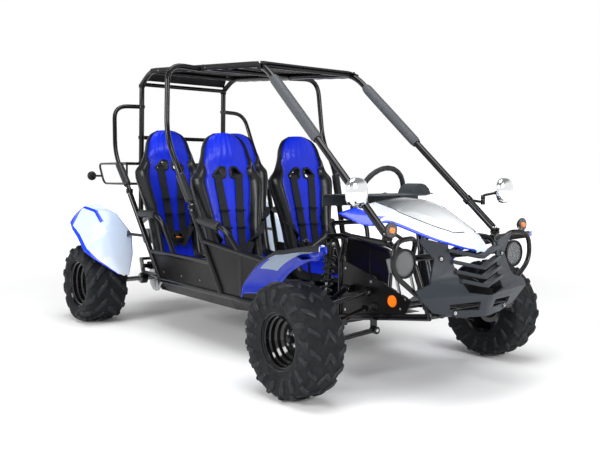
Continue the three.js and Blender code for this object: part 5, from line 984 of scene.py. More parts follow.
@dataclass
class TubeSizes:
    """The tube radii and the points that several sub-assemblies share."""

    cage: float = 16.0
    frame: float = 14.0
    bar: float = 12.5
    guard: float = 10.0
    rack: float = 7.0
    foam: float = 25.0
    clip_y: float = 250.0
    sill: tuple = ((-1503, 420, 283), (-840, 420, 283), (-670, 420, 283), (-430, 334, 262))
    c_top: tuple = (-1742, 497, 784)
    b_top: tuple = (-1012, 492, 716)
    pillar: tuple = ((221.5, 331, 654), (-668, 290, 1414), (-1855, 296, 1510), (-1985, 296, 1438))
    cage_bend: float = 90.0
    tower_z: float = 622.5
    shock_x: float = -91.0
    shoulder: tuple = (232, 311, 611)
    nose_top: tuple = (300, 262, 560)
    nose: tuple = (385, 250, 340)
    rear_post: tuple = ((-2010, 300, 560), (-1985, 296, 1438))
    pillar_foot: tuple = (233, 331)
    mirror_boss: tuple = (130, 374, 772)
    wheel: tuple = (-386, 225, 778)
    column_tilt: float = 20.0
    column_reach: float = 266.0

    def at(self, side: int, point: Sequence) -> Points:
        """A point with its y turned to one side."""
        return vec(point[0], side * point[1], point[2])

    def rail_z(self, x: Points) -> Points:
        """The height of the roof rail's centre line, read along its bent path."""
        path = bent([np.array(p, float) for p in self.pillar[1:]], self.cage_bend, 15)
        return np.interp(-np.asarray(x, float), -path[:, 0], path[:, 2])

    def flange(self, centre: Points) -> Surface:
        """The two round plates of a bolted joint between upright tubes."""
        return disc(centre, UPWARD, 12, 21)

    def column(self) -> tuple:
        """The steering wheel's centre, the column's direction and the place of its lower joint."""
        tilt = math.radians(self.column_tilt)
        along, centre = vec(math.cos(tilt), 0, -math.sin(tilt)), vec(*self.wheel)
        return centre, along, centre + along * (self.column_reach / along[0])

    def foot_bolts(self, centre: Points) -> list:
        """The two bolts through a pillar's foot plates, side by side across the kart."""
        return [hex_bolt(centre + vec(0, s * 15.12, 6.5), UPWARD, 4.6, 1) for s in (-1, 1)]


@dataclass
class RoofCage:
    """The two long pillars with their foam sleeves, the middle hoops and the roof's cross tubes."""

    shop: Workshop
    tubes: TubeSizes
    foam_shares: tuple = (0.503, 0.90)
    clamp_share: float = 0.155
    mid_x: float = -1240.0
    pad_top: tuple = (-1099, 528, 919)
    knee: tuple = (-1212, 528, 1083)

    def half(self, side: int) -> list:
        """One side of the cage."""
        size = self.tubes
        foot, top, bend, rear = (size.at(side, p) for p in size.pillar)
        mid_z = float(size.rail_z(self.mid_x))
        along = unit(top - foot)
        hoop_foot = size.at(side, size.b_top) + vec(0, 0, GAP)
        pad = size.at(side, self.pad_top)
        hoop = [hoop_foot + vec(0, 0, 8), pad, size.at(side, self.knee),
                vec(self.mid_x, side * 505, mid_z), vec(self.mid_x, side * 296, mid_z - 9)]
        boss = size.at(side, size.mirror_boss)
        clamp = mix(foot, top, self.clamp_share)
        shapes = [
            tube([foot, top, bend, rear], size.cage, size.cage_bend, 0, 20),
            foam_sleeve(mix(foot, top, self.foam_shares[0]), mix(foot, top, self.foam_shares[1]), size.foam),
            tube(hoop, size.bar + 1.5, 95, 0, 18),
            foam_sleeve(mix(hoop[0], pad, 0.1), mix(hoop[0], pad, 0.82), size.foam - 2, 3),
            disc(clamp, along, 26, size.cage + 5), tube([clamp, boss - vec(0, 0, 11)], 6, 10),
            disc(boss - vec(0, 0, 11), UPWARD, 22, 10),
        ]
        shapes += size.foot_bolts(size.at(side, (*size.pillar_foot, 646.5)))
        shapes.append(size.flange(size.at(side, (*size.pillar_foot, 646))))
        shapes.append(size.flange(hoop_foot + vec(0, 0, 6)))
        shapes.append(hex_bolt(hoop_foot + vec(13, side * 8, 12), UPWARD, 5, 1))
        bracket = top + vec(-14, side * 14, 6)
        shapes.append(hex_bolt(bracket, vec(0.1, side, 0.2), 7, 1))
        for x, z in ((self.mid_x, mid_z), (rear[0], rear[2] - 2)):
            shapes.append(disc(vec(x + 4, side * 293, z), ACROSS, 14, size.bar + 4))
        for x in (self.mid_x + 60, self.mid_x - 60, bend[0] + 130):
            shapes.append(hex_bolt(vec(x, side * 312, float(size.rail_z(x)) - 4), vec(0, side, 0), 5, 1))
        return shapes

    def build(self) -> None:
        """Makes the cage as one piece."""
        places = ((-690, 290, 1412), (self.mid_x, 296, 1460.3), (-1855, 296, 1505.2), (-1969, 296, 1438))
        across = [crossbar(*place, self.tubes.bar) for place in places]
        self.shop.piece("roof_cage", "tubes", both(self.half) + across, [PAINT, BOLT, FOAM, PAD])


@dataclass
class SideFrames:
    """The posts, rails, hip bars and sheet panels beside the seats, one piece for each side."""

    shop: Workshop
    tubes: TubeSizes
    panel_z: float = 440.0
    rail_z: float = 548.0
    hip_z: float = 656.0
    rail_front: tuple = (-470, 392, 478)
    rear_hip: tuple = ((-1425, 462, 656), (-1344, 420, 440))
    front_hip: tuple = ((-742, 462, 622), (-682, 420, 508))

    def panel(self, corners: Sequence[Points], side: int) -> list:
        """A pressed sheet between four corners, a little dished, with a rolled bead near its rim."""
        a, b, c, d = corners
        s, t = np.meshgrid(np.linspace(0, 1, 25), np.linspace(0, 1, 15))
        s, t = s[..., None], t[..., None]
        flat = (a * (1 - s) + b * s) * (1 - t) + (d * (1 - s) + c * s) * t
        normal = unit(np.cross(b - a, d - a))
        normal = normal * side * np.sign(normal[1] if abs(normal[1]) > 1e-6 else 1)
        rim = np.minimum(np.minimum(s, 1 - s) * 2.2, np.minimum(t, 1 - t))
        press = -2.0 * smoothstep(0.05, 0.10, rim) + 1.2 * np.exp(-(((rim - 0.1) / 0.02) ** 2))
        grid = flat + normal * press
        return [sheet(grid, 3, flip=side > 0), sheet(grid - normal * 2.2, 3, flip=side < 0)]

    def half(self, side: int) -> list:
        """One side's tubes, pads and sheets."""
        size = self.tubes
        rear, knee, bend, front = (size.at(side, p) for p in size.sill)
        c_top, b_top = size.at(side, size.c_top), size.at(side, size.b_top)
        front_top = size.at(side, self.rail_front)
        b_rail = at_height(knee, b_top, self.rail_z)
        hips = [
            [at_height(rear, c_top, self.hip_z), *(size.at(side, p) for p in self.rear_hip)],
            [at_height(knee, b_top, self.hip_z), *(size.at(side, p) for p in self.front_hip)],
        ]
        shapes = [
            tube([rear, bend, front], size.frame, 40, 0, 18),
            rod(rear, c_top - vec(0, 0, 7), size.cage), rod(knee, b_top - vec(0, 0, 7), size.cage),
            rod(at_height(rear, c_top, self.panel_z), at_height(knee, b_top, self.panel_z), size.frame),
            tube([b_rail, front_top, front], size.frame, 40, 0, 18),
        ]
        for top in (c_top, b_top):
            shapes.append(size.flange(top - vec(0, 0, 6)))
            shapes += [hex_bolt(top + vec(13 * s, side * 9 * s, -12.5), vec(0, 0, -1), 5, 1) for s in (-1, 1)]
        for path in hips:
            shapes.append(tube(path, size.bar, 75, 0, 16))
            start, end = mix(path[0], path[1], 0.14), mix(path[0], path[1], 0.80)
            shapes.append(foam_sleeve(start, end, 22.0))
        mid_top = mix(b_rail, front_top, (b_rail[0] - bend[0]) / (b_rail[0] - front_top[0]))
        post_c, post_b = at_height(rear, c_top, self.panel_z), at_height(knee, b_top, self.panel_z)
        for corners in ([rear, knee, post_b, post_c], [knee, bend, mid_top, b_rail],
                        [bend, front, front_top, mid_top]):
            shapes += self.panel(corners, side)
        low = [(-1500, 372), (-780, 372), (-670, 338), (-440, 268)]
        high = [(-1500, 420, 275), (-780, 420, 275), (-670, 420, 275), (-438, 336, 256)]
        belly = [[size.at(side, h), mix(size.at(side, h), vec(x, side * y, 214), 0.5),
                  vec(x, side * (y + 0.6), 214)]
                 for (x, y), h in zip(low, high)]
        for a, b in zip(belly, belly[1:]):
            grid = np.array([[mix(p, q, t) for t in np.linspace(0, 1, 9)] for p, q in zip(a, b)])
            shapes.append(sheet(grid, 3, flip=side < 0))
            shapes.append(sheet(grid + vec(0, -side * 1.6, 1.2), 3, flip=side > 0))
        shapes += [hex_bolt(vec(x, side * 424, 332), vec(0, side, 0), 4.2, 1)
                   for x in (-1455, -1250, -1050, -880)]
        return shapes

    def build(self) -> None:
        """Makes both sides."""
        for side in Side:
            self.shop.piece(f"side_frame_{side.word}", "tubes", self.half(side.value),
                            [PAINT, BOLT, PAD, SHEET])


@dataclass
class RearFrame:
    """The rear posts, the bulkhead, the rear hoops and the cross tubes."""

    shop: Workshop
    tubes: TubeSizes
    knee: tuple = (-1905, 512, 996)
    corner: tuple = (-2005, 470, 1298)
    hoop_end: tuple = (-1991, 296, 1302)
    bulkhead: tuple = ((-1640, 330, 246), (-1800, 330, 640))

    def half(self, side: int) -> list:
        """One side of the frame."""
        size = self.tubes
        low, high = (size.at(side, p) for p in self.bulkhead)
        post_foot, post_top = (size.at(side, p) for p in size.rear_post)
        c_top = size.at(side, size.c_top) + vec(0, 0, GAP)
        hoop = [c_top + vec(0, 0, 8), *(size.at(side, p) for p in (self.knee, self.corner, self.hoop_end))]
        shapes = [
            tube([low, high, post_foot + vec(0, 0, 16)], size.frame, 40, 0, 16),
            rod(post_foot, post_top - vec(0, 0, 17), size.cage),
            tube(hoop, size.bar + 0.5, 95, 0, 16), size.flange(c_top + vec(0, 0, 6)),
            rod(vec(-1600, side * 358, 228), vec(-1640, side * 327, 246), size.bar),
            disc(vec(-1596.3, side * 358, 228), AHEAD, 12, size.cage),
            foam_sleeve(mix(hoop[0], hoop[1], 0.12), mix(hoop[0], hoop[1], 0.74), 22.5),
        ]
        for z in (1112, 1302):
            joint = at_height(post_foot, post_top, z)
            shapes += [disc(joint, UPWARD, 20, 20.5),
                       hex_bolt(joint + vec(-19, side * 4, 0), vec(-1, 0, 0), 5, 1)]
        for end in (1, -1):
            y = side * 235 + end * (20 + GAP + 2.5)
            shapes.append(block(vec(68, 5, 36), vec(-1674, y, 250)))
        return shapes

    def build(self) -> None:
        """Makes the frame with its cross tubes and the rear damper's ears."""
        places = ((-2006, 300, 1112), (-1800, 330, 640), (-1640, 330, 246), (-2005, 300, 728))
        across = [crossbar(*place, self.tubes.bar) for place in places]
        ears = [block(vec(49, 5, 26), vec(-1824.5, end * 15.8, 634)) for end in (1, -1)]
        self.shop.piece("rear_frame", "tubes", both(self.half) + across + ears, [PAINT, BOLT, PAD])


@dataclass
class FrontFrame:
    """The front clip: rails, towers, side plates, lamp guards, dash hoop and the pedals' floor."""

    shop: Workshop
    tubes: TubeSizes
    rear: tuple = (-135, 250, 264)
    tower_z: float = 520.0
    plate: tuple = ((-135, 264), (256, 332), (290, 390), (50, 468), (-135, 520))
    reflector: tuple = (186, 376)
    dash_hoop: tuple = (-180, 270, 672)
    guard: tuple = ((300, 262, 560), (338, 278, 644), (352, 408, 638), (352, 424, 522), (362, 300, 428),
                    (363, 250, 396))
    signals: tuple = ((340, -420, 678), (285, 450, 665))

    def tower(self, side: int) -> list:
        """The upper cross tube that carries the shock."""
        size = self.tubes
        return [vec(-135, side * 250, 506), vec(size.shock_x, side * 260, size.tower_z),
                vec(size.shock_x, side * 373, size.tower_z)]

    def half(self, side: int) -> list:
        """One side of the clip."""
        size = self.tubes

        def at(*point: float) -> Points:
            """A point on this side."""
            return size.at(side, point)

        rear = at(*self.rear)
        tower = self.tower(side)
        nose_top = [tower[1], at(*size.shoulder), at(*size.nose_top), at(*size.nose)]
        guard = [at(*p) for p in self.guard]
        shapes = [
            tube([at(-431, 254, 228), rear, at(*size.nose)], size.frame, 60, 0, 18),
            disc(at(-433.7, 254, 228), AHEAD, 12, size.cage),
            rod(rear, at(-135, 250, self.tower_z), size.bar), tube(tower, size.bar, 40),
            tube(nose_top, size.bar, 45, 0, 16),
            rod(at(*size.shoulder), at(*size.pillar_foot, 628), size.bar),
            size.flange(at(*size.pillar_foot, 633.7)),
            hex_bolt(at(247, 338, 627), vec(0, 0, -1), 5, 1), tube(guard, size.guard, 60, 0, 18),
            tube([at(-133, 250, 514), at(*self.dash_hoop)], size.bar),
        ]
        sheet_at = side * self.tubes.clip_y
        shapes.append(prism(self.plate, 3, vec(0, sheet_at, 0), AHEAD, UPWARD, 3))
        outer = sheet_at + side * 1.6
        spot = vec(self.reflector[0], outer, self.reflector[1])
        # The round reflector wears the amber finish, with its painted glow.
        shapes.append(turned([(0, 0), (24, 0), (24, 4), (21, 7), (20, 6), (0, 7)], spot,
                             vec(0, side, 0), 36, 4))
        shapes += [hex_bolt(vec(x, outer, z), vec(0, side, 0), 3.6, 1)
                   for x, z in ((-100, 300), (60, 440), (230, 350), (-100, 480), (255, 392))]
        for share in (0.1, 0.35, 0.6, 0.85):
            rim = mix(at(50, 251, 468), at(290, 251, 390), share)
            shapes.append(disc(rim, vec(240, 0, -78), 30, 4.5))
        ear_in = 12 + GAP
        for s in (1, -1):
            shapes.append(block(vec(6, 22, 44), at(size.shock_x, 345, 597) + vec(s * (ear_in + 3), 0, 0)))
            shapes.append(hex_bolt(at(size.shock_x, 345, 592) + vec(s * (ear_in + 6), 0, 0),
                                   vec(s, 0, 0), 6, 1))
        for span, z in ((112, 250), (62, 400)):
            for s in (1, -1):
                high = z + 16 if z > 300 else 264 + 76 * ((s * span + 135) / 520)
                centre = at(s * (span - 17 - GAP - 2.5), 265, (high + z - 16) / 2)
                shapes.append(block(vec(5, 36, high - z + 16), centre))
        shapes.append(disc(at(85, 250, 340.3), ACROSS, 14, 18))
        return shapes + self.signal(side)

    def signal(self, side: int) -> list:
        """A round turn signal on its stem: a black cup and a clear lens over an amber bulb that wears a
        painted glow.
        """
        x, y, z = self.signals[0 if side < 0 else 1]
        centre = vec(x, y, z)
        start = mix(*(self.tubes.at(side, p) for p in self.guard[1:3]), 0.62)
        cup = [(0, -17), (13, -17), (26, -5), (30, 2), (30, 6), (28, 6)]
        lens = [(28, 5), (27, 9), (20, 14.5), (8, 17), (0, 17)]
        out = AHEAD
        return [tube([start, centre + vec(-10, 0, 0)], 7, 10), turned(cup + [(0, 5)], centre, out, 30, 5),
                turned([(0, 4)] + lens, centre, out, 30, 6),
                # The amber bulb, with a painted glow.
                turned([(0, 3), (12, 3), (10, 15), (0, 18.2)], centre, out, 20, 7)]

    def build(self) -> None:
        """Makes the clip as one piece."""
        size = self.tubes
        across = [crossbar(*bar) for bar in (
            (379, 250, 342, size.bar), (-135, 250, 264, size.bar), (124, 250, 340.3, size.guard),
            (-180, 270, 672, size.guard), (302, 262, 560, size.bar))]
        wheel, column, joint = size.column()
        collar = wheel + column * (206 / column[0])
        pinion = vec(85, 100, 366.3)
        shaft = unit(pinion - joint)
        ring = [(11, -9), (17, -9), (17, 9), (11, 9)]
        rest = [
            turned(ring, collar, column, 24),
            block(vec(12, 17, collar[2] - 690), vec(-180, 225, (collar[2] + 668) / 2)),
            block(vec(74, 44, 54), vec(87, 100, 349.3)),
            turned([(12.6, -22), (17, -22), (17, 0), (12.6, 0)], pinion - shaft * 8, shaft, 20),
            prism([(-440, -254), (-135, -250), (-135, 250), (-440, 254)], 3, vec(0, 0, 232),
                  AHEAD, ACROSS, 3),
            rod(vec(-110, 250, 300), vec(-110, 56, 300), 7, 1),
            tube([vec(-110, 62, 300), vec(-135, 62, 264)], 6.3, 5),
        ]
        self.shop.piece("front_frame", "tubes", both(self.half) + across + rest,
                        [PAINT, BOLT, FOAM, SHEET, AMBER, BLACK_PLASTIC, CLEAR, AMBER])


@dataclass
class Suspension:
    """Wishbones, uprights, knuckles, tie rods and the two coil-over shocks."""

    shop: Workshop
    tubes: TubeSizes
    ball: tuple = (0, 480, 195)
    rise: float = 150.0
    inner_y: float = 278.0
    top: tuple = (-91, 345, 592)
    bottom: tuple = (-91, 385, 268)
    curls: int = 9
    wire: float = 4.6
    coil_radius: float = 24.0
    seats: tuple = (0.16, 0.84)

    def wishbone(self, side: int, span: float, lift: float) -> list:
        """Two legs from their bushes to the ball joint, with a gusset between."""
        outer = vec(0, side * self.ball[1], self.ball[2] + lift)
        shapes = [disc(outer, AHEAD, 26, 13), disc(outer, UPWARD, 8, 14)]
        for end in (1, -1):
            bush = vec(end * span, side * self.inner_y, 250 + lift)
            shapes += [disc(bush, AHEAD, 34, 16), disc(bush, AHEAD, 35.4, 7, 1),
                       tube([bush, outer], 10.5, 20, 0, 16)]
        legs = [mix(vec(end * span, side * self.inner_y, 250 + lift), outer, 0.62) for end in (1, -1)]
        shapes.append(rod(legs[0], legs[1], 7))
        return shapes

    def arms(self, side: Side) -> None:
        """The lower and the upper arm of one side."""
        s = side.value
        lower = self.wishbone(s, 112, 0)
        eye = vec(self.bottom[0], s * self.bottom[1], self.bottom[2])
        foot = mix(vec(-112, s * self.inner_y, 250), vec(0, s * self.ball[1], self.ball[2]), 0.56)
        for end in (1, -1):
            ear = eye + vec(end * 18.3, 0, 0)
            plate = [(-11, -42), (11, -42), (11, 10), (0, 14), (-11, 10)]
            lower.append(prism(plate, 5, ear, ACROSS, UPWARD))
            lower.append(hex_bolt(ear + vec(end * 2.6, 0, 0), vec(end, 0, 0), 6, 1))
        lower.append(rod(foot + vec(-34, 0, 0), foot + vec(30, 0, 0), 9))
        for name, shapes in (("lower_arm", lower), ("upper_arm", self.wishbone(s, 62, self.rise))):
            self.shop.piece(f"{name}_{side.word}", "tubes", shapes, [PAINT, BOLT])

    def spring(self, start: Points, end: Points, curls: float) -> Surface:
        """A coil: a circle carried along a helix whose end turns lie flat on the seats."""
        along = unit(end - start)
        one = unit(AHEAD - along * along[0])
        two = np.cross(along, one)
        t = np.linspace(0, 1, int(curls * 22))
        length = float(np.linalg.norm(end - start)) - 2 * self.wire
        share = np.interp(t, [0, 0.09, 0.91, 1], [0, 0.025, 0.975, 1])
        angle = t * curls * 2 * math.pi
        path = start + along * (self.wire + share * length)[:, None]
        path = path + self.coil_radius * (np.cos(angle)[:, None] * one + np.sin(angle)[:, None] * two)
        return sweep(path, self.wire, 8)

    def shock(self, side: Side) -> None:
        """The shock's body with its seat, its rod, and the spring between them."""
        s, word = side.value, side.word
        top, bottom = (vec(p[0], s * p[1], p[2]) for p in (self.top, self.bottom))
        along = unit(bottom - top)
        length = float(np.linalg.norm(bottom - top))
        high, low = self.seats

        def seat(share: float, sign: int) -> Surface:
            """The cup that holds one end of the spring."""
            cup = [(0, -3), (27, -3), (30, -1.5), (30, 2.5), (28, 2.5), (25, 0.5), (0, 0.5)]
            return turned(cup, top + along * length * share, along * sign, 28)

        body = [disc(top, AHEAD, 24, 13), disc(top, AHEAD, 24.5, 7, 1), seat(high, 1),
                rod(top + along * 10, top + along * length * 0.5, 15),
                rod(top + along * 12, top + along * 50, 18)]
        lower = [disc(bottom, AHEAD, 24, 13, 1), seat(low, -1).wearing(1),
                 rod(top + along * length * 0.4, bottom, 6.2),
                 rod(top + along * length * 0.845, bottom - along * 8, 11, 1)]
        for name, shapes, finishes in (("shock_body", body, [PAINT, BOLT]),
                                       ("shock_rod", lower, [STEEL, PAINT])):
            self.shop.piece(f"{name}_{word}", "turned", shapes, finishes)
        node = f"shock_spring_{word}"
        coil = self.spring(top + along * (length * high + 3), top + along * (length * low - 3), self.curls)
        piece = self.shop.mesh(node + "_coil", coil, [PAINT], 60)
        ends = [(top + along * length * share + [ORIGIN_X, 0, 0]) / 1000 for share in self.seats]
        tuple(ends[0])
        tuple(ends[1])
        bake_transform(piece)
        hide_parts(node)

    def build(self) -> None:
        """Makes both sides; the uprights, knuckles and rods are dressed copies of the nodes."""
        for side in Side:
            self.arms(side)
            self.shock(side)
            self.shop.dressed(f"upright_{side.word}", PAINT)
            self.shop.dressed(f"knuckle_{side.word}", STEEL, 40)
            self.shop.dressed(f"tie_rod_{side.word}", PAINT)


@dataclass
class Steering:
    """The steering wheel, its shaft with a universal joint, and the rack."""

    shop: Workshop
    tubes: TubeSizes
    radius: float = 148.0
    grip: float = 13.0

    def build(self) -> None:
        """Makes the wheel: a torus with finger swells, three pressed spokes and a padded hub."""
        centre, column, joint = self.tubes.column()
        up = vec(-column[2], 0, column[0])
        turn = np.linspace(0, 2 * math.pi, 97)[:-1]
        out = np.sin(turn)[:, None] * ACROSS + np.cos(turn)[:, None] * up
        round_ = np.linspace(0, 2 * math.pi, 17)[:-1]
        thick = self.grip * (1 + 0.035 * np.cos(turn * 24))
        reach, depth = self.radius + thick[:, None] * np.cos(round_), thick[:, None] * np.sin(round_)
        rings = centre + out[:, None] * reach[..., None] + column * depth[..., None]
        rim = Surface(rings.reshape(-1, 3), quads(96, 16, True, True)).outward()
        hub = centre + column * 30
        shapes = [rim, turned([(0, -15), (22, -15), (27, -11), (30, -4), (30, 10), (26, 15), (0, 15)], hub,
                              column, 32, 1)]
        for angle in (math.pi / 2, -math.pi / 2, math.pi):
            way = math.sin(angle) * ACROSS + math.cos(angle) * up
            across = np.cross(way, column)
            t = np.linspace(0, 1, 12)[:, None]
            line = (centre + way * (self.radius - 6)) * (1 - t) + (hub + way * 16) * t
            wide = 9 + 8 * np.abs(t - 0.4)
            rings = np.stack([line + across * wide + column * 2.4, line - across * wide + column * 2.4,
                              line - across * wide - column * 2.4, line + across * wide - column * 2.4], 1)
            shapes.append(closed(rings, 2))
            shapes.append(rod(line[3] - column * 2.6, mix(line[3], line[-1], 0.02) + column * 2.7, 3.5, 3))
        shapes += [rod(hub, joint - column * 17.3, 10, 3),
                   rod(joint - column * 43.3, joint - column * 17.3, 17, 3)]
        self.shop.piece("steering_wheel", "round", shapes, [GRIP, BLACK_PLASTIC, PAINT, STEEL])
        self.shop.dressed("steering_shaft", STEEL, 50)
        self.shop.dressed("steering_rack", STEEL, 50)


# Seats


@dataclass
class SeatShape:
    """The seat's rings, from the front edge of the cushion to the top of the headrest.

    Each row is x, z, the lean of the ring in degrees, and shares of the half width, the bolsters'
    height, the centre's crown and the shell's depth.
    """

    rings: tuple = (
        (-22, 52, 0, 0.44, 0.10, 0.10, 0.05), (-34, 68, 10, 0.53, 0.25, 0.35, 0.30),
        (-180, 62, 2, 0.66, 0.70, 0.30, 0.28), (-330, 54, 2, 0.67, 0.85, 0.16, 0.40),
        (-405, 80, 42, 0.69, 0.90, 0.05, 0.80), (-452, 190, 78, 0.71, 1.00, 0.20, 1.00),
        (-490, 348, 80, 0.77, 1.00, 0.25, 1.00), (-526, 520, 80, 0.96, 1.00, 0.25, 0.90),
        (-540, 592, 80, 1.00, 0.90, 0.20, 0.80), (-549, 646, 80, 0.81, 0.60, 0.20, 0.78),
        (-560, 712, 79, 0.68, 0.40, 0.25, 0.75), (-570, 768, 80, 0.61, 0.30, 0.30, 0.72),
        (-580, 812, 82, 0.48, 0.20, 0.25, 0.60), (-588, 838, 84, 0.26, 0.10, 0.20, 0.40),
    )
    half: float = 220.0
    crown: float = 26.0
    bolster: float = 46.0
    depth: float = 62.0
    seam: float = 0.64
    waist_z: float = 372.0
    slot: tuple = (-545, 52, 628, 38, 28)
    slot_outline: tuple = ((-0.85, -0.75), (0.6, -1.0), (1.0, -0.45), (-0.05, 1.0), (-0.9, 0.85))
    dome: float = 16.0


@dataclass
class Seat:
    """A bucket seat: a blue sewn centre between black bolsters, two belt slots and a harness."""

    shop: Workshop
    name: str
    row: int
    side: Side
    shape: SeatShape = field(default_factory=SeatShape)
    rows: int = 96
    across: int = 57
    behind: int = 30

    def __post_init__(self) -> None:
        """Splines the rings once."""
        self.origin = vec(-520 - 655 * self.row, self.side.value * 248, 262.4 + 45 * self.row)
        self.lines = spline(np.array(self.shape.rings, float), self.rows)
        self.lines[:, 3] = np.clip(self.lines[:, 3], 0.26, 1.0)
        self.lines[:, 4:] = np.clip(self.lines[:, 4:], 0.03, 1.02)

    def seam_share(self, z: Points) -> Points:
        """How far out the blue panel reaches at a height: it flares over the whole headrest."""
        return self.shape.seam + 0.27 * smoothstep(610, 700, z) + 0.10 * smoothstep(60, 30, z)

    def height(self, share: Points, line: Points) -> Points:
        """The padding's height over the ring's chord.

        The centre is a parabola of the crown; the bolster is a squared sine from the seam to the edge;
        both sink along the sewn seams in narrow Gaussian grooves, and the waist seam crosses the centre.
        The headrest swells by a parabola with faint gathers, which are cosines across it.
        """
        size, away = self.shape, np.abs(share)
        seam = self.seam_share(line[..., 1])
        centre = line[..., 5] * size.crown * (1 - np.clip(away / seam, 0, 1) ** 2)
        head = smoothstep(650, 730, line[..., 1]) * (1 - np.clip(away / seam, 0, 1) ** 2)
        centre = centre + head * (size.dome + 1.1 * np.cos(share * 26 + line[..., 1] / 90))
        outer = np.clip((away - seam) / (1 - seam), 0, 1)
        bolster = line[..., 4] * size.bolster * np.sin(np.clip(outer * 1.06, 0, 1) * math.pi) ** 0.8
        groove = 5.0 * np.exp(-(((away - seam) * line[..., 3] * size.half / 5) ** 2))
        waist = 7.0 * np.exp(-(((line[..., 1] - size.waist_z) / 7) ** 2))
        waist = waist * (away < seam + 0.02) * (line[..., 0] < -440)
        return centre + bolster - groove - waist

    def at(self, t: Points, share: Points, lift: float = 0.0) -> Points:
        """Points on the front of the seat.

        Args:
            t: 0 at the cushion's edge, 1 at the top of the head.
            share: the place across, from -1 to 1.
            lift: how far above the skin, in millimetres.

        Returns:
            The points.
        """
        t, share = np.broadcast_arrays(np.asarray(t, float), np.asarray(share, float))
        steps = np.linspace(0, 1, self.rows)
        line = np.stack([np.interp(t, steps, self.lines[:, k]) for k in range(7)], -1)
        lean = np.radians(line[..., 2])
        rise = self.height(share, line) + lift
        return self.origin + np.stack([
            line[..., 0] + np.sin(lean) * rise, share * line[..., 3] * self.shape.half,
            line[..., 1] + np.cos(lean) * rise], -1)

    def t_at(self, z: float) -> float:
        """The ring share whose height is z, on the seat's back."""
        steps = np.linspace(0, 1, self.rows)
        upper = self.lines[:, 0] < -440
        return float(np.interp(z, self.lines[upper, 1], steps[upper]))

    def shell(self) -> Surface:
        """The closed cushion: the sewn front, and a superellipse for the shell behind it."""
        t = np.linspace(0, 1, self.rows)[:, None]
        share = np.sin(np.linspace(-0.5, 0.5, self.across) * math.pi)[None]
        share = 0.45 * share + 0.55 * np.linspace(-1, 1, self.across)[None]
        front = self.at(t, share)
        turn = np.linspace(0, math.pi, self.behind + 2)[1:-1]
        line = self.lines[:, None, :]
        lean = np.radians(line[..., 2])
        sunk = -np.sin(turn)[None] ** 0.55 * line[..., 6] * self.shape.depth
        wide = np.sign(np.cos(turn)) * np.abs(np.cos(turn)) ** 0.7 * line[..., 3] * self.shape.half
        back = self.origin + np.stack([line[..., 0] + np.sin(lean) * sunk, wide,
                                       line[..., 1] + np.cos(lean) * sunk], -1)
        rings = np.concatenate([front, back], 1)
        made = closed(rings)
        column = np.array([min(face) % rings.shape[1] for face in made.faces])
        row = np.array([min(face) // rings.shape[1] for face in made.faces])
        z = self.lines[np.clip(row, 0, self.rows - 1), 1]
        near, far = (share[0][np.clip(column + k, 0, self.across - 1)] for k in (0, 1))
        middle = np.where(column < self.across - 1, (near + far) / 2, 9)
        return made.wearing(np.where(np.abs(middle) < self.seam_share(z), 0, 1))

    def slots(self) -> list:
        """The two belt slots' cutters, straight through the back."""
        x, y, z, wide, tall = self.shape.slot
        return [prism([(a * end * wide, b * tall) for a, b in self.shape.slot_outline], 300,
                      self.origin + vec(x, end * y, z), ACROSS, UPWARD, 2) for end in (1, -1)]

    def trim(self) -> list:
        """Piping along both seams, and the slots' bezels."""
        t = np.linspace(0.03, 0.985, 150)
        z = np.interp(t, np.linspace(0, 1, self.rows), self.lines[:, 1])
        shapes = []
        for end in (1, -1):
            path = self.at(t, end * self.seam_share(z), 3.4)
            shapes.append(sweep(path, 2.3, 8, 1))
            shapes += self.bezel(end)
        return shapes

    def bezel(self, end: int) -> list:
        """A thick rounded rim over a thinner one, round one belt slot in the front of the back rest."""
        _, y, z, wide, tall = self.shape.slot
        steps = np.linspace(0, 1, self.rows)
        shapes = []
        for depth, grow, radius in ((0.0, 4.0, 6.2), (4.5, 9.0, 4.0)):
            loop = [(a * (wide + grow), b * (tall + grow)) for a, b in self.shape.slot_outline]
            middle = mix(np.array(loop[0]), np.array(loop[1]), 0.5)
            loop = [middle, *loop[1:], loop[0], middle]
            ring = []
            for a, b in loop:
                t_here = self.t_at(z + b)
                across = end * (y + a)
                share = across / (np.interp(t_here, steps, self.lines[:, 3]) * self.shape.half)
                spot = self.at(t_here, share)
                ring.append(vec(float(spot[0]) + 1.5 - depth, self.origin[1] + across,
                                self.origin[2] + z + b))
            shapes.append(tube(ring, radius, 15, 2, 12))
        return shapes

    def ribbon(self, path: Points, out: Points, wide: float) -> Surface:
        """A flat strap 2.4 mm thick along a path, facing out."""
        along = np.gradient(path, axis=0)
        across = np.cross(along, out)
        across /= np.linalg.norm(across, axis=1)[:, None]
        face = np.cross(across, along)
        face /= np.linalg.norm(face, axis=1)[:, None]
        a, b = across * wide / 2, face * 1.2
        return closed(np.stack([path + a + b, path - a + b, path - a - b, path + a - b], 1), 0)

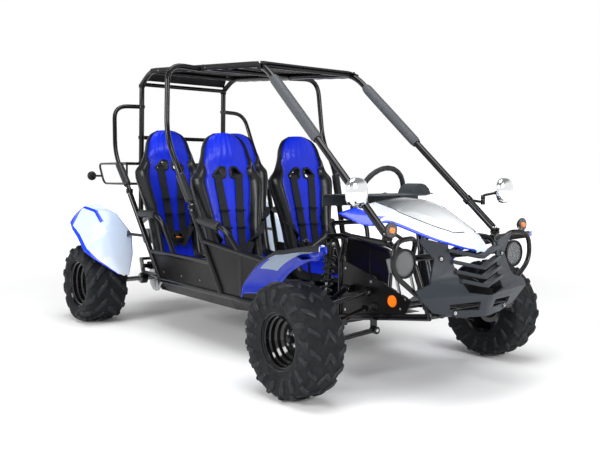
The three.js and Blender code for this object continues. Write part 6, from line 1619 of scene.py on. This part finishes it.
    def harness(self) -> list:
        """Shoulder straps out of the slots and down the back, lap straps, locks and the buckle."""
        shapes = []
        top, low = self.t_at(612), self.t_at(150)
        start = self.origin + vec(self.shape.slot[0] - 60, 0, 640)
        for end in (1, -1):
            t = np.concatenate([np.linspace(top, low, 46), np.linspace(low, 0.40, 26)[1:]])
            share = end * np.interp(t, [0.40, low, top], [0.05, 0.24, 0.29])
            body = self.at(t, share, 6.0)
            body[0] += [-2, 0, 4]
            lead = np.array([[start[0], body[0][1], start[2] - 4],
                             [start[0] + 34, body[0][1], start[2] - 10]])
            path = spline(np.concatenate([lead, body[::3], body[-1:]]), 90)
            out = np.tile(vec(1, 0, 0.35), (len(path), 1))
            shapes.append(self.ribbon(path, out, 46))
            for z in (430, 340):
                t_here = self.t_at(z)
                spot = self.at(t_here, end * 0.26, 9.5)
                lean = float(np.interp(t_here, np.linspace(0, 1, self.rows), self.lines[:, 2]))
                shapes.append(block(vec(30, 54, 6), spot, 1, 90 - lean, 1.5))
                shapes.append(block(vec(7, 40, 4), spot + vec(3.2, 0, 0), 2, 90 - lean, 1.0))
            lap = self.at(np.linspace(0.47, 0.36, 30), end * np.linspace(0.98, 0.10, 30), 9.0)
            shapes.append(self.ribbon(lap, np.tile(vec(0.5, 0, 1), (30, 1)), 44))
        centre = self.at(0.385, 0.0, 12.0)
        # The buckle's button wears the amber finish, with its painted glow.
        shapes += [block(vec(58, 46, 16), centre, 1, 8, 3),
                   block(vec(22, 26, 6), centre + vec(-4, 0, 9.5), 3, 8, 2)]
        return shapes

    def build(self) -> None:
        """Makes the seat's padding with its slots, its trim, its harness and its runners."""
        made = self.shop.piece(self.name, "cushion", self.shell(), [BLUE_VINYL, BLACK_VINYL], smooth=75)
        cutter = self.shop.mesh(self.name + "_cutter", joined(self.slots()), [BLACK_PLASTIC], 30)
        hole = made.modifiers.new("slots", "BOOLEAN")
        hole.operation, hole.object, hole.solver = "DIFFERENCE", cutter, "EXACT"
        bpy.context.view_layer.update()
        cut = bpy.data.meshes.new_from_object(made.evaluated_get(bpy.context.evaluated_depsgraph_get()))
        made.modifiers.clear()
        made.data = cut
        made.data.polygons.foreach_set("use_smooth", np.ones(len(cut.polygons), bool))
        cut.set_sharp_from_angle(angle=math.radians(60))
        bpy.data.objects.remove(cutter)
        self.shop.piece(self.name, "trim", self.trim(), [BLACK_VINYL, BLACK_VINYL, BEZEL], True)
        self.shop.piece(self.name, "harness", self.harness(), [BELT, BLACK_PLASTIC, GREY, AMBER],
                        True, smooth=50)
        runners = [block(vec(450, 26, 50), self.origin + vec(-245, end * 86, 25)) for end in (1, -1)]
        self.shop.piece(self.name, "runners", runners, [PAINT], True)


@dataclass
class Seats:
    """The four seats in two rows."""

    shop: Workshop

    def build(self) -> None:
        """Makes each seat."""
        for row, word in enumerate(("front", "rear")):
            for side in Side:
                Seat(self.shop, f"seat_{word}_{side.word}", row, side).build()


# Body panels


@dataclass
class Hood:
    """The painted hood: a crowned shell with blue wings, a parting line and a grey middle by the dash."""

    shop: Workshop
    stations: tuple = (
        (-5, 322, 786, 722, 67), (85, 290, 779, 677, 24), (120, 225, 770, 688, 9), (160, 198, 758, 675, 2),
        (259, 158, 714, 639, 0), (324, 130, 683, 619, 0), (366, 96, 660, 604, 0), (402, 60, 638, 592, 0),
        (424, 38, 624, 588, 0), (420, 24, 580, 576, 0))
    roundness: float = 1.7
    wall: float = 3.5
    rows: int = 100
    columns: int = 97
    seam: tuple = ((-20, 158), (60, 158), (120, 152), (200, 124), (290, 90), (340, 66), (362, 30))
    post: tuple = (302, 84, 572, 658)

    def at(self, t: Points, share: Points, lift: float = 0.0) -> Points:
        """Points of the shell: the crown falls to the edge by a power of the share, and the rear edge
        sweeps back by its square."""
        lines = spline(np.array(self.stations, float), self.rows)
        steps = np.linspace(0, 1, self.rows)
        x, half, crown, edge, back = (np.interp(t, steps, lines[:, k]) for k in range(5))
        share = np.asarray(share, float)
        z = edge + (crown - edge) * (1 - np.abs(share) ** self.roundness)
        return np.stack([x - back * share**2, share * half, z + lift], -1)

    def panels(self, x: Points, y: Points, away: Points) -> Points:
        """Which finish a face wears: blue wings, thin blue edges and the pale centre panel."""
        line = np.array(self.seam, float)
        border = np.interp(x, line[:, 0], line[:, 1], right=0)
        wing = (x < 92) & (away > 0.78)
        edge = (away > 0.955) & (x > 92)
        centre = (y < border) & (x < 362)
        return np.select([wing, edge, centre], [1, 1, 2], 0)

    def build(self) -> None:
        """Makes the shell, its parting line and its two posts."""
        t = np.linspace(0, 1, self.rows)[:, None]
        share = np.linspace(-1, 1, self.columns)[None]
        grid = self.at(t + 0 * share, share + 0 * t)
        made = sheet(grid, 0, flip=True)
        u, w = np.broadcast_arrays((share + 1) / 2, t)
        made.uv = np.stack([u.ravel(), w.ravel()], 1)
        corner = np.array([f[0] for f in made.faces])
        row, column = corner // self.columns, corner % self.columns
        finish = self.panels(grid[row, column, 0], np.abs(grid[row, column, 1]), np.abs(share[0][column]))
        shell = self.shop.piece("hood", "shell", made.wearing(finish),
                                [HOOD, BLUE, HOOD_CENTRE, UNDERSIDE, UNDERSIDE, UNDERSIDE],
                                solid=self.wall, smooth=55)
        shell.modifiers["wall"].material_offset = 3
        lines = spline(np.array(self.stations, float), self.rows)
        trims = []
        for side in (1, -1):
            path = np.array(self.seam, float)
            xs = np.linspace(path[0, 0] + 22, path[-1, 0], 90)
            ys = np.interp(xs, path[:, 0], path[:, 1])
            rising = int(np.argmax(lines[:, 0]))
            ts = np.interp(xs, lines[:rising, 0], np.linspace(0, 1, self.rows)[:rising])
            half = np.interp(ts, np.linspace(0, 1, self.rows), lines[:, 1])
            trims.append(sweep(self.at(ts, side * ys / half, 0.3), 1.9, 6, 0))
        x, y, low, high = self.post
        trims += [rod(vec(x, s * y, low), vec(x, s * y, high), 9, 0) for s in (1, -1)]
        self.shop.piece("hood", "trim", trims, [BLACK_PLASTIC], True)


@dataclass
class Dash:
    """The dash cover with its gauge hump, and a round gauge facing the driver."""

    shop: Workshop

    def build(self) -> None:
        """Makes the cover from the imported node, and the gauge."""
        self.shop.dressed("dash", GREY, 50, 3.0)
        face = vec(-206.5, 225, 790)
        shapes = [turned([(0, 0), (33, 0), (36, 3), (36, 8), (32, 8), (30, 5), (0, 5)], face,
                         vec(-1, 0, 0), 40, 0),
                  turned([(0, 5.2), (29, 5.2), (29, 5.6), (0, 5.6)], face, vec(-1, 0, 0), 36, 1)]
        # The needle wears the amber finish, with its painted glow.
        shapes.append(rod(face + vec(-6.2, 0, 0), face + vec(-6.4, 17, 12), 0.9, 2))
        for y in (-60, 40, 110):
            shapes.append(turned([(0, 0), (9, 0), (9, 5), (6, 8), (0, 8)], vec(-206, y, 772),
                                 vec(-1, 0, 0), 20, 0))
        self.shop.piece("dash", "gauge", shapes, [BLACK_PLASTIC, DIAL, AMBER], True)


@dataclass
class Bumper:
    """The moulded nose with its grille slats, recessed bolts and lower windows."""

    shop: Workshop
    bolts: tuple = ((186, 560), (150, 352))
    levels: tuple = (320, 359, 405, 421, 450, 525, 569, 596, 648)
    fronts: tuple = (453, 462, 478.7, 485.4, 466, 432, 423, 421, 424)
    rake: float = 0.24

    def build(self) -> None:
        """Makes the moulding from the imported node, and its bolts, each square to the raked face."""
        self.shop.dressed("bumper", SLATE, 50, 3.0)
        cup = [(0, -2), (10, -2), (12, 1), (10, 2.5), (7, 0.5), (0, 0.5)]
        shapes = []
        for side in (1, -1):
            out = vec(1, side * self.rake, 0)
            for y, z in self.bolts:
                front = float(np.interp(z, self.levels, self.fronts))
                spot = vec(front - self.rake * y + 1, side * y, z)
                shapes += [turned(cup, spot, out, 24, 1), hex_bolt(spot + vec(0.5, 0, 0), out, 5, 0)]
        self.shop.piece("bumper", "bolts", shapes, [BOLT, BLACK_PLASTIC], True)


@dataclass
class Fenders:
    """The four fenders: narrow arched shells in front and faceted shells behind."""

    shop: Workshop
    tubes: TubeSizes
    profile: tuple = ((205, 598, 616), (100, 588, 548), (-10, 569, 476), (-84, 556, 476), (-200, 500, 476),
                      (-290, 420, 476), (-330, 360, 476))
    outer: float = 646.0
    middle: float = 561.0
    tilt: float = 0.2
    lip: float = 16.0
    front_rows: int = 72
    rear_rows: int = 56
    grid: tuple = (
        ((-1722, 515, 292), (-1722, 545, 290), (-1730, 580, 302)),
        ((-1766, 470, 410), (-1756, 590, 404), (-1766, 704, 392)),
        ((-1815, 452, 527), (-1830, 600, 548), (-1812, 750, 438)),
        ((-1885, 520, 648), (-1920, 632, 668), (-1910, 750, 510)),
        ((-1950, 604, 702), (-2000, 672, 688), (-1988, 752, 556)),
        ((-2066, 642, 684), (-2074, 690, 650), (-2046, 742, 592)))

    def shell(self, node: str, surface: Surface, smooth: float) -> None:
        """A moulded shell 4 mm thick, painted above and bare black plastic beneath."""
        made = self.shop.piece(node, "shell", surface, [FENDER, BLUE, UNDERSIDE, UNDERSIDE, UNDERSIDE],
                               solid=4.0, smooth=smooth)
        made.modifiers["wall"].material_offset = 2

    def front(self, side: Side) -> None:
        """A front fender: an arch carried across and tilted outwards.

        Its inner edge is drawn in towards the front, and its outer flange turns down by a square of the
        share. It is blue, with a white field on top and a white flange before the wheel.
        """
        s = side.value
        arch = spline(np.array(self.profile, float), self.front_rows)
        share = np.array([-1, -0.995, -0.975, -0.94, -0.9, *np.linspace(-0.85, 0.85, 19), 0.9, 0.94,
                          0.965, 0.985, 1])
        away = np.abs(share)
        drop = np.where(away > 0.9, ((away - 0.9) / 0.1) ** 2 * self.lip, 0) - 8 * (1 - share**2)
        inner = arch[:, 2:]
        tail = 10 * smoothstep(0.85, 1.0, np.linspace(0, 1, self.front_rows))[:, None]
        y = (inner + self.outer) / 2 + share[None] * ((self.outer - inner) / 2 - tail)
        z = arch[:, 1:2] - drop[None] + (y - self.middle) * self.tilt
        x = np.broadcast_to(arch[:, :1], z.shape)
        made = sheet(np.stack([x, s * y, z], -1), 0, flip=s > 0)
        corner = np.array([f[0] for f in made.faces])
        centre, along = share[corner % len(share)], arch[corner // len(share), 0]
        flange = centre > 0.88
        finish = np.where(flange & (along > -110), 0, 1)
        finish = np.where((centre > -0.55) & (centre < 0.55) & (along > -230), 0, finish)
        node = f"front_fender_{side.word}"
        self.shell(node, made.wearing(finish), 60)
        stay = [rod(vec(-91, s * 367, 622.5), vec(-91, s * 490, 554), 9),
                block(vec(60, 40, 4), vec(-91, s * 500, 546), 0, 14),
                hex_bolt(vec(-110, s * 520, 562), UPWARD, 5, 1),
                hex_bolt(vec(-70, s * 520, 566), UPWARD, 5, 1)]
        self.shop.piece(node, "stay", stay, [PAINT, BOLT], True)

    def rear(self, side: Side) -> None:
        """A rear fender: flat facets between three broken lines, with a blue rim and a blue crest on top.

        Each line runs straight between its corners, and each facet swells a little by a sine across it.
        """
        s = side.value
        corners = np.array(self.grid, float)
        steps, knots = np.linspace(0, len(corners) - 1, self.rear_rows), np.arange(len(corners))
        lines = [np.stack([np.interp(steps, knots, corners[:, k, axis]) for axis in range(3)], 1)
                 for k in range(3)]
        share = np.concatenate([[0, 0.035], np.linspace(0.12, 1, 12)])[None, :, None]
        inner = lines[0][:, None] * (1 - share) + lines[1][:, None] * share
        outer = lines[2][:, None] * (1 - share) + lines[1][:, None] * share
        grid = np.concatenate([inner, outer[:, -2::-1]], 1)
        columns = grid.shape[1]
        across = np.linspace(-1, 1, columns)
        grid = grid + UPWARD * (4 * np.sin(np.abs(across) * math.pi))[None, :, None]
        grid[..., 1] *= s
        made = sheet(grid, 0, flip=s < 0)
        corner = np.array([f[0] for f in made.faces])
        row, column = corner // columns, corner % columns
        along, out = row / (self.rear_rows - 1), column / (columns - 2)
        rim = (column < 1) | (column > columns - 4) | (row > self.rear_rows - 4) | (row < 1)
        crest = ((along > 0.84) & (out > 0.2)) | ((np.abs(out - 0.5) < 0.05) & (along > 0.5))
        made.uv = np.stack([np.tile(np.linspace(0.3, 0.7, columns), self.rear_rows),
                            np.repeat(np.linspace(0, 1, self.rear_rows), columns)], 1)
        node = f"rear_fender_{side.word}"
        self.shell(node, made.wearing(np.where(rim | crest, 1, 0)), 12)
        end = vec(-1808, s * 476, 527)
        start = at_height(self.tubes.at(s, self.tubes.sill[0]), self.tubes.at(s, self.tubes.c_top), end[2])
        stay = [rod(start + unit(end - start) * 15, end, 9),
                disc(end + vec(0, s * 4, 3), vec(0, s, 0.3), 5, 20),
                hex_bolt(end + vec(0, s * 2, 12), vec(0, -s, 0), 5, 1)]
        self.shop.piece(node, "stay", stay, [PAINT, BOLT], True)

    def build(self) -> None:
        """Makes all four."""
        for side in Side:
            self.front(side)
            self.rear(side)


@dataclass
class Canopy:
    """The stretched roof cloth, wrapped over the side rails, with a rear flap that hangs down the bend."""

    shop: Workshop
    tubes: TubeSizes
    rows: int = 131
    columns: int = 61
    front_x: float = -664.0
    mid_x: float = -1240.0
    half: float = 318.0
    lap_share: float = 0.94
    flap: float = 112.0
    flap_top: float = 226.0
    flap_low: float = 290.0
    hem: float = 3.2

    def grid(self) -> tuple:
        """The cloth's points, and its two unit coordinates along and across.

        On the roof it follows the rails, sags by a product of two sines and laps down over them; on the
        flap it narrows at the bend, which leaves an open corner beside each rail, and widens to the hem.
        """
        bend_x = self.tubes.pillar[2][0]
        s = np.linspace(0, 1, self.rows)
        x = self.front_x - s * (self.front_x - bend_x + self.flap)
        fall = np.clip((bend_x + 24 - x) / (self.flap + 24), 0, 1)
        roof = (fall == 0)[:, None]
        rail = self.tubes.rail_z(x) + self.tubes.cage + 2 * GAP + 1.5
        share = np.linspace(-1, 1, self.columns)
        away = np.abs(share)[None]
        reach = np.where(roof, self.half * np.minimum(away / self.lap_share, 1),
                         (self.flap_top + (self.flap_low - self.flap_top) * fall ** 0.8)[:, None] * away)
        edge = np.maximum(away - self.lap_share, 0) / (1 - self.lap_share) * roof
        span = np.where(x > self.mid_x, (self.front_x - x) / (self.front_x - self.mid_x),
                        (self.mid_x - x) / (self.mid_x - bend_x))
        sag = 9 * np.sin(np.clip(span, 0, 1) * math.pi)[:, None] * np.cos(share * math.pi / 2)[None] ** 0.8
        ripple = 0.9 * np.sin(x / 17)[:, None] * np.exp(-(((1 - away) / 0.12) ** 2))
        pull = 2.2 * np.sin(fall * math.pi)[:, None] * np.cos(share * 9)[None]
        lap = 26 * edge ** 1.4 + 3.5 * (1 - np.cos(np.clip((away - 0.80) / 0.14, 0, 1) * math.pi)) * roof
        roll = 12 * np.exp(-((s / 0.012) ** 2))[:, None]
        z = rail[:, None] - sag + ripple - lap - roll + pull
        y = np.sign(share)[None] * (reach - 6 * edge**2)
        return np.stack([np.broadcast_to(x[:, None], z.shape), y, z], -1), s, share

    def build(self) -> None:
        """Makes the cloth, and the rolled hems and corner ties that hold it."""
        grid, s, share = self.grid()
        made = sheet(grid, 0)
        made.uv = np.stack([np.tile(share, self.rows) * 0.34, np.repeat(s, self.columns) * 1.45], 1)
        cloth = self.shop.piece("canopy", "cloth", made, [CANVAS], smooth=75, solid=2.0)
        lengths = [np.linalg.norm(np.diff(grid, axis=k), axis=-1).sum(k).mean() for k in (0, 1)]
        hem = sweep(grid[-1][::2] + vec(0, 0, -1), self.hem, 8)
        front = sweep(grid[0][::2] + vec(2, 0, -1), self.hem, 8)
        sides = [sweep(grid[:-16:3, column] + vec(0, 0, -1.5), 2.2, 6) for column in (0, -1)]
        ties = []
        for side in (1, -1):
            post = vec(-1985, side * 296, 1430)
            ties += [turned([(17, -9), (19.5, -9), (19.5, 9), (17, 9)], post, vec(0.05, 0, 1), 24),
                     rod(grid[-1][-1 if side > 0 else 0] + vec(2, -side * 6, 0),
                         post + vec(12, side * -10, 2), 4.2)]
        self.shop.piece("canopy", "hems", [hem, front, *sides, *ties], [CANVAS], True)


# Lamps, mirrors and the rack


@dataclass
class Lamps:
    """Two round headlamps: a black bowl, a bezel, a ring of diodes and a clear lens."""

    shop: Workshop
    centre: tuple = (338, 335, 547)
    clamp: tuple = (300, 287, 547)
    diodes: tuple = ((1, 0.0), (7, 16.0), (13, 33.0))

    def build(self) -> None:
        """Makes both."""
        for side in Side:
            s = side.value
            at, out = vec(self.centre[0], s * self.centre[1], self.centre[2]), AHEAD
            bowl = [(0, -50), (26, -50), (32, -47), (50, -30), (57, -20), (57, -1.5), (55, 0), (50.5, 0),
                    (50, -3), (49.5, -10), (30, -16), (0, -16)]
            lens = [(0, -2.2), (30, -2.9), (49.5, -5.5), (49.5, -7), (30, -5), (0, -4.4)]
            plate = [(0, -16.4), (49.2, -16.4), (49.2, -14), (0, -14)]
            shapes = [turned(bowl, at, out, 48), turned(lens, at, out, 40, 1), turned(plate, at, out, 40, 5)]
            for count, ring in self.diodes:
                for i in range(count):
                    a = 2 * math.pi * i / count + ring
                    spot = at + vec(-15.5, ring * math.cos(a), ring * math.sin(a))
                    shapes.append(turned([(3.4, 1), (6.6, 1), (6.8, 4.6), (5.6, 5.4), (4.4, 5), (3.4, 2)],
                                         spot, out, 14, 2))
            shapes.append(turned([(41.5, -16), (49.4, -11), (49.4, -8), (40.5, -13.5)], at, out, 48, 3))
            ribs = [disc(at + out * x, out, 3, 57.8 - 0.5 * i) for i, x in enumerate((-8, -16))]
            foot = vec(self.clamp[0], s * self.clamp[1], self.clamp[2])
            clamp = [block(vec(30, 44, 28), foot, 0, 0, 3), hex_bolt(foot + vec(0, 0, 15), UPWARD, 5.5, 4)]
            self.shop.piece(f"headlamp_{side.word}", "bowl", shapes + ribs + clamp,
                            [BLACK_PLASTIC, CLEAR, LED, CHROME, BOLT, REFLECTOR], smooth=42)


@dataclass
class Mirrors:
    """Two round-cornered mirrors on bent stems; their backs face forwards."""

    shop: Workshop
    tubes: TubeSizes
    head: tuple = (196, 452, 814)
    knee_z: float = 792.0
    depth: float = 34.0
    half: tuple = (52, 58)
    profile: tuple = ((0.88, -0.42), (0.93, -0.5), (0.985, -0.46), (1.0, -0.3), (0.985, -0.1), (0.93, 0.12),
                      (0.82, 0.27), (0.6, 0.41), (0.3, 0.49))

    def ring(self, head: Points, share: float, ahead: float) -> Points:
        """A superellipse round the head: a share of the full size, some way in front of its middle."""
        turn = np.linspace(0, 2 * math.pi, 49)[:-1]
        wide, tall = (np.sign(k) * np.abs(k) ** 0.8 for k in (np.cos(turn), np.sin(turn)))
        wide, tall = wide * self.half[0] * share, tall * self.half[1] * share
        return head + np.stack([np.full(48, ahead), wide, tall], 1)

    def build(self) -> None:
        """Makes both: rings for the shell, a flat glass inside its rim, and the stem with its nuts."""
        for side in Side:
            foot, head = (self.tubes.at(side.value, p) for p in (self.tubes.mirror_boss, self.head))
            knee = vec(foot[0], foot[1], self.knee_z)
            shell = np.stack([self.ring(head, share, d * self.depth) for share, d in self.profile])
            glass = np.stack([self.ring(head, 0.87, -14.6 + d) for d in (-1.0, 0.4)])
            stem = tube([foot + vec(0, 0, 2), knee, head + vec(4, 0, 0)], 6, 16, 1, 12)
            nuts = [disc(foot + vec(0, 0, 11), UPWARD, 21, 10, 1),
                    disc(mix(knee, head, 0.62), head - knee, 22, 9, 1)]
            self.shop.piece(f"mirror_{side.word}", "shell", [closed(shell), closed(glass, 2), stem, *nuts],
                            [CHROME, PAINT, STEEL], smooth=50)


@dataclass
class CargoRack:
    """The thin tube rack behind the cage, its clamps and the two rear signals on stalks."""

    shop: Workshop
    tubes: TubeSizes
    half: float = 418.0
    front_x: float = -1950.0
    rear_x: float = -2379.0
    low_rear_x: float = -2300.0
    top_z: float = 950.0
    low_z: float = 822.0
    lamp_z: float = 871.0

    def side(self, s: int) -> list:
        """One side rail with its upright, signal and clamps."""
        r = self.tubes.rack
        points = [vec(self.front_x, s * self.half, self.top_z), vec(self.rear_x, s * self.half, self.top_z),
                  vec(self.low_rear_x, s * self.half, self.low_z),
                  vec(self.front_x, s * self.half, self.low_z)]
        shapes = [tube(points, r, 42, 0, 14), rod(points[3], points[0], r * 0.9)]
        centre = vec(-2418 + 17, s * (self.half + 42), self.lamp_z)
        root = at_height(points[1], points[2], self.lamp_z)
        shapes.append(tube([root, vec(root[0] - 33.6, s * (self.half + 17), self.lamp_z), centre],
                           7, 14, 0, 12))
        egg = [(0, 17), (12, 16.4), (22, 13), (28, 7), (30, 1), (29.5, -5), (28, -7)]
        lens = [(27.5, -6.5), (26, -11), (18, -15.3), (8, -17), (0, -17.2)]
        shapes += [turned(egg + [(0, -6)], centre, AHEAD, 32, 2),
                   turned([(0, -5)] + lens, centre, AHEAD, 32, 3)]
        foot, top = (self.tubes.at(s, p) for p in self.tubes.rear_post)
        for z in (self.top_z, self.low_z):
            post = at_height(foot, top, z)
            arm = [post + vec(12, 0, 0), vec(self.front_x, post[1], z)]
            shapes += [rod(arm[0], arm[1], 10), disc(post, UPWARD, 24, 19.4),
                       hex_bolt(post + vec(0, s * 19, 0), vec(0, s, 0), 4.5, 1)]
        return shapes

    def build(self) -> None:
        """Makes the rack as one piece."""
        r = self.tubes.rack * 0.9
        rods = [(self.front_x + (self.low_rear_x - self.front_x) * k / 4, self.low_z) for k in (1, 2, 3)]
        rods += [(self.front_x, self.top_z), (self.front_x, self.low_z), (self.rear_x + 64, self.top_z),
                 (self.low_rear_x + 40, self.low_z)]
        across = [crossbar(x, self.half, z, r) for x, z in rods]
        self.shop.piece("cargo_rack", "rods", both(self.side) + across, [PAINT, BOLT, BLACK_PLASTIC, CLEAR])


@dataclass
class Machinery:
    """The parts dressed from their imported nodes: the drive, the floor, the pedals and the lever."""

    shop: Workshop

    def build(self) -> None:
        """Gives each node its finish, and the engine its bolts."""
        plan = (
            ("floor_frame", SHEET, 30, 0.0), ("engine", ALLOY, 40, 2.0), ("swingarm", PAINT, 66, 0.0),
            ("rear_axle", STEEL, 40, 0.0), ("drive_sprocket", STEEL, 30, 0.0), ("chain", STEEL, 30, 0.5),
            ("rear_shock_body", PAINT, 50, 1.5), ("rear_shock_rod", CHROME, 50, 0.0),
            ("throttle_pedal", PEDAL, 40, 1.0), ("brake_pedal", PEDAL, 40, 1.0),
            ("gear_lever", KNOB, 60, 0.0))
        for node, finish, smooth, bevel in plan:
            self.shop.dressed(node, finish, smooth, bevel)
        bolts = [hex_bolt(vec(-2025 + a * 100, 111, 450 + b * 74), ACROSS, 6)
                 for a in (-1, 0, 1) for b in (-1, 1)]
        bolts += [hex_bolt(vec(-1904.5, -15 + a * 90, 450 + b * 70), AHEAD, 6)
                  for a in (-1, 1) for b in (-1, 1)]
        self.shop.piece("engine", "bolts", bolts, [BOLT], True)


# Studio


@dataclass
class Studio:
    """A pale floor, three soft boxes under a pale world, and the camera."""

    where: tuple = (3.24603, -2.33463, 0.87617)
    yaw: float = 52.37041
    pitch: float = -3.81344
    roll: float = 0.27585
    lens: float = 44.10
    extent: float = 60.0
    paper: tuple = (0.95, 0.952, 0.955, 1)
    glow: tuple = (("From Min", 1.5), ("From Max", 7.0), ("To Min", 0.0), ("To Max", 0.85))
    sky: tuple = ((0.30, 1.0), (0.52, 0.30))
    boxes: tuple = (("top_box", (0.6, -0.6, 5.2), (0, 0, 0.4), 3.4, 190),
                    ("right_box", (0.6, -5.0, 2.6), (0, 0, 0.6), 1.8, 150),
                    ("front_box", (5.4, 0.6, 2.4), (0.3, 0, 0.6), 1.8, 110))

    def area(self, name: str, where: tuple, target: tuple, size: float, power: float) -> None:
        """A square soft box that looks at a target."""
        light = bpy.data.lights.new(name, "AREA")
        light.shape, light.size, light.energy = "SQUARE", size, power
        made = placed(name, light)
        made.location = where
        made.rotation_euler = (Vector(target) - Vector(where)).to_track_quat("-Z", "Y").to_euler()

    def floor(self) -> None:
        """A wide white floor that grows brighter with the distance, as a lit backdrop would."""
        data = bpy.data.meshes.new("studio_floor")
        corners = [(x * self.extent, y * self.extent, 0) for x, y in ((-1, -1), (1, -1), (1, 1), (-1, 1))]
        data.from_pydata(corners, [], [(0, 1, 2, 3)])
        material = bpy.data.materials.new("studio_paper")
        material.use_nodes = True
        shader = material.node_tree.nodes["Principled BSDF"]
        shader.inputs["Base Color"].default_value = self.paper
        shader.inputs["Roughness"].default_value = 0.9
        shader.inputs["Specular IOR Level"].default_value = 0.1
        tree = material.node_tree
        place, length, ramp = (tree.nodes.new(k)
                               for k in ("ShaderNodeTexCoord", "ShaderNodeVectorMath", "ShaderNodeMapRange"))
        length.operation, ramp.interpolation_type = "LENGTH", "SMOOTHSTEP"
        tree.links.new(place.outputs["Object"], length.inputs[0])
        tree.links.new(length.outputs["Value"], ramp.inputs["Value"])
        for name, value in self.glow:
            ramp.inputs[name].default_value = value
        shader.inputs["Emission Color"].default_value = (1, 1, 1, 1)
        tree.links.new(ramp.outputs["Result"], shader.inputs["Emission Strength"])
        data.materials.append(material)
        placed("studio_floor", data)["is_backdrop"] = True

    def world(self) -> None:
        """A world that is white below and grey above, shown without a tone curve."""
        world = bpy.data.worlds.new("studio_world")
        bpy.context.scene.world = world
        world.use_nodes = True
        tree, back = world.node_tree, world.node_tree.nodes["Background"]
        place, split, ramp = (tree.nodes.new(k)
                              for k in ("ShaderNodeTexCoord", "ShaderNodeSeparateXYZ", "ShaderNodeValToRGB"))
        tree.links.new(place.outputs["Generated"], split.inputs[0])
        tree.links.new(split.outputs["Z"], ramp.inputs["Fac"])
        tree.links.new(ramp.outputs["Color"], back.inputs["Color"])
        for stop, (at, tone) in zip(ramp.color_ramp.elements, self.sky):
            stop.position, stop.color = at, (tone, tone, tone, 1)
        back.inputs["Strength"].default_value = 1.0
        bpy.context.scene.view_settings.view_transform = "Standard"

    def camera(self) -> None:
        """The photograph's camera, from its place, its turn and its lens."""
        data = bpy.data.cameras.new("camera")
        data.lens, data.sensor_width, data.clip_end = self.lens, 36.0, 500.0
        data.dof.use_dof = False
        camera = placed("camera", data)
        a, p, r = (math.radians(k) for k in (self.yaw, self.pitch, self.roll))
        forward = vec(-math.sin(a) * math.cos(p), math.cos(a) * math.cos(p), math.sin(p))
        right = vec(math.cos(a), math.sin(a), 0)
        up = np.cross(right, forward)
        right, up = math.cos(r) * right + math.sin(r) * up, -math.sin(r) * right + math.cos(r) * up
        turn = Matrix((tuple(right), tuple(up), tuple(-forward))).transposed()
        camera.matrix_world = Matrix.Translation(self.where) @ turn.to_4x4()
        bpy.context.scene.camera = camera

    def build(self) -> None:
        """Sets the floor, the world, the lights and the camera."""
        self.floor()
        self.world()
        for box in self.boxes:
            self.area(*box)
        self.camera()


def main() -> None:
    """Builds the kart and its studio."""
    logging.basicConfig(level=logging.INFO)
    shop = Workshop()
    tubes = TubeSizes()
    for part in (Wheels(shop), RoofCage(shop, tubes), SideFrames(shop, tubes), RearFrame(shop, tubes),
                 FrontFrame(shop, tubes), Suspension(shop, tubes), Steering(shop, tubes), Seats(shop),
                 Hood(shop), Dash(shop), Bumper(shop), Fenders(shop, tubes), Canopy(shop, tubes), Lamps(shop),
                 Mirrors(shop, tubes), CargoRack(shop, tubes), Machinery(shop), Studio()):
        part.build()


if __name__ == "__main__":
    main()
